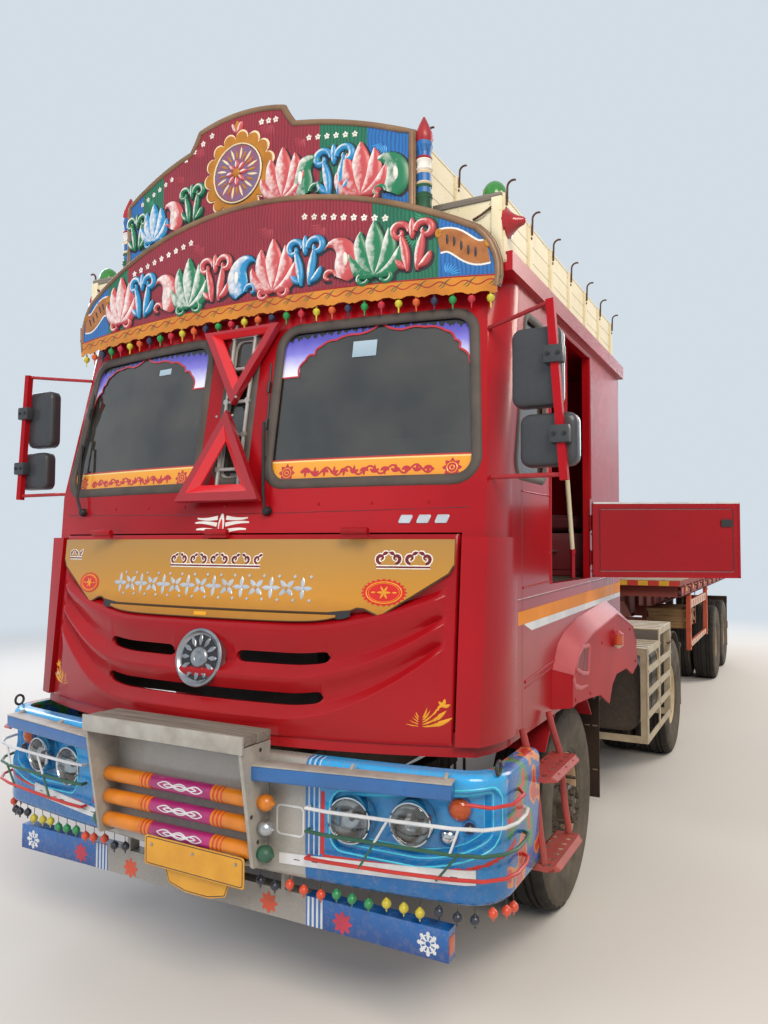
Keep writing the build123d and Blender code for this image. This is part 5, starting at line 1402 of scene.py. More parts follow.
# Front bumper
# A deep pressed-steel channel that wraps both corners, sprayed azure outboard and grey-white in the middle,
# with a stepped lamp pocket pressed into each end. Stripes, borders and corner patches are brushed on by
# hand.
BUMPER_ROLL, FACE_LOW, FACE_TOP = 30, 630, 1030
ROLL_LONG = BUMPER_ROLL * math.pi / 2
plan_points = [(x, -250 + 100 * (x / 1190) ** 2) for x in [34 * k for k in range(36)]]
plan_points += [(1218, -140), (1245, -125), (1268, -106), (1286, -84), (1300, -60), (1310, -32), (1317, 0)]
plan_points += [(1317, 50 * k) for k in range(1, 8)]
plan_runs = [0.0]
for (x0, y0), (x1, y1) in zip(plan_points, plan_points[1:]):
    plan_runs.append(plan_runs[-1] + math.hypot(x1 - x0, y1 - y0))


def on_bumper(s, t, w):
    """A point of the bumper: s along its plan from the middle, t up its rolled section, w standing out from
    it."""
    far = min(abs(s), plan_runs[-1] - 0.01)
    k = next(i for i in range(len(plan_runs) - 1) if plan_runs[i + 1] > far)
    share = (far - plan_runs[k]) / (plan_runs[k + 1] - plan_runs[k])
    ahead = [Vector(plan_points[min(k + step + 1, len(plan_points) - 1)])
        - Vector(plan_points[max(k + step - 1, 0)] if k + step else (-34, plan_points[1][1]))
        for step in (0, 1)]
    way = ahead[0].normalized().lerp(ahead[1].normalized(), share).normalized()
    spot = Vector(plan_points[k]).lerp(Vector(plan_points[k + 1]), share)
    over = t - FACE_TOP if t > FACE_TOP else min(t - FACE_LOW, 0)
    turn = max(min(over, ROLL_LONG), -ROLL_LONG) / BUMPER_ROLL
    out = BUMPER_ROLL * (math.cos(turn) - 1) - max(abs(over) - ROLL_LONG, 0) + w * math.cos(turn)
    z = (FACE_TOP if over > 0 else FACE_LOW if over < 0 else t) + (BUMPER_ROLL + w) * math.sin(turn)
    spot += Vector((way.y, -way.x)) * out
    return Vector((spot.x if s >= 0 else -spot.x, spot.y, z))


def two_tone_enamel(name, middle, colour, light, low_x, high_x, z_low, z_high, patches=False):
    """Sprayed enamel in two colours that part at two lines across, lighter towards the top, dusty, with
    repairs."""
    paint, tree = blank_material(name)
    place = node(tree, "TexCoord").outputs["Object"]
    spot = node(tree, "SeparateXYZ", {}, {0: place})
    drift = node(tree, "TexNoise", {"Scale": 1 / (300 * MM), "Detail": 5.0}, {"Vector": place})
    height = node(tree, "MapRange", {1: z_low * MM, 2: z_high * MM}, {0: spot.outputs[2]})
    sway = node(tree, "Math", {"operation": "MULTIPLY_ADD", 1: 0.5, 2: -0.25}, {0: drift})
    level = node(tree, "Math", {"operation": "ADD", "use_clamp": True}, {0: height, 1: sway})
    outer = node(tree, "Mix", {"data_type": "RGBA", 6: linear(colour), 7: linear(light)}, {0: level})
    shown = outer.outputs[2]
    if patches:
        cells = node(tree, "TexNoise", {"Scale": 1 / (190 * MM), "Detail": 2.0}, {"Vector": place})
        ramp = node(tree, "ValToRGB", {}, {0: cells})
        ramp.color_ramp.interpolation = "CONSTANT"
        marks = ramp.color_ramp.elements
        for i, (position, dab) in enumerate(((0.0, "#b8352b"), (0.38, "#2c7f4c"), (0.45, "#0f62a4"),
                (0.56, "#cf7a2c"), (0.6, "#b8352b"))):
            mark = marks[i] if i < 2 else marks.new(1.0)
            mark.position, mark.color = position, linear(dab)
        at_end = node(tree, "MapRange", {1: -0.035, 2: -0.02}, {0: spot.outputs[1]})
        dabbed = node(tree, "Mix", {"data_type": "RGBA"}, {0: at_end, 6: shown, 7: ramp})
        shown = dabbed.outputs[2]
    right = node(tree, "Math", {"operation": "LESS_THAN", 1: high_x * MM}, {0: spot})
    left = node(tree, "Math", {"operation": "GREATER_THAN", 1: low_x * MM}, {0: spot})
    inside = node(tree, "Math", {"operation": "MULTIPLY"}, {0: right, 1: left})
    whole = node(tree, "Mix", {"data_type": "RGBA", 7: linear(middle)}, {0: inside, 6: shown})
    fine = node(tree, "TexNoise", {"Scale": 1 / (40 * MM), "Detail": 7.0, "Roughness": 0.7},
        {"Vector": place})
    dust = node(tree, "MapRange", {1: 0.46, 2: 0.9, 3: 0.0, 4: 0.4}, {0: fine})
    film = node(tree, "Mix", {"data_type": "RGBA", 7: linear("#94846e")}, {0: dust, 6: whole.outputs[2]})
    rough = node(tree, "MapRange", {1: 0.0, 2: 0.4, 3: 0.2, 4: 0.6}, {0: dust})
    bump = node(tree, "Bump", {"Strength": 0.15, "Distance": 0.001}, {"Height": fine})
    skin = node(tree, "BsdfPrincipled", {"Coat Weight": 0.4, "Coat Roughness": 0.08},
        {"Base Color": film.outputs[2], "Roughness": rough, "Normal": bump})
    node(tree, "OutputMaterial", {}, {"Surface": skin})
    return paint


bumper_enamel = two_tone_enamel("azure_and_grey_enamel", "#9d9a93", "#06609f", "#2a9fdc", -520, 575, 640,
    1050, True)
azure_enamel = enamel("azure_enamel", "#0962a6", "#085490", 0.25, coat=0.4, patch_mm=200, dust=0.2,
    dust_top_z=2.0)
cyan_line = enamel("cyan_line_enamel", "#4fd0e6", "#3bbcd8", 0.35, patch_mm=90, dust=0.05)
white_line = enamel("white_line_enamel", "#d6d8d8", "#bfc2c4", 0.4, patch_mm=80, dust=0.15)
red_line = enamel("red_line_enamel", "#c42a26", "#b0221f", 0.35, patch_mm=80, dust=0.2)
green_line = enamel("green_line_enamel", "#1d5a45", "#174a39", 0.4, patch_mm=80, dust=0.2)
black_steel_and_slot_shade = enamel("black_steel_enamel_and_slot_shade", "#1e1f20", "#161718", 0.5, patch_mm=80, dust=0.4)

# The pocket's ends along the bumper, its corner radius, and its steps: how far in from its edge, how deep
POCKET_FROM, POCKET_TO, POCKET_TURN = 684, 1338, 46
POCKET_STEPS = ((0, 0), (6, 20), (24, 25), (32, 58), (60, 60))


def pocket_edges(s):
    """The low and high edge of a lamp pocket at a place along the bumper."""
    far = min(max(abs(s), POCKET_FROM), POCKET_TO)
    low = 742 - 14 * (far - POCKET_FROM) / 332 if far < 1016 else 728 + 100 * ((far - 1016) / 322) ** 1.6
    high = 950 + 66 * (far - POCKET_FROM) / (POCKET_TO - POCKET_FROM)
    near = min(far - POCKET_FROM, POCKET_TO - far)
    if near < POCKET_TURN:
        rounding = POCKET_TURN - math.sqrt(POCKET_TURN**2 - (POCKET_TURN - near) ** 2)
        low, high = low + rounding, high - rounding
    return low, high


half = [0, 60, 120, 180, 240, 300, 360, 420, 480, 540, 600, 650]
half += [POCKET_FROM + step for step, _ in POCKET_STEPS] + [770, 810, 860, 910, 960, 1010, 1060, 1110, 1160]
half += [1195, 1220, 1245, 1262] + [POCKET_TO - step for step, _ in reversed(POCKET_STEPS)]
half += [1362, 1390, 1420, 1470, 1530, 1600, plan_runs[-1] - 0.02]
half = sorted(set(half))
bumper_columns = [-s for s in reversed(half[1:])] + half
pocket_rows = len(POCKET_STEPS) * 2
edge_turns = [ROLL_LONG * k / 5 for k in range(1, 6)] + [ROLL_LONG + 42]
row_count = 2 * len(edge_turns) + 2 + pocket_rows


def bumper_cell(i, k):
    """The height up the section and the depth of one corner of the bumper's mesh."""
    s = bumper_columns[i]
    rolls = len(edge_turns)
    if k < rolls:
        return FACE_LOW - edge_turns[rolls - 1 - k], 0
    if k == rolls:
        return FACE_LOW, 0
    if k >= row_count - rolls:
        return FACE_TOP + edge_turns[k - row_count + rolls], 0
    if k == row_count - rolls - 1:
        return FACE_TOP, 0
    k -= rolls + 1
    low, high = pocket_edges(s)
    rank = min(k, pocket_rows - 1 - k)
    step = POCKET_STEPS[rank][0]
    squeeze = min(1.0, (high - low) / 130)
    t = low + step * squeeze if k < pocket_rows / 2 else high - step * squeeze
    far = min(abs(s) - POCKET_FROM, POCKET_TO - abs(s))
    across = sum(1 for reach, _ in POCKET_STEPS[1:] if far >= reach - 0.01)
    return t, POCKET_STEPS[min(rank, across)][1] if far > 0 else 0


def bumper_face(i, k):
    """A point on the bumper's outer face."""
    t, deep = bumper_cell(i, k)
    return on_bumper(bumper_columns[i], t, -deep)


def bumper_back(i, k):
    """A point on the bumper's inner face."""
    t, deep = bumper_cell(i, k)
    return on_bumper(bumper_columns[i], t, -deep - 12)


bumper = [(sheet(len(bumper_columns), row_count, bumper_face, bumper_back, lambda i, k: True),
    bumper_enamel)]
for side in (-1, 1):

    def on_end(s, t, w):
        """A point on one end of the bumper."""
        return on_bumper(side * s, t, w)

    for inset, deep, wide in ((-7, 1, 7), (15, -23, 8), (36, -59, 6)):
        ring = []
        for s in [POCKET_FROM + inset + (POCKET_TO - POCKET_FROM - 2 * inset) * k / 40 for k in range(41)]:
            low, high = pocket_edges(min(max(s, POCKET_FROM), POCKET_TO))
            ring.append((s, low + inset, high - inset))
        line = [(s, low) for s, low, _ in ring] + [(s, high) for s, _, high in reversed(ring)]
        line += [line[0], line[1]]
        bumper.append((stroke(line, wide, on_end, 2, lift=deep), cyan_line))
    stripes = [578 + 11 * k for k in range(6)] if side > 0 else [505 + 11 * k for k in range(5)]
    for k, s in enumerate(stripes):
        run = [(s, 706), (s, 860), (s, FACE_TOP)] + [(s, FACE_TOP + 15 * j) for j in range(1, 6)]
        bumper.append((stroke(run, 5 if k % 2 else 8, on_end, 1, lift=0.2),
            white_line if k % 2 else azure_enamel))
    run = [(647, 712), (647, 800), (648, 946)] if side > 0 else [(558, 720), (558, 850)]
    bumper.append((stroke(run, 17, on_end, 1.2, lift=0.2), red_line))
    run = [(648 + (1450 - 648) * k / 24, 706 + 20 * k / 24 + 70 * max(0, (k - 13) / 11) ** 1.4)
        for k in range(25)]
    bumper.append((stroke(run, lambda t: 12 + 22 * max(0, t - 0.62), on_end, 1.2, lift=0.2), red_line))
    # the ring bolt on the shoulder, and the slotted aluminium strip along the foot
    bolt = [on_end(1330, 1062, 0) + Vector((0, 0, 24 + 24 * math.sin(a))) + Vector((side * 10,
        -24 * math.cos(a), 0)) for a in [2 * math.pi * k / 16 for k in range(16)]]
    bumper.append((tube(bolt, 6, 8, closed=True), black_steel_and_slot_shade))
    first, last = (462, 1238) if side > 0 else (448, 1010)
    columns = [(first + (last - first) * k / 20, 652 + 1.5 * k, 692 + 2.1 * k) for k in range(21)]
    if side < 0:
        columns.reverse()
    bumper.append((strip(columns, on_end, 5, 0.5), white_line))
    # its slots: black strokes painted as the shade in them, with no holes cut
    for k in range(2, 20, 2):
        s, low, high = columns[k]
        bumper.append((stroke([(s - 13, (low + high) / 2), (s + 13, (low + high) / 2)], 5, on_end, 0.8,
            lift=4.8), black_steel_and_slot_shade))
panel = rounded(oblong(448, 762, 565, 872), 18)
bumper.append((stroke(panel + panel[:2], 9, on_bumper, 3, ribs=4, lift=-1), white_line))
piece("bumper_pressing", bumper, smooth=40, replaces=("front_bumper",))

# Lamps
# Round sealed lamps with faceted mirror reflectors behind clear glass in bright rings, an amber indicator
# and two small marker lamps in each pocket. On the roof, a green dome and a red cone lamp at each corner.
lamp_chrome = enamel("lamp_chrome", "#d5d8da", "#c2c6c9", 0.12, metallic=1.0, patch_mm=40, dust=0.1)
lamp_glass = window_glass("clear_lamp_glass", "#e4eaec", 0.04)


def lens_plastic(name, colour, shade):
    """Moulded ribbed lens: clear acrylic over its own colour, bright where light gathers in it."""
    return moulded_plastic(name, colour, shade, roughness=0.15, glow=0.25)


amber_lens = lens_plastic("amber_lens_acrylic", "#c85a1e", "#a8431a")
red_lens = lens_plastic("red_lens_acrylic", "#b3151c", "#8e1016")
green_lens = lens_plastic("green_lens_acrylic", "#3f8f3a", "#2f742e")
dark_lens = lens_plastic("dark_lens_acrylic", "#30343c", "#24272d")


def facing(s, t, w):
    """The matrix that stands a part, drawn along -Y, on the bumper's face."""
    here, out = on_bumper(s, t, w), on_bumper(s, t, w + 10)
    turn = Vector((0, -1, 0)).rotation_difference(out - here).to_matrix().to_4x4()
    return Matrix.Translation(here) @ turn


lamps = []
for side in (-1, 1):
    for x, z, radius in ((754, 851, 90), (996, 867, 84)):
        spot = facing(side * (x + 2), z, 0)
        # its bright ring, faceted reflector, bulb, lens and the cup behind
        for profile, sides, paint in (([(58, radius * 0.9), (58, radius), (6, radius), (-4, radius - 4),
                (-5, radius - 9), (0, radius - 13), (6, radius - 14)], 40, lamp_chrome),
                ([(6, radius - 13), (24, radius * 0.7), (40, radius * 0.45), (50, radius * 0.2), (52, 0)],
                16, lamp_chrome), ([(50, 0), (50, 12), (26, 12), (20, 8), (18, 0)], 12, dark_lens),
                ([(2, radius - 13), (-4, radius * 0.75), (-9, radius * 0.4), (-11, 0)], 40, lamp_glass),
                ([(58, radius), (70, radius * 0.8), (74, 0)], 24, black_steel_and_slot_shade)):
            lamps.append((moved(lathe(profile, (0, 0, 0), "Y", sides), spot), paint))
    for s, z, radius, paint in ((1172, 925, 40, amber_lens), (1216, 862, 20, dark_lens),
            (1128, 822, 30, lamp_chrome)):
        spot = facing(side * s, z, -60)
        dome = [(2, 0), (2, radius), (-14, radius), (-24, radius * 0.82), (-31, radius * 0.45), (-33, 0)]
        lamps.append((moved(lathe(dome, (0, 0, 0), "Y", 24), spot), paint))
        base = [(1, radius + 6), (-8, radius + 6), (-10, radius)]
        lamps.append((moved(lathe(base, (0, 0, 0), "Y", 24), spot), azure_enamel))
    dome = [(0, 0), (0, 58), (10, 60), (12, 54), (45, 49), (66, 36), (78, 20), (85, 0)]
    lamps.append((lathe(dome, (side * 1140, 330, 3345), "Z", 24), green_lens))
    cone = [(0, 0), (0, 62), (18, 62), (22, 54), (30, 46), (44, 34), (60, 24), (80, 17), (90, 8), (90, 0)]
    cone = sided(lathe(cone, (0, 0, 0), "X", 24), side)
    lamps.append((moved(cone, Matrix.Translation((side * 1190, 320, 3230))), red_lens))
piece("lamp_set", lamps, smooth=32, replaces=("lamps",))

# Bumper rack
# Two steel side plates carry a weathered plank and three turned bars painted orange and magenta. A blue
# folded visor shades each pair of lamps, and thin rods bent round the corners guard them.
BAR_Y, BAR_R = -297, 31


def weathered_wood(name, colour, shade, grain_axis, ring_mm=14):
    """Bare sawn timber gone grey: long grain, dark checks along it, and a dry rough surface."""
    wood, tree = blank_material(name)
    place = node(tree, "TexCoord").outputs["Object"]
    along = [1 / (ring_mm * MM)] * 3
    along[grain_axis] = 1 / (ring_mm * 30 * MM)
    laid = node(tree, "Mapping", {"Scale": along}, {"Vector": place})
    grain = node(tree, "TexNoise", {"Scale": 1.0, "Detail": 6.0, "Roughness": 0.6}, {"Vector": laid})
    drift = node(tree, "TexNoise", {"Scale": 1 / (450 * MM), "Detail": 3.0}, {"Vector": place})
    both = node(tree, "Math", {"operation": "MULTIPLY_ADD", 1: 0.5}, {0: drift, 2: grain})
    band = node(tree, "MapRange", {1: 0.5, 2: 0.98}, {0: both})
    tint = node(tree, "Mix", {"data_type": "RGBA", 6: linear(shade), 7: linear(colour)}, {0: band})
    checks = node(tree, "MapRange", {1: 0.3, 2: 0.36, 3: 0.8, 4: 0.0}, {0: grain})
    split = node(tree, "Mix", {"data_type": "RGBA", 7: linear("#2b2520")}, {0: checks, 6: tint.outputs[2]})
    bump = node(tree, "Bump", {"Strength": 0.5, "Distance": 0.002}, {"Height": grain})
    skin = node(tree, "BsdfPrincipled", {"Roughness": 0.85}, {"Base Color": split.outputs[2],
        "Normal": bump})
    node(tree, "OutputMaterial", {}, {"Surface": skin})
    return wood


def on_flank(side, face_x):
    """Where a point drawn on one side of the lorry lies: y along, z up, w standing out from its face."""
    return lambda y, z, w: Vector((side * (face_x + w), y, z))


weathered_plank = weathered_wood("weathered_plank", "#8f877c", "#5f564c", 0)
plate_grey = enamel("weathered_grey_enamel", "#a9a69e", "#8f8b82", 0.5, patch_mm=80, dust=0.4, chips=0.04)
bar_orange = enamel("bar_orange_enamel", "#d67d0c", "#c46f08", 0.3, coat=0.3, patch_mm=90, dust=0.2)
bar_magenta = enamel("bar_magenta_enamel", "#a31d6b", "#8d175b", 0.3, coat=0.3, patch_mm=90, dust=0.15)
bar_red = enamel("bar_red_enamel", "#c8402c", "#b43624", 0.3, coat=0.3, patch_mm=90, dust=0.15)
bright_steel = enamel("bright_steel", "#b8bbbe", "#9ea1a4", 0.25, metallic=0.85, patch_mm=60, dust=0.2)
rack = []
for side in (-1, 1):
    outline = rounded([(-420, 1116), (-414, 1075), (-336, 652), (-250, 640), (-232, 1116)], 8, 3)
    on_plate = on_flank(side, 398)
    rack.append((slab(outline, on_plate, 14, 2), plate_grey))
    for u, v in ((-300, 1090), (-310, 745), (-352, 850)):
        rack.append((lathe([(0, 0), (0, 9), (-6, 9), (-7, 0)], (side * 412 + 1, u, v), "X", 6),
            black_steel_and_slot_shade))
rack += [
    (box((-415, -420, 1122), (415, -330, 1160), 4), weathered_plank),
    (box((-415, -327, 1120), (415, -236, 1157), 4), weathered_plank),
    (box((-421, -424, 1096), (421, -412, 1163), 2), plate_grey)]
# Each stretch of a turned bar: where it starts and ends, and its colour
BAR_RUNS = ((-396, -191, bar_orange), (-191, -130, bar_red), (-130, 188, bar_magenta), (188, 248, bar_red),
    (248, 396, bar_orange))
for z in (893, 797, 700):
    for x0, x1, paint in BAR_RUNS:
        turned = [(x0, 0), (x0, BAR_R - 1), (x0 + 2, BAR_R), (x1 - 2, BAR_R), (x1, BAR_R - 1), (x1, 0)]
        rack.append((lathe(turned, (0, BAR_Y, z), "X", 24), paint))
    for x in (-181, -161, -141, 198, 218, 238):
        ring = [(x - 5, BAR_R), (x - 5, BAR_R + 1.6), (x + 5, BAR_R + 1.6), (x + 5, BAR_R)]
        rack.append((lathe(ring, (0, BAR_Y, z), "X", 24), bar_orange))

    def on_bar(u, v, w):
        """A point on the front of a bar: u along it, v round it."""
        turn = v / BAR_R
        return Vector((u, BAR_Y - (BAR_R + w) * math.cos(turn), z + (BAR_R + w) * math.sin(turn)))

    for phase in (0, math.pi):
        for long, swing in ((118, 13), (86, 6)):
            line = [(33 + long * (2 * t - 1), 5 + swing * math.sin(2 * math.pi * 1.5 * t + phase))
                for t in [k / 36 for k in range(37)]]
            rack.append((stroke(line, 5, on_bar, 1, lift=0.2), white_line))
knobs = ((893, bar_orange), (797, bright_steel), (700, green_line))
for z, paint in knobs:
    for side in (-1, 1):
        knob = [(0, 0), (0, 24), (5, 26), (8, 20), (12, 29), (30, 33), (46, 27), (56, 14), (60, 8), (66, 6),
            (70, 0)]
        knob = lathe(knob, (412, BAR_Y, z), "X", 24)
        rack.append((sided(knob, side), paint))
for side in (-1, 1):
    foot, tip = Vector((side * 405, -327, 0)), Vector((side * 1165, -190, 0))
    along = (tip - foot).normalized()
    out = Vector((along.y, -along.x, 0)) * side

    def on_visor(u, v, w):
        """A point of a visor's section, drawn out from its bar and up, at w along it."""
        return foot + along * w + out * u + Vector((0, 0, v))

    long = (tip - foot).length
    section = rounded([(-29, 986), (29, 986), (31, 1042), (-29, 1046)], 7, 4)
    rack.append((slab(section, on_visor, long), azure_enamel))
    section = rounded([(-31, 1045), (32, 1041), (32, 1047), (-31, 1051)], 2, 2)
    rack.append((slab(section, on_visor, long + 2), plate_grey))
    for share in (0.5, 0.96):
        spot = foot + along * long * share
        rack.append((tube([spot + Vector((0, 0, 1046)) - out * 10, spot + Vector((0, 0, 1060)) - out * 40],
            8, 8), plate_grey))
# Each guard rod: its level, its fall towards the corner and its colour
for level, fall, paint in ((888, -2, white_line), (803, 4, green_line), (703, -12, red_line)):
    for side in (-1, 1):
        route = [(600, -262, level), (690, -263, level - fall * 0.2), (960, -232, level - fall * 0.5),
            (1170, -204, level - fall), (1270, -170, level - fall), (1330, -110, level - fall),
            (1352, -40, level - fall), (1352, 60, level - fall), (1340, 120, level - fall),
            (1312, 140, level - fall)]
        route = [(side * x, y, z) for x, y, z in route]
        route.insert(0, (side * 598, -236, level))
        rack.append((tube(route, 7, 8), paint))
for side in (-1, 1):
    for (x0, z0), (x1, z1), paint in (((930, 888), (880, 803), white_line),
            ((880, 803), (820, 703), green_line), ((1190, 888), (1160, 803), white_line),
            ((1190, 803), (1110, 703), green_line)):
        y0, y1 = (-240 + 0.135 * (x - 900) for x in (x0, x1))
        rack.append((tube([(side * x0, y0, z0), (side * x1, y1, z1)], 5, 6), paint))
    route = [(side * x, y, z) for x, y, z in ((1210, -170, 968), (1290, -140, 960), (1345, -70, 962),
        (1352, 40, 968), (1318, 90, 970))]
    rack.append((tube(route, 7, 8), red_line))
piece("bumper_rack_parts", rack, replaces=("bumper_rack",))

# Hanging beads, plates and low beam
# Plastic beads on wires swing under the bumper in threes. Two blank yellow plates are bolted before it. The
# square low beam is painted like the bumper, with flowers and star wheels brushed on.
bead_paints = [moulded_plastic(name, colour, shade) for name, colour,
    shade in (("dark_bead", "#2f3440", "#22262f"), ("orange_bead", "#d9502f", "#c24325"),
    ("green_bead", "#2f8f55", "#267a47"), ("yellow_bead", "#c9bb3a", "#b3a52e"))]
beads = []
order = [0, 0] + [1] * 3 + [2] * 3 + [3] * 3 + [0] * 3 + [1] * 3
for side in (-1, 1):
    for k, paint in enumerate(order):
        s = 365 + 67 * k if k < 14 else 1310 + 62 * (k - 14)
        top = on_bumper(side * s, FACE_LOW - 30, 2) if s < 1240 else on_bumper(side * s, FACE_LOW - 20, 1)
        drop = 30 + 8 * math.sin(2.1 * k)
        lean = Vector((3 * math.sin(1.7 * k), 3 * math.cos(2.9 * k), -drop))
        foot = top + lean
        beads.append((tube([top + Vector((0, 0, 6)), foot], 1.6, 5), black_steel_and_slot_shade))
        drop_shape = [(10, 0), (9, 5), (5, 7)]
        drop_shape += [(-12 + 18 * math.cos(a), 18 * math.sin(a))
            for a in [math.radians(28 + 18 * j) for j in range(8)]]
        drop_shape += [(-31, 4), (-38, 3.5), (-44, 0)]
        beads.append((lathe(drop_shape, foot, "Z", 16), bead_paints[paint]))
piece("hanging_beads", beads, smooth=60)

plate_yellow = enamel("plate_yellow_enamel", "#d89a1c", "#c98a14", 0.35, coat=0.2, patch_mm=90, dust=0.25)
plates = []
for outline, y, deep in (([(-139, 572), (371, 566), (371, 684), (-139, 690)], -336, 3),
        ([(-49, 560), (-30, 508), (60, 486), (180, 486), (262, 508), (281, 560), (281, 640), (-49, 640)],
        -312, 3)):

    def on_plate(u, v, w):
        """A point on a plate's face."""
        return Vector((u, y - w, v))

    shape = rounded(outline, 12, 4)
    plates.append((slab(shape, on_plate, deep, 1), plate_yellow))
    middle = Vector((sum(u for u, _ in outline) / len(outline), sum(v for _, v in outline) / len(outline)))
    inner = [(middle.x + (u - middle.x) * 0.965, middle.y + (v - middle.y) * 0.89) for u, v in shape]
    plates.append((stroke(inner + inner[:2], 4, on_plate, 0.8, lift=deep), black_steel_and_slot_shade))
for x in (-100, 116, 330):
    plates += [
        (box((x - 12, -334, 650), (x + 12, -248, 656), 1), black_steel_and_slot_shade),
        (lathe([(0, 0), (0, 7), (-4, 6), (-5, 0)], (x, -339, 655), "Y", 8), bright_steel),
        (box((x - 12, -330, 600), (x + 12, -309, 660), 1), black_steel_and_slot_shade)]
piece("blank_plates", plates, smooth=30)

beam_enamel = two_tone_enamel("blue_and_grey_beam_enamel", "#8f8c86", "#123f7d", "#1d6bb5", -548 - 218,
    528 - 218, 395, 540)
finish("underrun_beam", beam_enamel)
beam_crimson = enamel("beam_crimson_enamel", "#b81f4a", "#a51a40", 0.4, patch_mm=60, dust=0.3)
beam_orange = enamel("beam_orange_enamel", "#d24a2c", "#bd3f25", 0.4, patch_mm=60, dust=0.3)


def on_beam(u, v, w):
    """A point on the low beam's face."""
    return Vector((u, -150 - w, v))


marks = []
for first in (-630, 528):
    marks.append((slab(oblong(first, 396, first + 80, 507), on_beam, 0.6), azure_enamel))
    for k in range(4):
        u = first + 8 + 20 * k
        marks.append((slab(oblong(u, 396, u + 9, 507), on_beam, 1.2), white_line))
for u, v, paint in ((-722, 442, beam_crimson), (694, 439, beam_crimson), (-406, 433, beam_orange),
        (350, 444, beam_orange)):
    outline = [(u + (36 + 8 * math.cos(8 * a)) * math.cos(a), v + (36 + 8 * math.cos(8 * a)) * math.sin(a))
        for a in [2 * math.pi * k / 64 for k in range(64)]]
    marks.append((slab(outline, on_beam, 1), paint))
for u in (-1052, 1052):
    for reach, wide in ((30, 5), (12, 4)):
        marks.append((stroke(ring_path(u, 445, reach, 32), wide, on_beam, 1), white_line))
    for k in range(8):
        a = math.pi * k / 4
        marks += [
            (stroke(*petal(u + 12 * math.cos(a), 445 + 12 * math.sin(a), 32, 13, 45 * k, count=4), on_beam,
                1.4), white_line),
            (stroke(*petal(u + 30 * math.cos(a), 445 + 30 * math.sin(a), 14, 16, 45 * k, count=4), on_beam,
                1.4), white_line)]
for side in (-1, 1):
    marks.append((box((side * 1133 - 2, -147, 418), (side * 1133 + 2, -97, 482), 1), amber_lens))
piece("beam_ornaments", marks, smooth=40)

# Cab sides
# Flat red panels with a pressed crease, closed by a rubber-framed quarter light. A coach-painted orange
# stripe over a white wedge runs back along the sill, under a thin dark red line painted as the shade of a
# fine crease, with a white pinline over it. A dark red line painted as the shade in the seam runs up the
# front edge.
SIDE_X = 1220
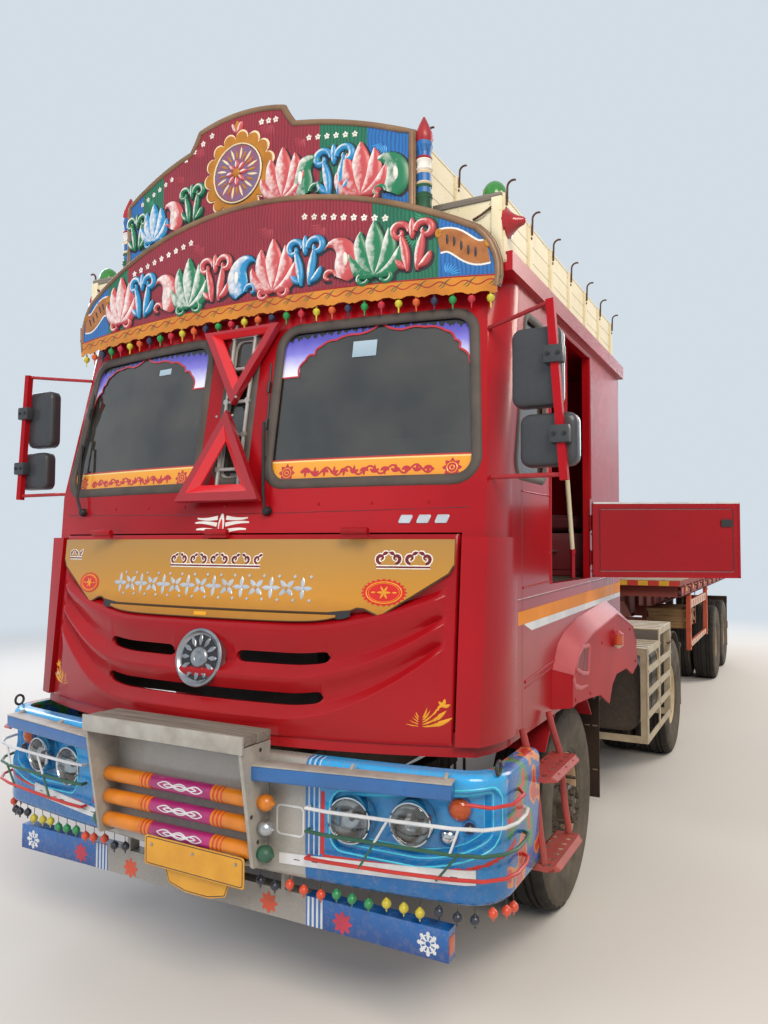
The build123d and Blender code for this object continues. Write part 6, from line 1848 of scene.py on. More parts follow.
# Along the side: where the stripe's lower and upper edge lie at its front and at its rear
STRIPE_Y, STRIPE_LOW, STRIPE_HIGH = (352, 2522), (1544, 1580), (1600, 1648)
QUARTER_LIGHT = [(345, 2175), (790, 2175), (790, 2895), (500, 2895)]
stripe_orange = enamel("stripe_orange_enamel", "#dd8405", "#d07a04", 0.4, patch_mm=200, shine=0.12)
cream_enamel = enamel("cream_enamel", "#ded3b8", "#cdbf9e", 0.5, patch_mm=260, dust=0.3, dust_top_z=3.0,
    chips=0.03)
for side, name in ((1, "left"), (-1, "right")):
    on_side = on_flank(side, SIDE_X)
    trim = []
    columns = []
    for k in range(21):
        t = k / 20
        columns.append((STRIPE_Y[0] + (STRIPE_Y[1] - STRIPE_Y[0]) * t,
            *(ends[0] + (ends[1] - ends[0]) * t for ends in (STRIPE_LOW, STRIPE_HIGH))))
    trim.append((strip(columns, on_side, 1.4, 0.2), stripe_orange))
    wedge = [(y, low - 38 * min(1, (y - 452) / 110) * (1 - 0.3 * (y - 452) / 2070), low) for y, low,
        _ in columns if y > 452]
    trim.append((strip(wedge, on_side, 1.2, 0.2), white_line))
    # a dark red line painted as the shade of the fine crease above the stripe, and a white pinline over it
    for shift, paint, wide in ((44, maroon_paint_and_shade_lines, 4), (52, white_line, 2)):
        trim.append((stroke([(y, high + shift) for y, _, high in columns], wide, on_side, 0.8), paint))
    if side > 0:
        for k in range(6):
            y = 2080 + 44 * k
            trim.append((stroke([(y, 1560), (y + 6, 1690)], 5, on_side, 0.8, lift=1.2), white_line))
    crease = [(470 + 695 * k / 12, 1300 + 50 * k / 12) for k in range(13)]
    trim += [
        (stroke(crease, 16, on_side, 6, ribs=6, lift=-1), red_coach_enamel),
        (stroke([(y, z - 26) for y, z in crease], 9, on_side, 4, ribs=6, lift=-1), red_coach_enamel)]
    # a dark red line painted as the shade in the seam between the front and the side
    seam = [(338 + 22 * t, 1086 + 1900 * t) for t in [k / 20 for k in range(21)]]
    trim += [
        (stroke(seam, 5, lambda y, z, w: on_side(y + 90, z, w), 1), maroon_paint_and_shade_lines),
        (stroke([(452, 1700), (884, 1712)], 10, on_side, 4, ribs=4), red_coach_enamel),
        (stroke([(440, 2112), (884, 2116)], 8, on_side, 4, ribs=4), red_coach_enamel)]
    for y, z in [(y, 1740 + 105 * k) for y in (860, 1724) for k in range(12)]:
        trim.append((lathe([(0, 0), (0, 6), (3, 5), (4, 0)], (side * SIDE_X, y, z), "X", 8),
            red_coach_enamel))
    # beads up the doorway's edges, the rear one from above the half door and its hinges
    for y, wide, low in ((876, 20, 1700), (1704, 24, 2150)):
        trim.append((stroke([(y, low), (y, 2958)], wide, on_side, 8, ribs=4, lift=-1), red_coach_enamel))
    trim.append((stroke([(868, 2968), (1712, 2968)], 22, on_side, 10, ribs=4, lift=-1), red_coach_enamel))
    # pressed swage lines in the rear quarter
    for z in (1850, 2080, 2420, 2700):
        trim.append((stroke([(1790, z), (2440, z)], lambda t: 22 * min(1, 12 * t, 12 * (1 - t)) + 1,
            on_side, 5, ribs=6, lift=-1), red_coach_enamel))
    frame_line = rounded(QUARTER_LIGHT, 60)
    trim.append((stroke(frame_line + frame_line[:2], 40, on_side, 14, ribs=8, lift=-6), gasket_rubber))
    bar = [(1150, 1425, 2384), (1150, 1440, 2327), (1150, 1558, 1892), (1150, 1570, 1848)]
    trim.append((tube([(side * x, y, z) for x, y, z in bar], 13, 10), cream_enamel))
    for y, low, high in ((1425, 2384, 2958), (1570, 1702, 1848)):
        trim += [
            (tube([(side * 1150, y, low), (side * 1150, y, high)], 13, 8), red_coach_enamel),
            (tube([(side * 1150, y, 2368 if low > 2000 else 1832),
                (side * 1150, y, 2400 if low > 2000 else 1864)], 17, 10), red_coach_enamel)]
    piece(f"cab_side_trim_{name}", trim, smooth=45)

# Half doors
# Low flush doors of folded steel, red with a darker border lined round and a white top edge. The left one
# stands open on its rear hinges, the right one is shut.
DOOR_PIN = (1222, 1692)
for side, name, swing in ((1, "left", 112), (-1, "right", 0)):
    turn = Matrix.Rotation(math.radians(swing), 3, "Z")

    def on_door(u, v, w):
        """A point on a half door: u from its hinge, v up, w out of its outer face."""
        spot = turn @ Vector((1218 + w - DOOR_PIN[0], -u, 0))
        return Vector((side * (DOOR_PIN[0] + spot.x), DOOR_PIN[1] + spot.y, v))

    trim = []
    border = rounded(oblong(44, 1742, 766, 2088), 10, 3)
    for lift in (-0.2, -36.4):
        trim.append((stroke(border + border[:2], 7, on_door, 1.4, lift=lift), maroon_paint_and_shade_lines))

    def on_back(u, v, w):
        """A point that stands out from just behind the door's inner face."""
        return on_door(u, v, w - 37)

    for outline, paint in ((oblong(10, 2118, 799, 2128), white_line), (oblong(6, 1708, 18, 2119),
            red_coach_enamel), (oblong(791, 1708, 803, 2119), red_coach_enamel),
            (oblong(6, 1706, 803, 1718), red_coach_enamel)):
        trim.append((slab(outline, on_back, 39, 2), paint))
    latch = rounded(oblong(700, 1990, 760, 2030), 8, 3)
    trim.append((slab(latch, lambda u, v, w: on_door(u, v, w - 44.6), 8, 2), black_steel_and_slot_shade))
    piece(f"half_door_trim_{name}", trim, body=f"{name}_door")

# Wheel-arch flares
# Moulded glass-fibre flares bolted over the front wheels, a lighter pink on their upper slopes, with a dark
# red patch painted as the shade of a hollowed facet before, and an amber side lamp behind.
faded_red = enamel("sun_faded_red_gel_coat", "#a5151f", "#931019", 0.42, patch_mm=420, dust=0.15,
    dust_top_z=2.4, dust_colour="#c06a62", shine=0.12)
pale_pink = enamel("pale_pink_gel_coat", "#b94a50", "#a63a40", 0.42, patch_mm=300, dust=0.25,
    dust_top_z=2.4, dust_colour="#cf938a")
hollow_painted_shade = enamel("red_gel_coat_painted_hollow_shade", "#7c0f17", "#6b0b12", 0.5, patch_mm=160, dust=0.2,
    dust_top_z=2.4)
finish("fenders", faded_red)
for side, name in ((1, "left"), (-1, "right")):
    on_flare = on_flank(side, 1300)
    # the flare's upper slope, from its flange on the cab to its face: y, z in, y, z out
    slope = ((893, 1290, 968, 1262), (985, 1400, 1045, 1345), (1114, 1452, 1155, 1388),
        (1370, 1497, 1400, 1427), (2068, 1550, 2030, 1480), (2590, 1420, 2530, 1362),
        (2715, 1260, 2652, 1238))
    verts, faces = [], []
    for y0, z0, y1, z1 in slope:
        verts += [Vector((side * 1221, y0, z0 + 4)), Vector((side * 1301.5, y1, z1 + 2.5)),
            Vector((side * 1303, y1, z1 - 7)), Vector((side * 1299, y1, z1 - 8))]
    for i in range(len(slope) - 1):
        for k in range(3):
            a, b = i * 4 + k, (i + 1) * 4 + k
            faces.append((a, b, b + 1, a + 1))
    # The upper slope is a lighter pink than the flare's face.
    flare = [((verts, faces), pale_pink)]
    # A flat dark red patch painted as the shade of a hollowed facet, in a raised pink rim, and a dark red
    # line painted as the shade of a fold in it.
    hollow = rounded([(1008, 1290), (1060, 1342), (1152, 1376), (1300, 1370), (1268, 1228), (1140, 1250)],
        18, 4)
    flare += [
        (slab(hollow, on_flare, 1.2), hollow_painted_shade),
        (stroke(hollow + hollow[:2], 24, on_flare, 9, ribs=6, lift=-0.5), pale_pink),
        (stroke([(1150, 1256), (1206, 1320), (1196, 1368)], 10, on_flare, 3, ribs=4), hollow_painted_shade),
        (stroke([(975, 1255), (1010, 1205), (1130, 1178), (1260, 1172)], lambda t: 34 * (1 - t) + 8,
            on_flare, 5, ribs=5), pale_pink)]
    lamp_base = lathe([(0, 0), (0, 52), (8, 50), (10, 40), (16, 38), (16, 0)], (0, 0, 0), "X", 20)
    LAMP_Y, LAMP_Z = 1900, 1346
    base = sided(lamp_base, side)
    flare.append((moved(base, Matrix.Translation((side * 1300, LAMP_Y, LAMP_Z))), faded_red))
    for profile, sides, paint in (([(-38, 0), (-36, 20), (-28, 30), (28, 30), (36, 20), (38, 0)], 20,
            amber_lens), ([(26, 0), (26, 32), (34, 33), (37, 26), (52, 8), (54, 0)], 16, pale_pink),
            ([(-54, 0), (-52, 8), (-37, 26), (-33, 31), (-30, 0)], 16, cream_enamel)):
        flare.append((lathe(profile, (side * 1328, LAMP_Y, LAMP_Z - 6), "Z", sides), paint))
    for y, z in ((1010, 1140), (1320, 1120), (2620, 1120), (1600, 1350), (2420, 1350)):
        flare.append((lathe([(0, 0), (0, 9), (4, 8), (6, 0)], (1300 if side > 0 else -1306, y, z), "X", 10),
            faded_red))
    piece(f"flare_dressing_{name}", flare, smooth=30)

# Steps
# Two treads a side of folded chequer plate punched with rows of oblong holes, in frames of bent red tube
# that hang from the cab and bend out under it.
step_red = enamel("step_red_enamel", "#a3262a", "#8f1f23", 0.45, patch_mm=120, dust=0.5, dust_top_z=1.6,
    chips=0.05)
steps = []
for side in (-1, 1):
    for y in (352, 738):
        frame_run = [(1245, y, 1128), (1262, y, 1060), (1292, y, 965), (1300, y, 900), (1318, y, 720),
            (1330, y, 640), (1334, y, 606)]
        steps.append((tube([(side * x, py, z) for x, py, z in frame_run], 15, 10), step_red))
    for x0, x1, z in ((1235, 1388, 952), (1262, 1398, 604)):
        cross, long = 8, 29
        xs = [x0 + (x1 - x0) * k / (cross - 1) for k in range(cross)]
        ys = [326 + 438 * k / (long - 1) for k in range(long)]

        def tread_edge(i, k):
            """The corner rounding of a tread's outer end."""
            near = min(ys[k] - ys[0], ys[-1] - ys[k])
            trim_by = 46 * max(0, 1 - near / 46) ** 2
            return min(xs[i], x1 - trim_by)

        def tread_top(i, k):
            """A point on a tread's top, its rim turned down."""
            down = 16 if i in (0, cross - 1) or k in (0, long - 1) else 0
            return Vector((side * tread_edge(i, k), ys[k], z - down))

        def tread_low(i, k):
            """A point under a tread."""
            return tread_top(i, k) - Vector((0, 0, 5))

        def tread_metal(i, k):
            """Oblong holes in two rows."""
            return not (i in (1, 4) and k % 4 in (1, 2) and 1 <= k < long - 2)

        steps.append((sheet(cross, long, tread_top, tread_low, tread_metal), step_red))
    for y in (430, 545, 660):
        steps.append((tube([(side * 1250, y, 943), (side * 1378, y, 943)], 7, 6), step_red))
piece("step_set", steps, replaces=("side_steps",))

# Mirrors
# Two moulded mirror heads a side, dark grey and matt, on an upright of square steel tube painted red, each
# held by a bolted clamp block, with silvered glass to the rear.
mirror_shell = moulded_plastic("mirror_shell_plastic", "#35373a", "#2a2c2f", roughness=0.55, glow=0.0)
mirror_silver = enamel("silvered_glass", "#cfd6da", "#c4ccd1", 0.03, metallic=1.0, patch_mm=200, dust=0.05)
mirrors = []
for side in (-1, 1):
    for x0, x1, z0, z1 in ((1290, 1484, 2404, 2711), (1322, 1542, 2176, 2378)):
        outline = rounded(oblong(x0, z0, x1, z1), 38, 6)
        middle_x, middle_z = (x0 + x1) / 2, (z0 + z1) / 2
        shells = []
        for share, y in ((0.55, 85), (0.8, 87), (0.93, 92), (0.985, 101), (1.0, 114), (1.0, 146),
                (0.985, 150), (0.955, 150)):
            shells.append([Vector((side * (middle_x + (u - middle_x) * share), y,
                middle_z + (v - middle_z) * share)) for u, v in outline])
        verts = [corner for ring in shells for corner in ring]
        count = len(outline)
        faces = [tuple(range(count))] + ring_faces(len(shells), count)
        mirrors.append(((verts, faces), mirror_shell))
        pane = [Vector((side * (middle_x + (u - middle_x) * 0.955), 148.5,
            middle_z + (v - middle_z) * 0.955)) for u, v in outline]
        mirrors.append(((pane, [tuple(range(count))]), mirror_silver))
    top, foot = Vector((side * 1450, 70, 2800)), Vector((side * 1500, 70, 2120))
    for level, x in ((2590, 1465), (2290, 1487)):
        block_x = side * x
        mirrors.append((box((block_x - 38, 42, level - 34), (block_x + 38, 92, level + 34), 9),
            mirror_shell))
        for step in (-20, 20):
            mirrors.append((lathe([(0, 0), (0, 8), (-5, 8), (-6, 0)], (block_x + step, 42, level), "Y", 6),
                black_steel_and_slot_shade))
    along = (foot - top).normalized()
    across = Vector((0, 1, 0))
    flat = along.cross(across)
    corners = [across * 15 + flat * 15, across * -15 + flat * 15, across * -15 - flat * 15,
        across * 15 - flat * 15]
    verts = [end + corner for end in (top, foot) for corner in corners]
    mirrors.append(((verts, [(0, 1, 5, 4), (1, 2, 6, 5), (2, 3, 7, 6), (3, 0, 4, 7), (3, 2, 1, 0),
        (4, 5, 6, 7)]), faded_red))
    for stay in (((1150, 232, 2772), (1300, 150, 2781), (1450, 72, 2792)),
            ((1196, 128, 2147), (1340, 100, 2144), (1492, 72, 2141))):
        mirrors.append((tube([(side * x, y, z) for x, y, z in stay], 9, 8), step_red))
piece("mirror_set", mirrors, smooth=40, replaces=("mirrors",))

# Roof boxes
# Open load trays of painted planks on the roof: cream boards with dark joints, brown-edged battens with
# rusty hooks, and a bare grey plank along each front edge.
cream_boards = enamel("cream_board_paint", "#e6dcbc", "#d8cba4", 0.55, patch_mm=240, dust=0.12,
    dust_top_z=6, chips=0.05, chip_colour="#6b4a2c")
rust_steel = enamel("rusty_steel", "#5a3a2a", "#452c20", 0.8, patch_mm=30, ripple=0.08, dust=0.1)
brown_edge = enamel("brown_edge_paint", "#6e4722", "#5c3a1b", 0.55, patch_mm=100, dust=0.1)
finish("roof_boxes", cream_boards)
boxes = []
for side in (-1, 1):
    for face_x, y_from, y_to, z_low, z_high, gap in ((1190, 272, 2448, 3037, 3345, 76),
            (828, 252, 1448, 3037, 3650, 102)):
        on_wall = on_flank(side, face_x)
        level = z_low + gap
        while level < z_high - 20:
            boxes.append((stroke([(y_from, level), (y_to, level)], 5, on_wall, 1, lift=-0.4), brown_edge))
            level += gap
        count = round((y_to - y_from) / 385)
        for k in range(count + 1):
            y = y_from + 24 + (y_to - y_from - 48) * k / count
            boxes += [
                (slab(oblong(y - 20, z_low + 2, y + 20, z_high + 4), on_wall, 12, 2), cream_boards),
                (stroke([(y + 22, z_low + 4), (y + 22, z_high)], 7, on_wall, 3, ribs=3), brown_edge)]
            hook = [on_wall(y, z_high - 46, 16), on_wall(y, z_high + 22, 18)]
            hook += [on_wall(y, z_high + 30 + 26 * math.sin(a), 44 - 26 * math.cos(a))
                for a in [math.pi * j / 8 for j in range(9)]]
            boxes.append((tube(hook[:8], 5, 6), rust_steel))
            for z in (z_low + 60, z_high - 60):
                boxes.append((lathe([(0, 0), (0, 7), (4, 6), (5, 0)], on_wall(y, z, 12 if side > 0 else 17),
                    "X", 8), rust_steel))
        boxes.append((box((side * (face_x - 27), y_from, z_high), (side * (face_x + 3), y_to, z_high + 10),
            3), cream_boards))
    boxes += [
        (box((side * 880, 262, 3322), (side * 1192, 300, 3349), 4), weathered_plank),
        (box((side * 1150, 258, 3040), (side * 1196, 300, 3330), 4), cream_boards),
        (tube([(side * 1150, 262, 3290), (side * 1110, 255, 3262), (side * 1068, 262, 3250)], 5, 6),
            rust_steel)]
piece("roof_box_dressing", boxes)

# Wheels
# Radial lorry tyres with five plain tread ribs, browned by road dust, on pressed steel disc rims: single
# and outward-dished in front, twinned elsewhere, each held on its greasy hub by ten long studs.
FRONT_TYRE_X, TWIN_INNER_X, TWIN_OUTER_X = 1030, 771, 1101


def road_rubber(name, colour, dust_colour):
    """Black rubber gone brown: dull, mottled by dried mud, with a fine moulded grain."""
    rubber, tree = blank_material(name)
    place = node(tree, "TexCoord").outputs["Object"]
    mud = node(tree, "TexNoise", {"Scale": 1 / (220 * MM), "Detail": 8.0, "Roughness": 0.7},
        {"Vector": place})
    cover = node(tree, "MapRange", {1: 0.38, 2: 0.72, 3: 0.15, 4: 0.85}, {0: mud})
    body = node(tree, "Mix", {"data_type": "RGBA", 6: linear(colour), 7: linear(dust_colour)}, {0: cover})
    grain = node(tree, "TexNoise", {"Scale": 1 / (5 * MM), "Detail": 4.0}, {"Vector": place})
    bump = node(tree, "Bump", {"Strength": 0.4, "Distance": 0.001}, {"Height": grain})
    skin = node(tree, "BsdfPrincipled", {"Roughness": 0.78, "Specular IOR Level": 0.3},
        {"Base Color": body.outputs[2], "Normal": bump})
    node(tree, "OutputMaterial", {}, {"Surface": skin})
    return rubber


tread_rubber = road_rubber("tread_rubber", "#1b1a19", "#3a352f")
dusty_wall = road_rubber("dusty_sidewall_rubber", "#37322c", "#6f6455")
rim_tan = enamel("rim_tan_enamel", "#a5896b", "#8d7257", 0.5, patch_mm=90, dust=0.5, dust_top_z=1.2,
    chips=0.04)
rim_cream = enamel("rim_cream_enamel", "#c9b58f", "#b09a74", 0.5, patch_mm=90, dust=0.5, dust_top_z=1.2,
    chips=0.04)
greasy_iron = enamel("greasy_hub_iron", "#37322e", "#26221f", 0.42, metallic=0.35, patch_mm=40, ripple=0.08,
    dust=0.5, dust_top_z=1.2)
AXLE_Z, FRONT_AXLE_Y, DRIVE_AXLE_Y = 520, 1384, 4884
# Half of the tyre's section, from bead to crown: distance from its mid plane, radius
TYRE_SECTION = [(112, 262), (121, 268), (124, 284), (128, 288), (133, 318), (139, 345), (141, 349),
    (145, 375), (148, 400), (148, 416), (145, 440), (140, 462), (141, 465), (136, 480), (128, 497),
    (121, 510), (112, 517), (98, 519), (79, 520), (76, 507), (66, 507), (63, 520), (43, 520), (40, 507),
    (30, 507), (27, 520), (0, 520)]


def tyre(x, y):
    """One tyre: ribbed tread, ringed sidewalls, and notches all round each shoulder."""
    section = TYRE_SECTION + [(-a, r) for a, r in reversed(TYRE_SECTION[:-1])]
    section.append(section[0])
    verts, faces = lathe(section, (0, 0, 0), "X", 108)
    count = len(section)
    for side in range(108):
        if side % 3 == 0:
            for i, (along, radius) in enumerate(section):
                if 98 <= abs(along) <= 128 and radius > 490:
                    spot = verts[side * count + i]
                    verts[side * count + i] = Vector((spot.x * 0.97, spot.y * 0.982, spot.z * 0.982))
    wall = [face for face in faces if max(Vector((0, verts[i].y, verts[i].z)).length for i in face) < 499]
    walled = set(wall)
    tread = [face for face in faces if face not in walled]
    placed, _ = moved((verts, faces), Matrix.Translation((x, y, AXLE_Z)))
    return [((placed, tread), tread_rubber), ((placed, wall), dusty_wall)]


def studs(face_x, y, ring, count, reach, side):
    """Nuts on long studs in a ring about a hub."""
    made = []
    for k in range(count):
        angle = 2 * math.pi * (k + 0.5) / count
        spot = Vector((side * face_x, y + ring * math.cos(angle), AXLE_Z + ring * math.sin(angle)))
        nut = lathe([(0, 0), (0, 21), (5, 22), (6, 17), (26, 16), (28, 11), (28, 8), (reach, 8),
            (reach + 2, 0)], (0, 0, 0), "X", 6)
        made.append((moved(sided(nut, side), Matrix.Translation(spot)), greasy_iron))
    return made


def turned_on(profile, y, side, paint, sides=64):
    """A shape turned about a wheel's axle, for either side of the lorry."""
    return sided(lathe(profile, (0, y, AXLE_Z), "X", sides), side), paint


for side, name in ((1, "left"), (-1, "right")):
    body = f"front_wheel_{name}"
    piece(f"front_tyre_{name}_ribbed", tyre(side * FRONT_TYRE_X, FRONT_AXLE_Y), body=body,
        smooth=30, replaces=(f"front_tyre_{name}",))
    rim = [turned_on([(918, 262), (918, 244), (932, 236), (960, 226), (1040, 226), (1085, 232), (1124, 240),
        (1136, 246), (1142, 256), (1142, 262), (1136, 262), (1128, 254), (1120, 246), (1086, 238),
        (1092, 214), (1097, 186), (1100, 150), (1094, 150), (1088, 186), (1083, 214), (1076, 226)],
        FRONT_AXLE_Y, side, rim_tan)]
    rim += [turned_on([(1050, 150), (1100, 150), (1116, 136), (1125, 110), (1129, 106), (1150, 104),
        (1170, 100), (1180, 90), (1185, 70), (1185, 0)], FRONT_AXLE_Y, side, greasy_iron, 48),
        turned_on([(1185, 60), (1187, 60), (1190, 52), (1190, 0)], FRONT_AXLE_Y, side, greasy_iron, 24)]
    rim += studs(1100, FRONT_AXLE_Y, 143, 10, 84, side)
    rim += studs(1180, FRONT_AXLE_Y, 76, 8, 8, side)
    for k in range(10):
        angle = 2 * math.pi * k / 10
        spot = (side * 1090, FRONT_AXLE_Y + 190 * math.cos(angle), AXLE_Z + 190 * math.sin(angle))
        rim.append((lathe([(-6, 0), (-6, 18), (9, 18), (10, 16), (10, 0)], spot, "X", 16), tread_rubber))
    piece(f"front_rim_{name}_disc", rim, body=body, smooth=30,
        replaces=(f"front_rim_{name}",))
    for axle, y in (("drive", DRIVE_AXLE_Y), ("trailer_front", 9500), ("trailer_rear", 10860)):
        body = f"drive_wheels_{name}" if axle == "drive" else f"{axle}_wheels_{name}"
        piece(f"{axle}_tyres_{name}_ribbed", tyre(side * TWIN_INNER_X, y) + tyre(side * TWIN_OUTER_X, y),
            body=body, smooth=30, replaces=(f"{axle}_tyres_{name}",))
        dish = rim_cream if axle == "drive" else rim_tan
        rim = [turned_on([(659, 262), (660, 252), (672, 242), (700, 230), (850, 230), (868, 240),
            (882, 252), (883, 262)], y, side, dish)]
        rim += [turned_on([(989, 262), (990, 252), (1002, 238), (1012, 232), (1150, 232), (1190, 240),
            (1206, 248), (1213, 256), (1213, 262), (1205, 260), (1194, 250), (1150, 240), (1020, 240),
            (1004, 236), (990, 214), (974, 180), (962, 130), (954, 132), (966, 182), (982, 216),
            (994, 232)], y, side, dish), turned_on([(930, 150), (962, 150), (968, 132), (1080, 116),
            (1120, 105), (1124, 98), (1144, 94), (1150, 85), (1150, 0)], y, side, greasy_iron, 40),
            turned_on([(1150, 64), (1153, 62), (1154, 54), (1154, 0)], y, side, greasy_iron, 24)]
        rim += studs(964, y, 168, 10, 56, side)
        rim += studs(1144, y, 74, 8, 6, side)
        for k in range(8):
            angle = 2 * math.pi * (k + 0.5) / 8
            spot = (side * 986, y + 205 * math.cos(angle), AXLE_Z + 205 * math.sin(angle))
            rim.append((lathe([(-14, 0), (-14, 17), (10, 17), (11, 0)], spot, "X", 16), tread_rubber))
        piece(f"{axle}_rims_{name}_disc", rim, body=body, smooth=30,
            replaces=(f"{axle}_rims_{name}",))

# Tractor frame and engine
# Riveted channel frame and cast running gear, brush painted and long since grey-brown with dust and grease.
frame_paint = enamel("dusty_chassis_enamel", "#3a3029", "#2b2420", 0.62, patch_mm=120, ripple=0.04,
    dust=0.8, dust_top_z=2.2, dust_colour="#7d6a54", chips=0.04, chip_colour="#5b3a26")
cast_iron = enamel("oily_cast_iron", "#3b3b3c", "#2a2a2b", 0.5, metallic=0.3, patch_mm=70, ripple=0.06,
    dust=0.7, dust_top_z=2.0, dust_colour="#6f6150")
spring_steel = enamel("dusty_spring_steel", "#433a33", "#332c27", 0.6, metallic=0.25, patch_mm=60, dust=0.8,
    dust_top_z=1.6, dust_colour="#7a6955")
rubber_black = enamel("hose_rubber", "#1d1d1e", "#151516", 0.7, patch_mm=60, dust=0.5, dust_top_z=2.0)
for name in ("chassis_frame", "drive_axle", "front_axle_beam", "knuckle_left", "knuckle_right", "tie_rod"):
    finish(name, frame_paint)
finish("engine_and_radiator", cast_iron)
finish("tractor_springs", spring_steel)
finish("trailer_running_gear", spring_steel)
RAIL_FACE = 428
works = []


def bolt_head(x, y, z, reach, radius):
    """A hexagon head that faces along X, outwards."""
    side = 1 if x > 0 else -1
    head = lathe([(0, 0), (0, radius * 1.3), (2, radius * 1.3), (3, radius), (reach, radius), (reach, 0)],
        (0, 0, 0), "X", 6)
    return moved(sided(head, side), Matrix.Translation((x, y, z)))


for side in (-1, 1):
    for y in (170, 1050, 1730, 2750, 3350, 3700, 4380, DRIVE_AXLE_Y, 5380, 5600):
        for step_y in (-28, 28):
            for z in (880, 930, 980):
                works.append((bolt_head(side * RAIL_FACE, y + step_y, z, 7, 9), frame_paint))
    for k in range(2):
        line = [(side * 372, 300 + 260 * j, 905 + 30 * k + 8 * math.sin(j)) for j in range(21)]
        works.append((tube(line, 8 - 2 * k, 6), rubber_black if k else bright_steel))
works.append((lathe([(-60, 0), (-60, 130), (-40, 150), (-30, 150), (-20, 110), (0, 108), (0, 0)],
    (0, 430, 1000), "Y", 32), cast_iron))
for x, z, radius in ((150, 1180, 70), (-150, 1150, 60), (0, 820, 95)):
    works.append((lathe([(-36, 0), (-36, radius), (-30, radius), (-24, radius - 12), (-18, radius),
        (-12, radius - 12), (-6, radius), (0, radius), (0, 0)], (x, 430, z), "Y", 32), black_steel_and_slot_shade))
for k in range(6):
    y = 520 + 155 * k
    works += [
        (box((-150, y, 1498), (150, y + 132, 1516), 8), cast_iron),
        (tube([(300, y + 66, 1300), (360, y + 66, 1290), (380, y + 66, 1240)], 30, 10), rust_steel)]
works.append((tube([(380, 520, 1220), (384, 900, 1210), (380, 1440, 1200)], 42, 12), rust_steel))
for z in range(700, 1280, 60):
    works.append((box((-302, 470, z), (302, 1440, z + 14), 4), cast_iron))
for k in range(12):
    works += [(bolt_head(x, 520 + 82 * k, 690, 10, 11), cast_iron) for x in (302, -302)]
works.append((lathe([(0, 0), (0, 232), (16, 236), (26, 232), (30, 210), (120, 190), (190, 150), (230, 120),
    (232, 0)], (0, 1500, 920), "Y", 40), cast_iron))
piece("frame_and_engine_fittings", works)

# Springs
# Stacked leaves held by U bolts over the axles, rebound clips, and shackles at their rear eyes.
SPRING_X = 500
clips = []
for side in (-1, 1):
    for axle_y, z_low, z_high in ((FRONT_AXLE_Y, 560, 700), (DRIVE_AXLE_Y, 560, 720)):
        for step_y in (-70, 70):
            for x in (-48, 48):
                mid = side * SPRING_X
                clips += [
                    (tube([(mid + x, axle_y + step_y, z_low), (mid + x, axle_y + step_y, z_high)], 9, 8),
                        cast_iron),
                    (lathe([(0, 0), (0, 17), (18, 17), (18, 0)], (mid + x, axle_y + step_y, z_low), "Z", 6),
                        cast_iron)]
piece("spring_bolts", clips)

# Fuel tank
# A long tank of pressed steel in satin black with rolled seams, held by two galvanised straps gone tan,
# with a filler cap and an orange side reflector.
TANK_X, TANK_Z = 895, 810
tank_black = enamel("satin_black_enamel", "#242425", "#1a1a1b", 0.38, patch_mm=180, dust=0.5,
    dust_top_z=1.6)
strap_tan = enamel("tan_strap_enamel", "#a98a5e", "#8f7149", 0.5, patch_mm=60, dust=0.4, dust_top_z=1.6,
    chips=0.05)
finish("fuel_tank", tank_black)
tank = []
around = []
for centre_x, centre_z, first in ((1120, 970, 0), (670, 970, 90), (670, 650, 180), (1120, 650, 270)):
    for k in range(7):
        angle = math.radians(first + 15 * k)
        around.append((centre_x + 112 * math.cos(angle), centre_z + 112 * math.sin(angle)))
for y0, y1, reach, paint in ((3372, 3418, 4, strap_tan), (3972, 4018, 4, strap_tan),
        (3162, 3176, 5, tank_black), (4204, 4218, 5, tank_black), (3684, 3696, 4, tank_black)):
    rings = [(y0, 0), (y0, reach), (y1, reach), (y1, 0)]
    verts = []
    for y, out in rings:
        for x, z in around:
            away = Vector((x - TANK_X, z - TANK_Z)).normalized()
            verts.append(Vector((x + away.x * out, y, z + away.y * out)))
    count = len(around)
    tank.append(((verts, ring_faces(len(rings), count)), paint))
tank += [
    (lathe([(0, 0), (0, 48), (14, 48), (18, 44), (34, 44), (38, 38), (38, 0)], (980, 3300, 1078), "Z", 24),
        bright_steel),
    (box((1232, 3196, 700), (1238, 3226, 900), 2), amber_lens),
    (box((1229, 3190, 694), (1234, 3232, 906), 2), black_steel_and_slot_shade)]
for y in (3395, 3995):
    tank.append((tube([(1210, y - 14, 560), (1238, y - 14, 640), (1238, y - 14, 700)], 5, 6), bright_steel))
    for z in (680, 940):
        tank.append((bolt_head(1234, y, z, 8, 12), bright_steel))
piece("fuel_tank_fittings", tank)

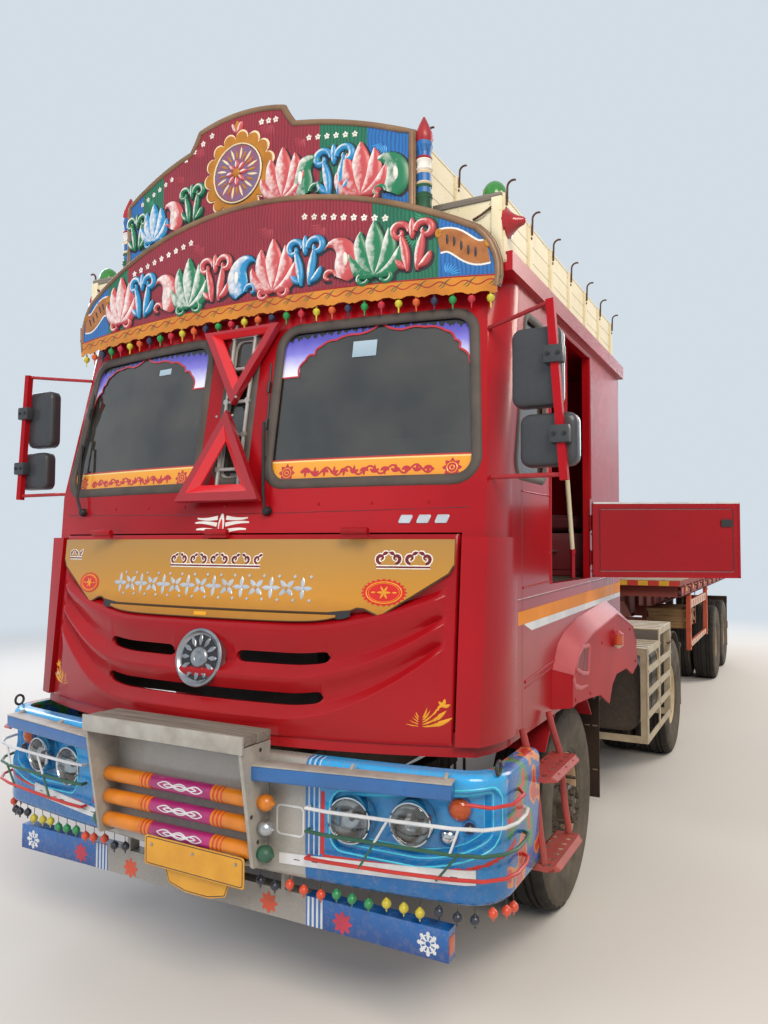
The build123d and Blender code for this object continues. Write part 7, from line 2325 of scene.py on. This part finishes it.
# Battery box, air tanks and silencer
# On the right side: a folded steel battery box with a ribbed lid and latches, two welded air reservoirs
# with straps and drain cocks, and the drum silencer under the cab.
AIR_TANK_X, SILENCER_X = -800, -700
finish("right_side_tanks", tank_black)
stores = []
for k in range(5):
    y = 3206 + 108 * k
    stores += [
        (box((-1190, y, 1058), (-570, y + 56, 1070), 4), tank_black),
        (box((-1207, y, 660), (-1199, y + 56, 1020), 3), tank_black)]
for y in (3300, 3640):
    stores += [
        (box((-1214, y - 22, 980), (-1200, y + 22, 1046), 4), bright_steel),
        (tube([(-1212, y, 985), (-1216, y, 1010), (-1206, y, 1050)], 5, 6), bright_steel)]
for z in (680, 940):
    for y0 in (3880, 4120):
        stores.append((lathe([(0, 120), (0, 124), (36, 124), (36, 120)], (AIR_TANK_X, y0, z), "Y", 40),
            strap_tan))
    stores += [
        (lathe([(-18, 0), (-18, 52), (-10, 94), (0, 118)], (AIR_TANK_X, 3842, z), "Y", 32), tank_black),
        (lathe([(0, 118), (10, 94), (18, 52), (18, 0)], (AIR_TANK_X, 4198, z), "Y", 32), tank_black),
        (tube([(AIR_TANK_X, 4020, z - 118), (AIR_TANK_X, 4020, z - 138)], 8, 8), bright_steel)]
for y0 in (2152, 2500, 2880):
    stores.append((lathe([(0, 130), (0, 136), (18, 136), (18, 130)], (SILENCER_X, y0, 700), "Y", 40),
        rust_steel))
stores.append((tube([(SILENCER_X, 3036, 700), (SILENCER_X, 3080, 700)], 47, 16), rust_steel))
piece("side_store_fittings", stores)

# Side cages
# Home-made guards of flat bar round the tank and the battery side, brushed cream, bolted at every crossing.
cage_cream = enamel("cage_cream_enamel", "#b9ad93", "#a1947a", 0.5, patch_mm=90, dust=0.5, dust_top_z=1.7,
    chips=0.06, chip_colour="#6a4a33")
finish("side_cages", cage_cream)
cage = []
for side in (-1, 1):
    for y in (3115, 3665, 4255):
        for z in (495, 665, 825, 985, 1125):
            cage.append((bolt_head(side * 1299, y, z, 8, 10), cage_cream))
    for y, top in ((3090, 1150), (3640, 1150), (3640, 1240), (4280, 1240)):
        cage.append((tube([(side * 704, y, top - 6), (side * 1296, y, top - 6)], 7, 8), cage_cream))
    cage += [
        (tube([(side * 1296, 3094, 480), (side * 1296, 3094, 1146)], 8, 8), cage_cream),
        (tube([(side * 1290, 4130, 1080), (side * 1306, 4140, 1080), (side * 1306, 4230, 1080)], 9, 8),
            rust_steel)]
piece("cage_bolts", cage)

# Mudflaps and mudguards
# Cut from old conveyor belt, brown-black, with rows of pale dashes cut through to the cloth; the arched
# guards over the drive wheels are rolled steel.
flap_brown = road_rubber("belt_rubber", "#2a1f19", "#473528")
flap_dash = enamel("flap_dash_enamel", "#8d7a66", "#74624f", 0.7, patch_mm=40, dust=0.3)
finish("front_mudflaps", flap_brown)
finish("rear_mudguards", frame_paint)
finish("trailer_mudflaps", flap_brown)
FLAP_BOLT = ((0, 0), (0, 12), (-5, 11), (-6, 0))
flaps, rear_flaps = [], []
for side in (-1, 1):
    for level in (540, 800):
        for k in range(9):
            x = 782 + 46 * k
            flaps.append((box((side * x, 2010, level), (side * (x + 30), 2015, level + 7), 1), flap_dash))
    for x in (800, 900, 1000, 1100, 1160):
        flaps.append((lathe(FLAP_BOLT, (side * x, 2014, 970), "Y", 8), bright_steel))
    for x in (700, 850, 1000, 1150):
        flaps.append((lathe(FLAP_BOLT, (side * x, 5469, 905), "Y", 8), bright_steel))
        rear_flaps += [
            (lathe(FLAP_BOLT, (side * x, 11500, 990), "Y", 8), bright_steel),
            (box((side * x - 40, 11496, 330), (side * x + 40, 11501, 400), 1), flap_dash)]
piece("flap_dashes", flaps)
piece("trailer_flap_dashes", rear_flaps, body="trailer")

# Coupling
# Fifth wheel of cast steel on a fabricated stand, its plate bright where the trailer rubs it and packed
# with grease elsewhere, with coiled air lines rising to the trailer.
COUPLING_Y = 4500
finish("fifth_wheel", cast_iron)
grip = [(tube([(-452, COUPLING_Y, 1248), (-520, COUPLING_Y, 1248), (-600, COUPLING_Y, 1240),
    (-640, COUPLING_Y, 1246)], 11, 10), bright_steel)]
for side in (-1, 1):
    grip.append((lathe([(-8, 0), (-8, 44), (0, 48), (70, 48), (78, 40), (78, 0)],
        (side * 330 - 35, COUPLING_Y, 1180), "X", 24), cast_iron))
    for y in (4320, 4400, 4600, 4680):
        grip.append((lathe([(0, 0), (0, 19), (16, 18), (17, 0)], (side * 395, y, 1010), "Z", 6),
            frame_paint))
piece("coupling_fittings", grip)

# Guard behind the cab
# A screen of steel angle with round cross wires, black posts and cream wires, bolted to the frame.
GUARD_HALF = 1060
guard = []
for x in (-GUARD_HALF, -390, 390, GUARD_HALF):
    guard += [
        (box((x - 20, 2730, 1000), (x + 20, 2735, 3030)), black_steel_and_slot_shade),
        (box((x - 20, 2735, 1000), (x - 14, 2770, 3030)), black_steel_and_slot_shade),
        (box((x - 22, 2728, 1000), (x + 22, 2772, 1012), 2), black_steel_and_slot_shade)]
for z in (1000, 2990):
    guard += [
        (box((-GUARD_HALF, 2730, z), (GUARD_HALF, 2735, z + 40)), black_steel_and_slot_shade),
        (box((-GUARD_HALF, 2735, z + 34), (GUARD_HALF, 2770, z + 40)), black_steel_and_slot_shade)]
for z in range(1200, 2960, 160):
    guard.append((tube([(-GUARD_HALF, 2750, z), (GUARD_HALF, 2750, z)], 8, 8), cage_cream))
for x in (-390, 390):
    guard.append((tube([(x, 2764, 1010), (x * 1.04, 2764, 2980)], 6, 6), cage_cream))
piece("guard_screen", guard, replaces=("back_guard",))

# Trailer frame
# Two deep plate girders with cross members, brushed dull red and brown with dust, webs stiffened by flat
# plates.
trailer_red = enamel("dusty_trailer_red_enamel", "#8a2b26", "#75231f", 0.55, patch_mm=260, dust=0.6,
    dust_top_z=2.2, chips=0.05, chip_colour="#4d2b20")
finish("trailer_frame", trailer_red)
girder = []
for side in (-1, 1):
    for y in range(5300, 12000, 620):
        low = 1302 if y < 6150 else (1302 - (y - 6150) * 0.42 if y < 6650 else 1092)
        girder.append((box((side * 508, y, low + 6), (side * 552, y + 10, 1476), 2), trailer_red))
    line = [(side * 470, 5300 + 350 * k, 1330 + 14 * math.sin(k * 1.7)) for k in range(18)]
    girder.append((tube(line, 9, 6), rubber_black))
for x in (-1130, -1010, 1010, 1130):
    girder.append((lathe([(0, 0), (0, 46), (10, 46), (14, 40), (16, 0)], (x, 12146, 540), "Y", 24),
        red_lens))
for k in range(8):
    x = -840 + 240 * k
    girder.append((box((x, 12148, 505), (x + 120, 12151.5, 575), 1), white_line if k % 2 else red_line))
piece("trailer_frame_fittings", girder, body="trailer")

# Trailer deck
# Hardwood boards laid lengthwise on the cross members, bleached grey and scuffed, between red channel edges
# with rope hooks and stake pockets. Red and yellow tape marks the front edge.
deck_wood = weathered_wood("deck_hardwood", "#98856a", "#6b5a45", 1, ring_mm=18)
tape_red = enamel("reflective_tape_red", "#c22a20", "#b0241b", 0.35, patch_mm=40, dust=0.3, dust_top_z=3)
tape_yellow = enamel("reflective_tape_yellow", "#d9a62a", "#c8951f", 0.35, patch_mm=40, dust=0.3,
    dust_top_z=3)
deck = [(box((-1240, 5362, 1490), (1240, 12198, 1522)), trailer_red)]
BOARD_WIDE = 2496 / 12
for column in range(12):
    x0 = -1248 + BOARD_WIDE * column
    start = 5363
    for k, end in enumerate((7600, 9900, 12198) if column % 2 else (6500, 8800, 11000, 12198)):
        deck.append((box((x0 + 3, start + 2, 1522), (x0 + BOARD_WIDE - 3, end - 2,
            1549 - (column * 7 + k * 3) % 4), 3), deck_wood))
        for y in (start + 60, end - 60):
            for x in (x0 + 50, x0 + BOARD_WIDE - 50):
                deck.append((lathe([(0, 0), (0, 11), (1.2, 9), (1.2, 0)], (x, y, 1548.6), "Z", 8),
                    rust_steel))
        start = end
for side in (-1, 1):
    on_edge = on_flank(side, 1250)
    # the channel's upper flange, lower flange and web, and the rim that holds the boards
    for x, y, z_low, z_high, bevel in ((1212, 5480, 1480, 1492, 1), (1212, 5480, 1380, 1391, 1),
            (1242, 5480, 1380, 1492, 1), (1242, 5362, 1490, 1550, 2)):
        deck.append((box((side * x, y, z_low), (side * 1250, 12199, z_high), bevel), trailer_red))
    for y in range(5700, 12000, 610):
        deck.append((slab(oblong(y - 40, 1400, y + 40, 1500), on_edge, 14, 4), trailer_red))
        hook = [on_edge(y + 250, 1470, 2), on_edge(y + 250, 1462, 26), on_edge(y + 250, 1440, 34),
            on_edge(y + 250, 1412, 28)]
        deck.append((tube(hook, 8, 8), rust_steel))
    for k in range(22):
        y = 5500 + 300 * k
        deck.append((slab(oblong(y, 1425, y + 150, 1470), on_edge, 1.2),
            tape_yellow if k % 2 else tape_red))
for k in range(25):
    x = -1248 + 100 * k
    deck.append((slab(oblong(x, 1496, x + 96, 1544), lambda u, v, w: Vector((u, 5361 - w, v)), 1.5),
        tape_yellow if k % 2 else tape_red))
deck += [
    (box((-1248, 5360, 1492), (1248, 5364, 1549), 1), trailer_red),
    (box((-1248, 12192, 1492), (1248, 12200, 1549), 1), trailer_red)]
piece("deck_boards", deck, body="trailer", replaces=("trailer_deck",))

# Side guards
# Posts of orange-red angle carrying two cream rails a side, faced with bands of reflective tape.
guard_orange = enamel("side_guard_orange_enamel", "#c24a26", "#a93d1d", 0.45, patch_mm=120, dust=0.4,
    dust_top_z=2.0, chips=0.05)
pale_rail = enamel("pale_rail_enamel", "#cfc0a2", "#b8a888", 0.45, patch_mm=120, dust=0.4, dust_top_z=2.0)
finish("side_guards", guard_orange)
rails = []
for side in (-1, 1):
    on_rail = on_flank(side, 1235)
    for z0, z1 in ((792, 848), (1217, 1303)):
        rails.append((slab(oblong(6284, z0, 7966, z1), on_rail, 3, 1), pale_rail))
        for k in range(7):
            y = 6300 + 240 * k
            rails.append((slab(oblong(y, z0 + 10, y + 110, z1 - 10), lambda u, v, w: on_rail(u, v, w + 3),
                1), tape_red))
    for y in (6240, 8010):
        for z in (820, 1000, 1180, 1350):
            rails.append((bolt_head(side * 1250, y, z, 8, 12), guard_orange))
piece("side_guard_rails", rails, body="trailer")

# Landing legs
# Telescopic square legs with feet, wound by a crank at the left, in the trailer's red with bright inner
# tubes.
finish("landing_legs", trailer_red)
legs = []
for side in (-1, 1):
    for z in (520, 760, 1030):
        legs.append((box((side * 636, 6836, z), (side * 764, 6964, z + 14), 3), trailer_red))
    for y in (6860, 6940):
        legs.append((bolt_head(side * 762, y, 1120, 8, 12), bright_steel))
legs.append((tube([(762, 6900, 1000), (850, 6900, 1000), (862, 6900, 990), (866, 6900, 840),
    (876, 6900, 828), (960, 6900, 828)], 10, 10), bright_steel))
piece("landing_leg_fittings", legs, body="trailer")

# Dunnage
# Short sawn boards kept for chocking loads, stacked crosswise on a hung steel tray beneath the deck on the
# left, behind the first guard post.
BOARD_THICK = 35
sawn_board = weathered_wood("sawn_softwood", "#a88a5f", "#7c6242", 0, ring_mm=12)
stack = []
for layer in range(6):
    for k in range(8):
        shift = 14 * math.sin(2.3 * layer + 1.7 * k)
        y = 6318 + 97 * k
        stack.append((box((790 + shift, y, 996 + BOARD_THICK * layer),
            (1186 + shift, y + 92 - layer % 2 * 3, 1029 + BOARD_THICK * layer), 2), sawn_board))
for y in (6330, 7060):
    stack += [
        (box((772, y, 988), (1206, y + 40, 995), 2), trailer_red),
        (box((1200, y, 988), (1206, y + 40, FRONT_AXLE_Y), 2), trailer_red),
        (box((772, y, 988), (778, y + 40, FRONT_AXLE_Y), 2), trailer_red)]
piece("dunnage_stack", stack, body="trailer")

# Cab floor and dashboard
# Ribbed rubber mat over the floor and engine tunnel, a moulded dark brown dashboard with round dials, and a
# big two-spoke steering wheel bound with cord.
DASH_Y, WHEEL_R = 560, 237
floor_rubber = road_rubber("floor_mat_rubber", "#2b2a28", "#5a4e40")
dash_brown = enamel("dashboard_plastic", "#3a2c26", "#2d211d", 0.5, patch_mm=160, grain_mm=2, ripple=0.06,
    dust=0.1, dust_top_z=4)
trim_maroon = enamel("maroon_trim_vinyl", "#6e1b24", "#5b141c", 0.5, patch_mm=220, grain_mm=3, ripple=0.05)
finish("cab_floor", floor_rubber)
finish("dashboard", dash_brown)
fittings = []
for k in range(22):
    x = -1090 + 104 * k
    if abs(x) > 420:
        fittings.append((box((x - 14, 380, 1700), (x + 14, 1180, 1704), 1), floor_rubber))
for k in range(7):
    x = -360 + 120 * k
    fittings.append((box((x - 14, 600, 1900), (x + 14, 2380, 1904), 1), floor_rubber))


def on_dash(u, v, w):
    """A point on the face of the dashboard, before the steering wheel."""
    return Vector((u, DASH_Y + w, v))


for u, radius in ((-830, 52), (-700, 62), (-560, 62), (-440, 44), (-340, 44)):
    dial = lathe([(0, 0), (0, radius - 6), (5, radius - 6), (5, radius - 2), (9, radius), (12, radius),
        (12, radius + 5), (0, radius + 7)], (u, DASH_Y, 2040), "Y", 32)
    fittings.append((dial, black_steel_and_slot_shade))
    for k in range(9):
        angle = math.radians(-30 + 30 * k)
        start = on_dash(u + (radius - 20) * math.cos(angle), 2040 + (radius - 20) * math.sin(angle), 5)
        end = on_dash(u + (radius - 10) * math.cos(angle), 2040 + (radius - 10) * math.sin(angle), 5)
        fittings.append((tube([start, end], 1.5, 4), sign_white))
for k in range(6):
    u = -200 + 64 * k
    fittings.append((box((u, 558, 2030), (u + 40, 572, 2056), 3), black_steel_and_slot_shade))
for u0 in (300, 700):
    fittings += [
        (box((u0, 556, 1940), (u0 + 340, 566, 2100), 4), trim_maroon),
        (tube([(u0 + 140, 566, 2078), (u0 + 140, 584, 2078), (u0 + 200, 584, 2078), (u0 + 200, 566, 2078)],
            5, 8), bright_steel)]
lean = Matrix.Translation((-640, 800, 2260)) @ Matrix.Rotation(math.radians(-28), 4, "X")
wheel_ring = [lean @ Vector((WHEEL_R * math.cos(a), WHEEL_R * math.sin(a), 0))
    for a in [math.pi * k / 24 for k in range(48)]]
fittings.append((tube(wheel_ring, 17, 10, closed=True), black_steel_and_slot_shade))
for k in range(40):
    a = 2 * math.pi * k / 40
    turn_centre = Vector((WHEEL_R * math.cos(a), WHEEL_R * math.sin(a), 0))
    out, up = Vector((math.cos(a), math.sin(a), 0)), Vector((0, 0, 1))
    loop = [lean @ (turn_centre + out * 18 * math.cos(b) + up * 18 * math.sin(b))
        for b in [math.pi * j / 4 for j in range(8)]]
    fittings.append((tube(loop, 3.5, 5, closed=True), trim_maroon if k % 2 else cream_enamel))
for a in (0, math.pi):
    fittings.append((tube([lean @ Vector((30 * math.cos(a), 0, -16)),
        lean @ Vector((225 * math.cos(a), 0, 0))], 14, 8), bright_steel))
lever = [(-240, 980, 1900), (-240, 975, 2080), (-250, 960, 2210)]
fittings += [
    (tube(lever, 11, 8), bright_steel),
    (lathe([(-30, 0), (-28, 14), (-10, 28), (10, 30), (26, 20), (32, 0)], (-250, 958, 2224), "Z", 16),
        black_steel_and_slot_shade)]
for x in (-790, -640, -500):
    fittings += [
        (box((x - 34, 480, 1760), (x + 34, 496, 1850), 5), black_steel_and_slot_shade),
        (tube([(x, 470, 1800), (x, 400, 1900)], 9, 6), black_steel_and_slot_shade)]
piece("cab_inside_fittings", fittings)

# Seats and bunk
# Foam cushions in dark maroon leathercloth with sewn channels, piped along their edges, on folded steel
# boxes; a bunk mattress across the back wears the same cover.


def leathercloth(name, colour, shade):
    """Coated seat cloth: soft sheen, fine pebbled grain, darker where it is sat on."""
    cover, tree = blank_material(name)
    place = node(tree, "TexCoord").outputs["Object"]
    worn = node(tree, "TexNoise", {"Scale": 1 / (160 * MM), "Detail": 5.0}, {"Vector": place})
    body = node(tree, "Mix", {"data_type": "RGBA", 6: linear(colour), 7: linear(shade)}, {0: worn})
    pebble = node(tree, "TexVoronoi", {"Scale": 1 / (4 * MM)}, {"Vector": place})
    bump = node(tree, "Bump", {"Strength": 0.3, "Distance": 0.001}, {"Height": pebble})
    skin = node(tree, "BsdfPrincipled", {"Roughness": 0.45, "Sheen Weight": 0.1, "Specular IOR Level": 0.2},
        {"Base Color": body.outputs[2], "Normal": bump})
    node(tree, "OutputMaterial", {}, {"Surface": skin})
    return cover


seat_cloth = leathercloth("maroon_leathercloth", "#5c1f26", "#45161c")
seat_piping = leathercloth("cream_piping", "#cbb994", "#b3a07a")


def crowned_cushion(low, high, crown_axis, channels, crown):
    """A closed cushion: sides drawn in between its corners, the top crowned, and channels sewn across
    it."""
    size = [high[i] - low[i] for i in range(3)]
    middle = [(high[i] + low[i]) / 2 for i in range(3)]
    flat = [axis for axis in range(3) if axis != crown_axis]
    made = bmesh.new()
    bmesh.ops.create_cube(made, size=2.0)
    bmesh.ops.subdivide_edges(made, edges=list(made.edges), cuts=23, use_grid_fill=True)
    for v in made.verts:
        spot = [v.co[0], v.co[1], v.co[2]]
        a, b, c = spot[flat[0]], spot[flat[1]], spot[crown_axis]
        corner = (abs(a) ** 6 + abs(b) ** 6) / 2
        drawn = 1 - 0.035 * (1 - min(1, corner * 1.4))
        round_off = 1 / max(1, (abs(a) ** 12 + abs(b) ** 12 + abs(c) ** 10) ** (1 / 11))
        rise = (1 - a ** 4) * (1 - b ** 4)
        groove = 0
        if c > 0.5 and channels:
            phase = (b * 0.5 + 0.5) * channels
            groove = math.exp(-((phase - round(phase))
                * size[flat[1]] / channels / 9) ** 2) * (0 < round(phase) < channels)
        spot[flat[0]] = a * round_off * (drawn if abs(b) < 1 else 1)
        spot[flat[1]] = b * round_off * (drawn if abs(a) < 1 else 1)
        offset = (crown - 14 * groove) * rise if c > 0 else 0
        place = [middle[axis] + spot[axis] * size[axis] / 2 for axis in range(3)]
        place[crown_axis] = middle[crown_axis] + c * round_off * (size[crown_axis] / 2 - crown) + offset
        v.co = Vector(place)
    made.verts.index_update()
    verts, faces = [v.co.copy() for v in made.verts], [tuple(v.index for v in f.verts) for f in made.faces]
    made.free()
    return verts, faces


def swelled(part, low, high, reach=12):
    """Blow the cushion up as cloth, hold how far each point may move, and keep it inside its solid."""
    mesh = bpy.data.meshes.new("cushion_at_work")
    mesh.from_pydata([Vector(v) * MM for v in part[0]], [], part[1])
    work = bpy.data.objects.new("cushion_at_work", mesh)
    bpy.context.collection.objects.link(work)
    start = [v.co.copy() for v in mesh.vertices]
    cloth = work.modifiers.new("foam", "CLOTH")
    cloth.settings.use_pressure = True
    cloth.settings.uniform_pressure_force = 4
    cloth.settings.effector_weights.gravity = 0
    cloth.settings.quality = 4
    scene = bpy.context.scene
    for count in range(1, 15):
        scene.frame_set(count)
    done = work.evaluated_get(bpy.context.evaluated_depsgraph_get()).data
    verts = []
    for before, vertex in zip(start, done.vertices):
        step = vertex.co - before
        if step.length > reach * MM:
            step = step.normalized() * reach * MM
        spot = (before + step) / MM
        verts.append(Vector([min(max(spot[i], low[i] + 1), high[i] + 9) for i in range(3)]))
    scene.frame_set(1)
    bpy.data.objects.remove(work)
    return verts, part[1]


def pad(name, low, high, crown_axis, channels, crown):
    """One padded piece: crowned, swelled, and smoothed once."""
    inner_low = [low[i] + 8 for i in range(3)]
    inner_high = [high[i] - 8 for i in range(3)]
    part = crowned_cushion(inner_low, inner_high, crown_axis, channels, crown)
    part = swelled(part, low, high)
    item = piece(name, [(part, seat_cloth)], smooth=60)


SEAT_X = 640
for side, name in ((-1, "driver"), (1, "mate")):
    x = side * SEAT_X
    pad(f"{name}_seat_cushion", (x - 228, 1250, 1982), (x + 228, 1715, 2108), 2, 5, 16)
    pad(f"{name}_seat_back", (x - 226, 1722, 2112), (x + 226, 1828, 2648), 1, 0, 10)
pad("bunk_mattress", (-1146, 1874, 1960), (1146, 2476, 2078), 2, 0, 14)
frames = []
for side in (-1, 1):
    x = side * SEAT_X
    frames += [
        (box((x - 188, 1292, 1702), (x + 188, 1698, 1960), 10), black_steel_and_slot_shade),
        (box((x - 214, 1262, 1958), (x + 214, 1712, 1980), 6), black_steel_and_slot_shade)]
    for step in (-120, 120):
        frames.append((tube([(x + step, 1700, 1966), (x + step, 1760, 1990), (x + step, 1790, 2120)], 11,
            8), bright_steel))
    for level in (2002, 2100):
        edge = rounded(oblong(x - 220, 1258, x + 220, 1706), 40, 5)
        frames.append((tube([(u, v, level - (6 if level > 2050 else 0)) for u, v in edge], 4, 6,
            closed=True), seat_piping))
frames.append((box((-1144, 1876, 1702), (1144, 2474, 1958), 8), trim_maroon))
for k in range(4):
    x = -1000 + 580 * k
    frames += [
        (box((x, 1868, 1740), (x + 420, 1878, 1920), 4), trim_maroon),
        (tube([(x + 180, 1868, 1850), (x + 180, 1852, 1850), (x + 240, 1852, 1850), (x + 240, 1868, 1850)],
            5, 8), bright_steel)]
piece("seat_frames", frames, replaces=("cab_seats",))
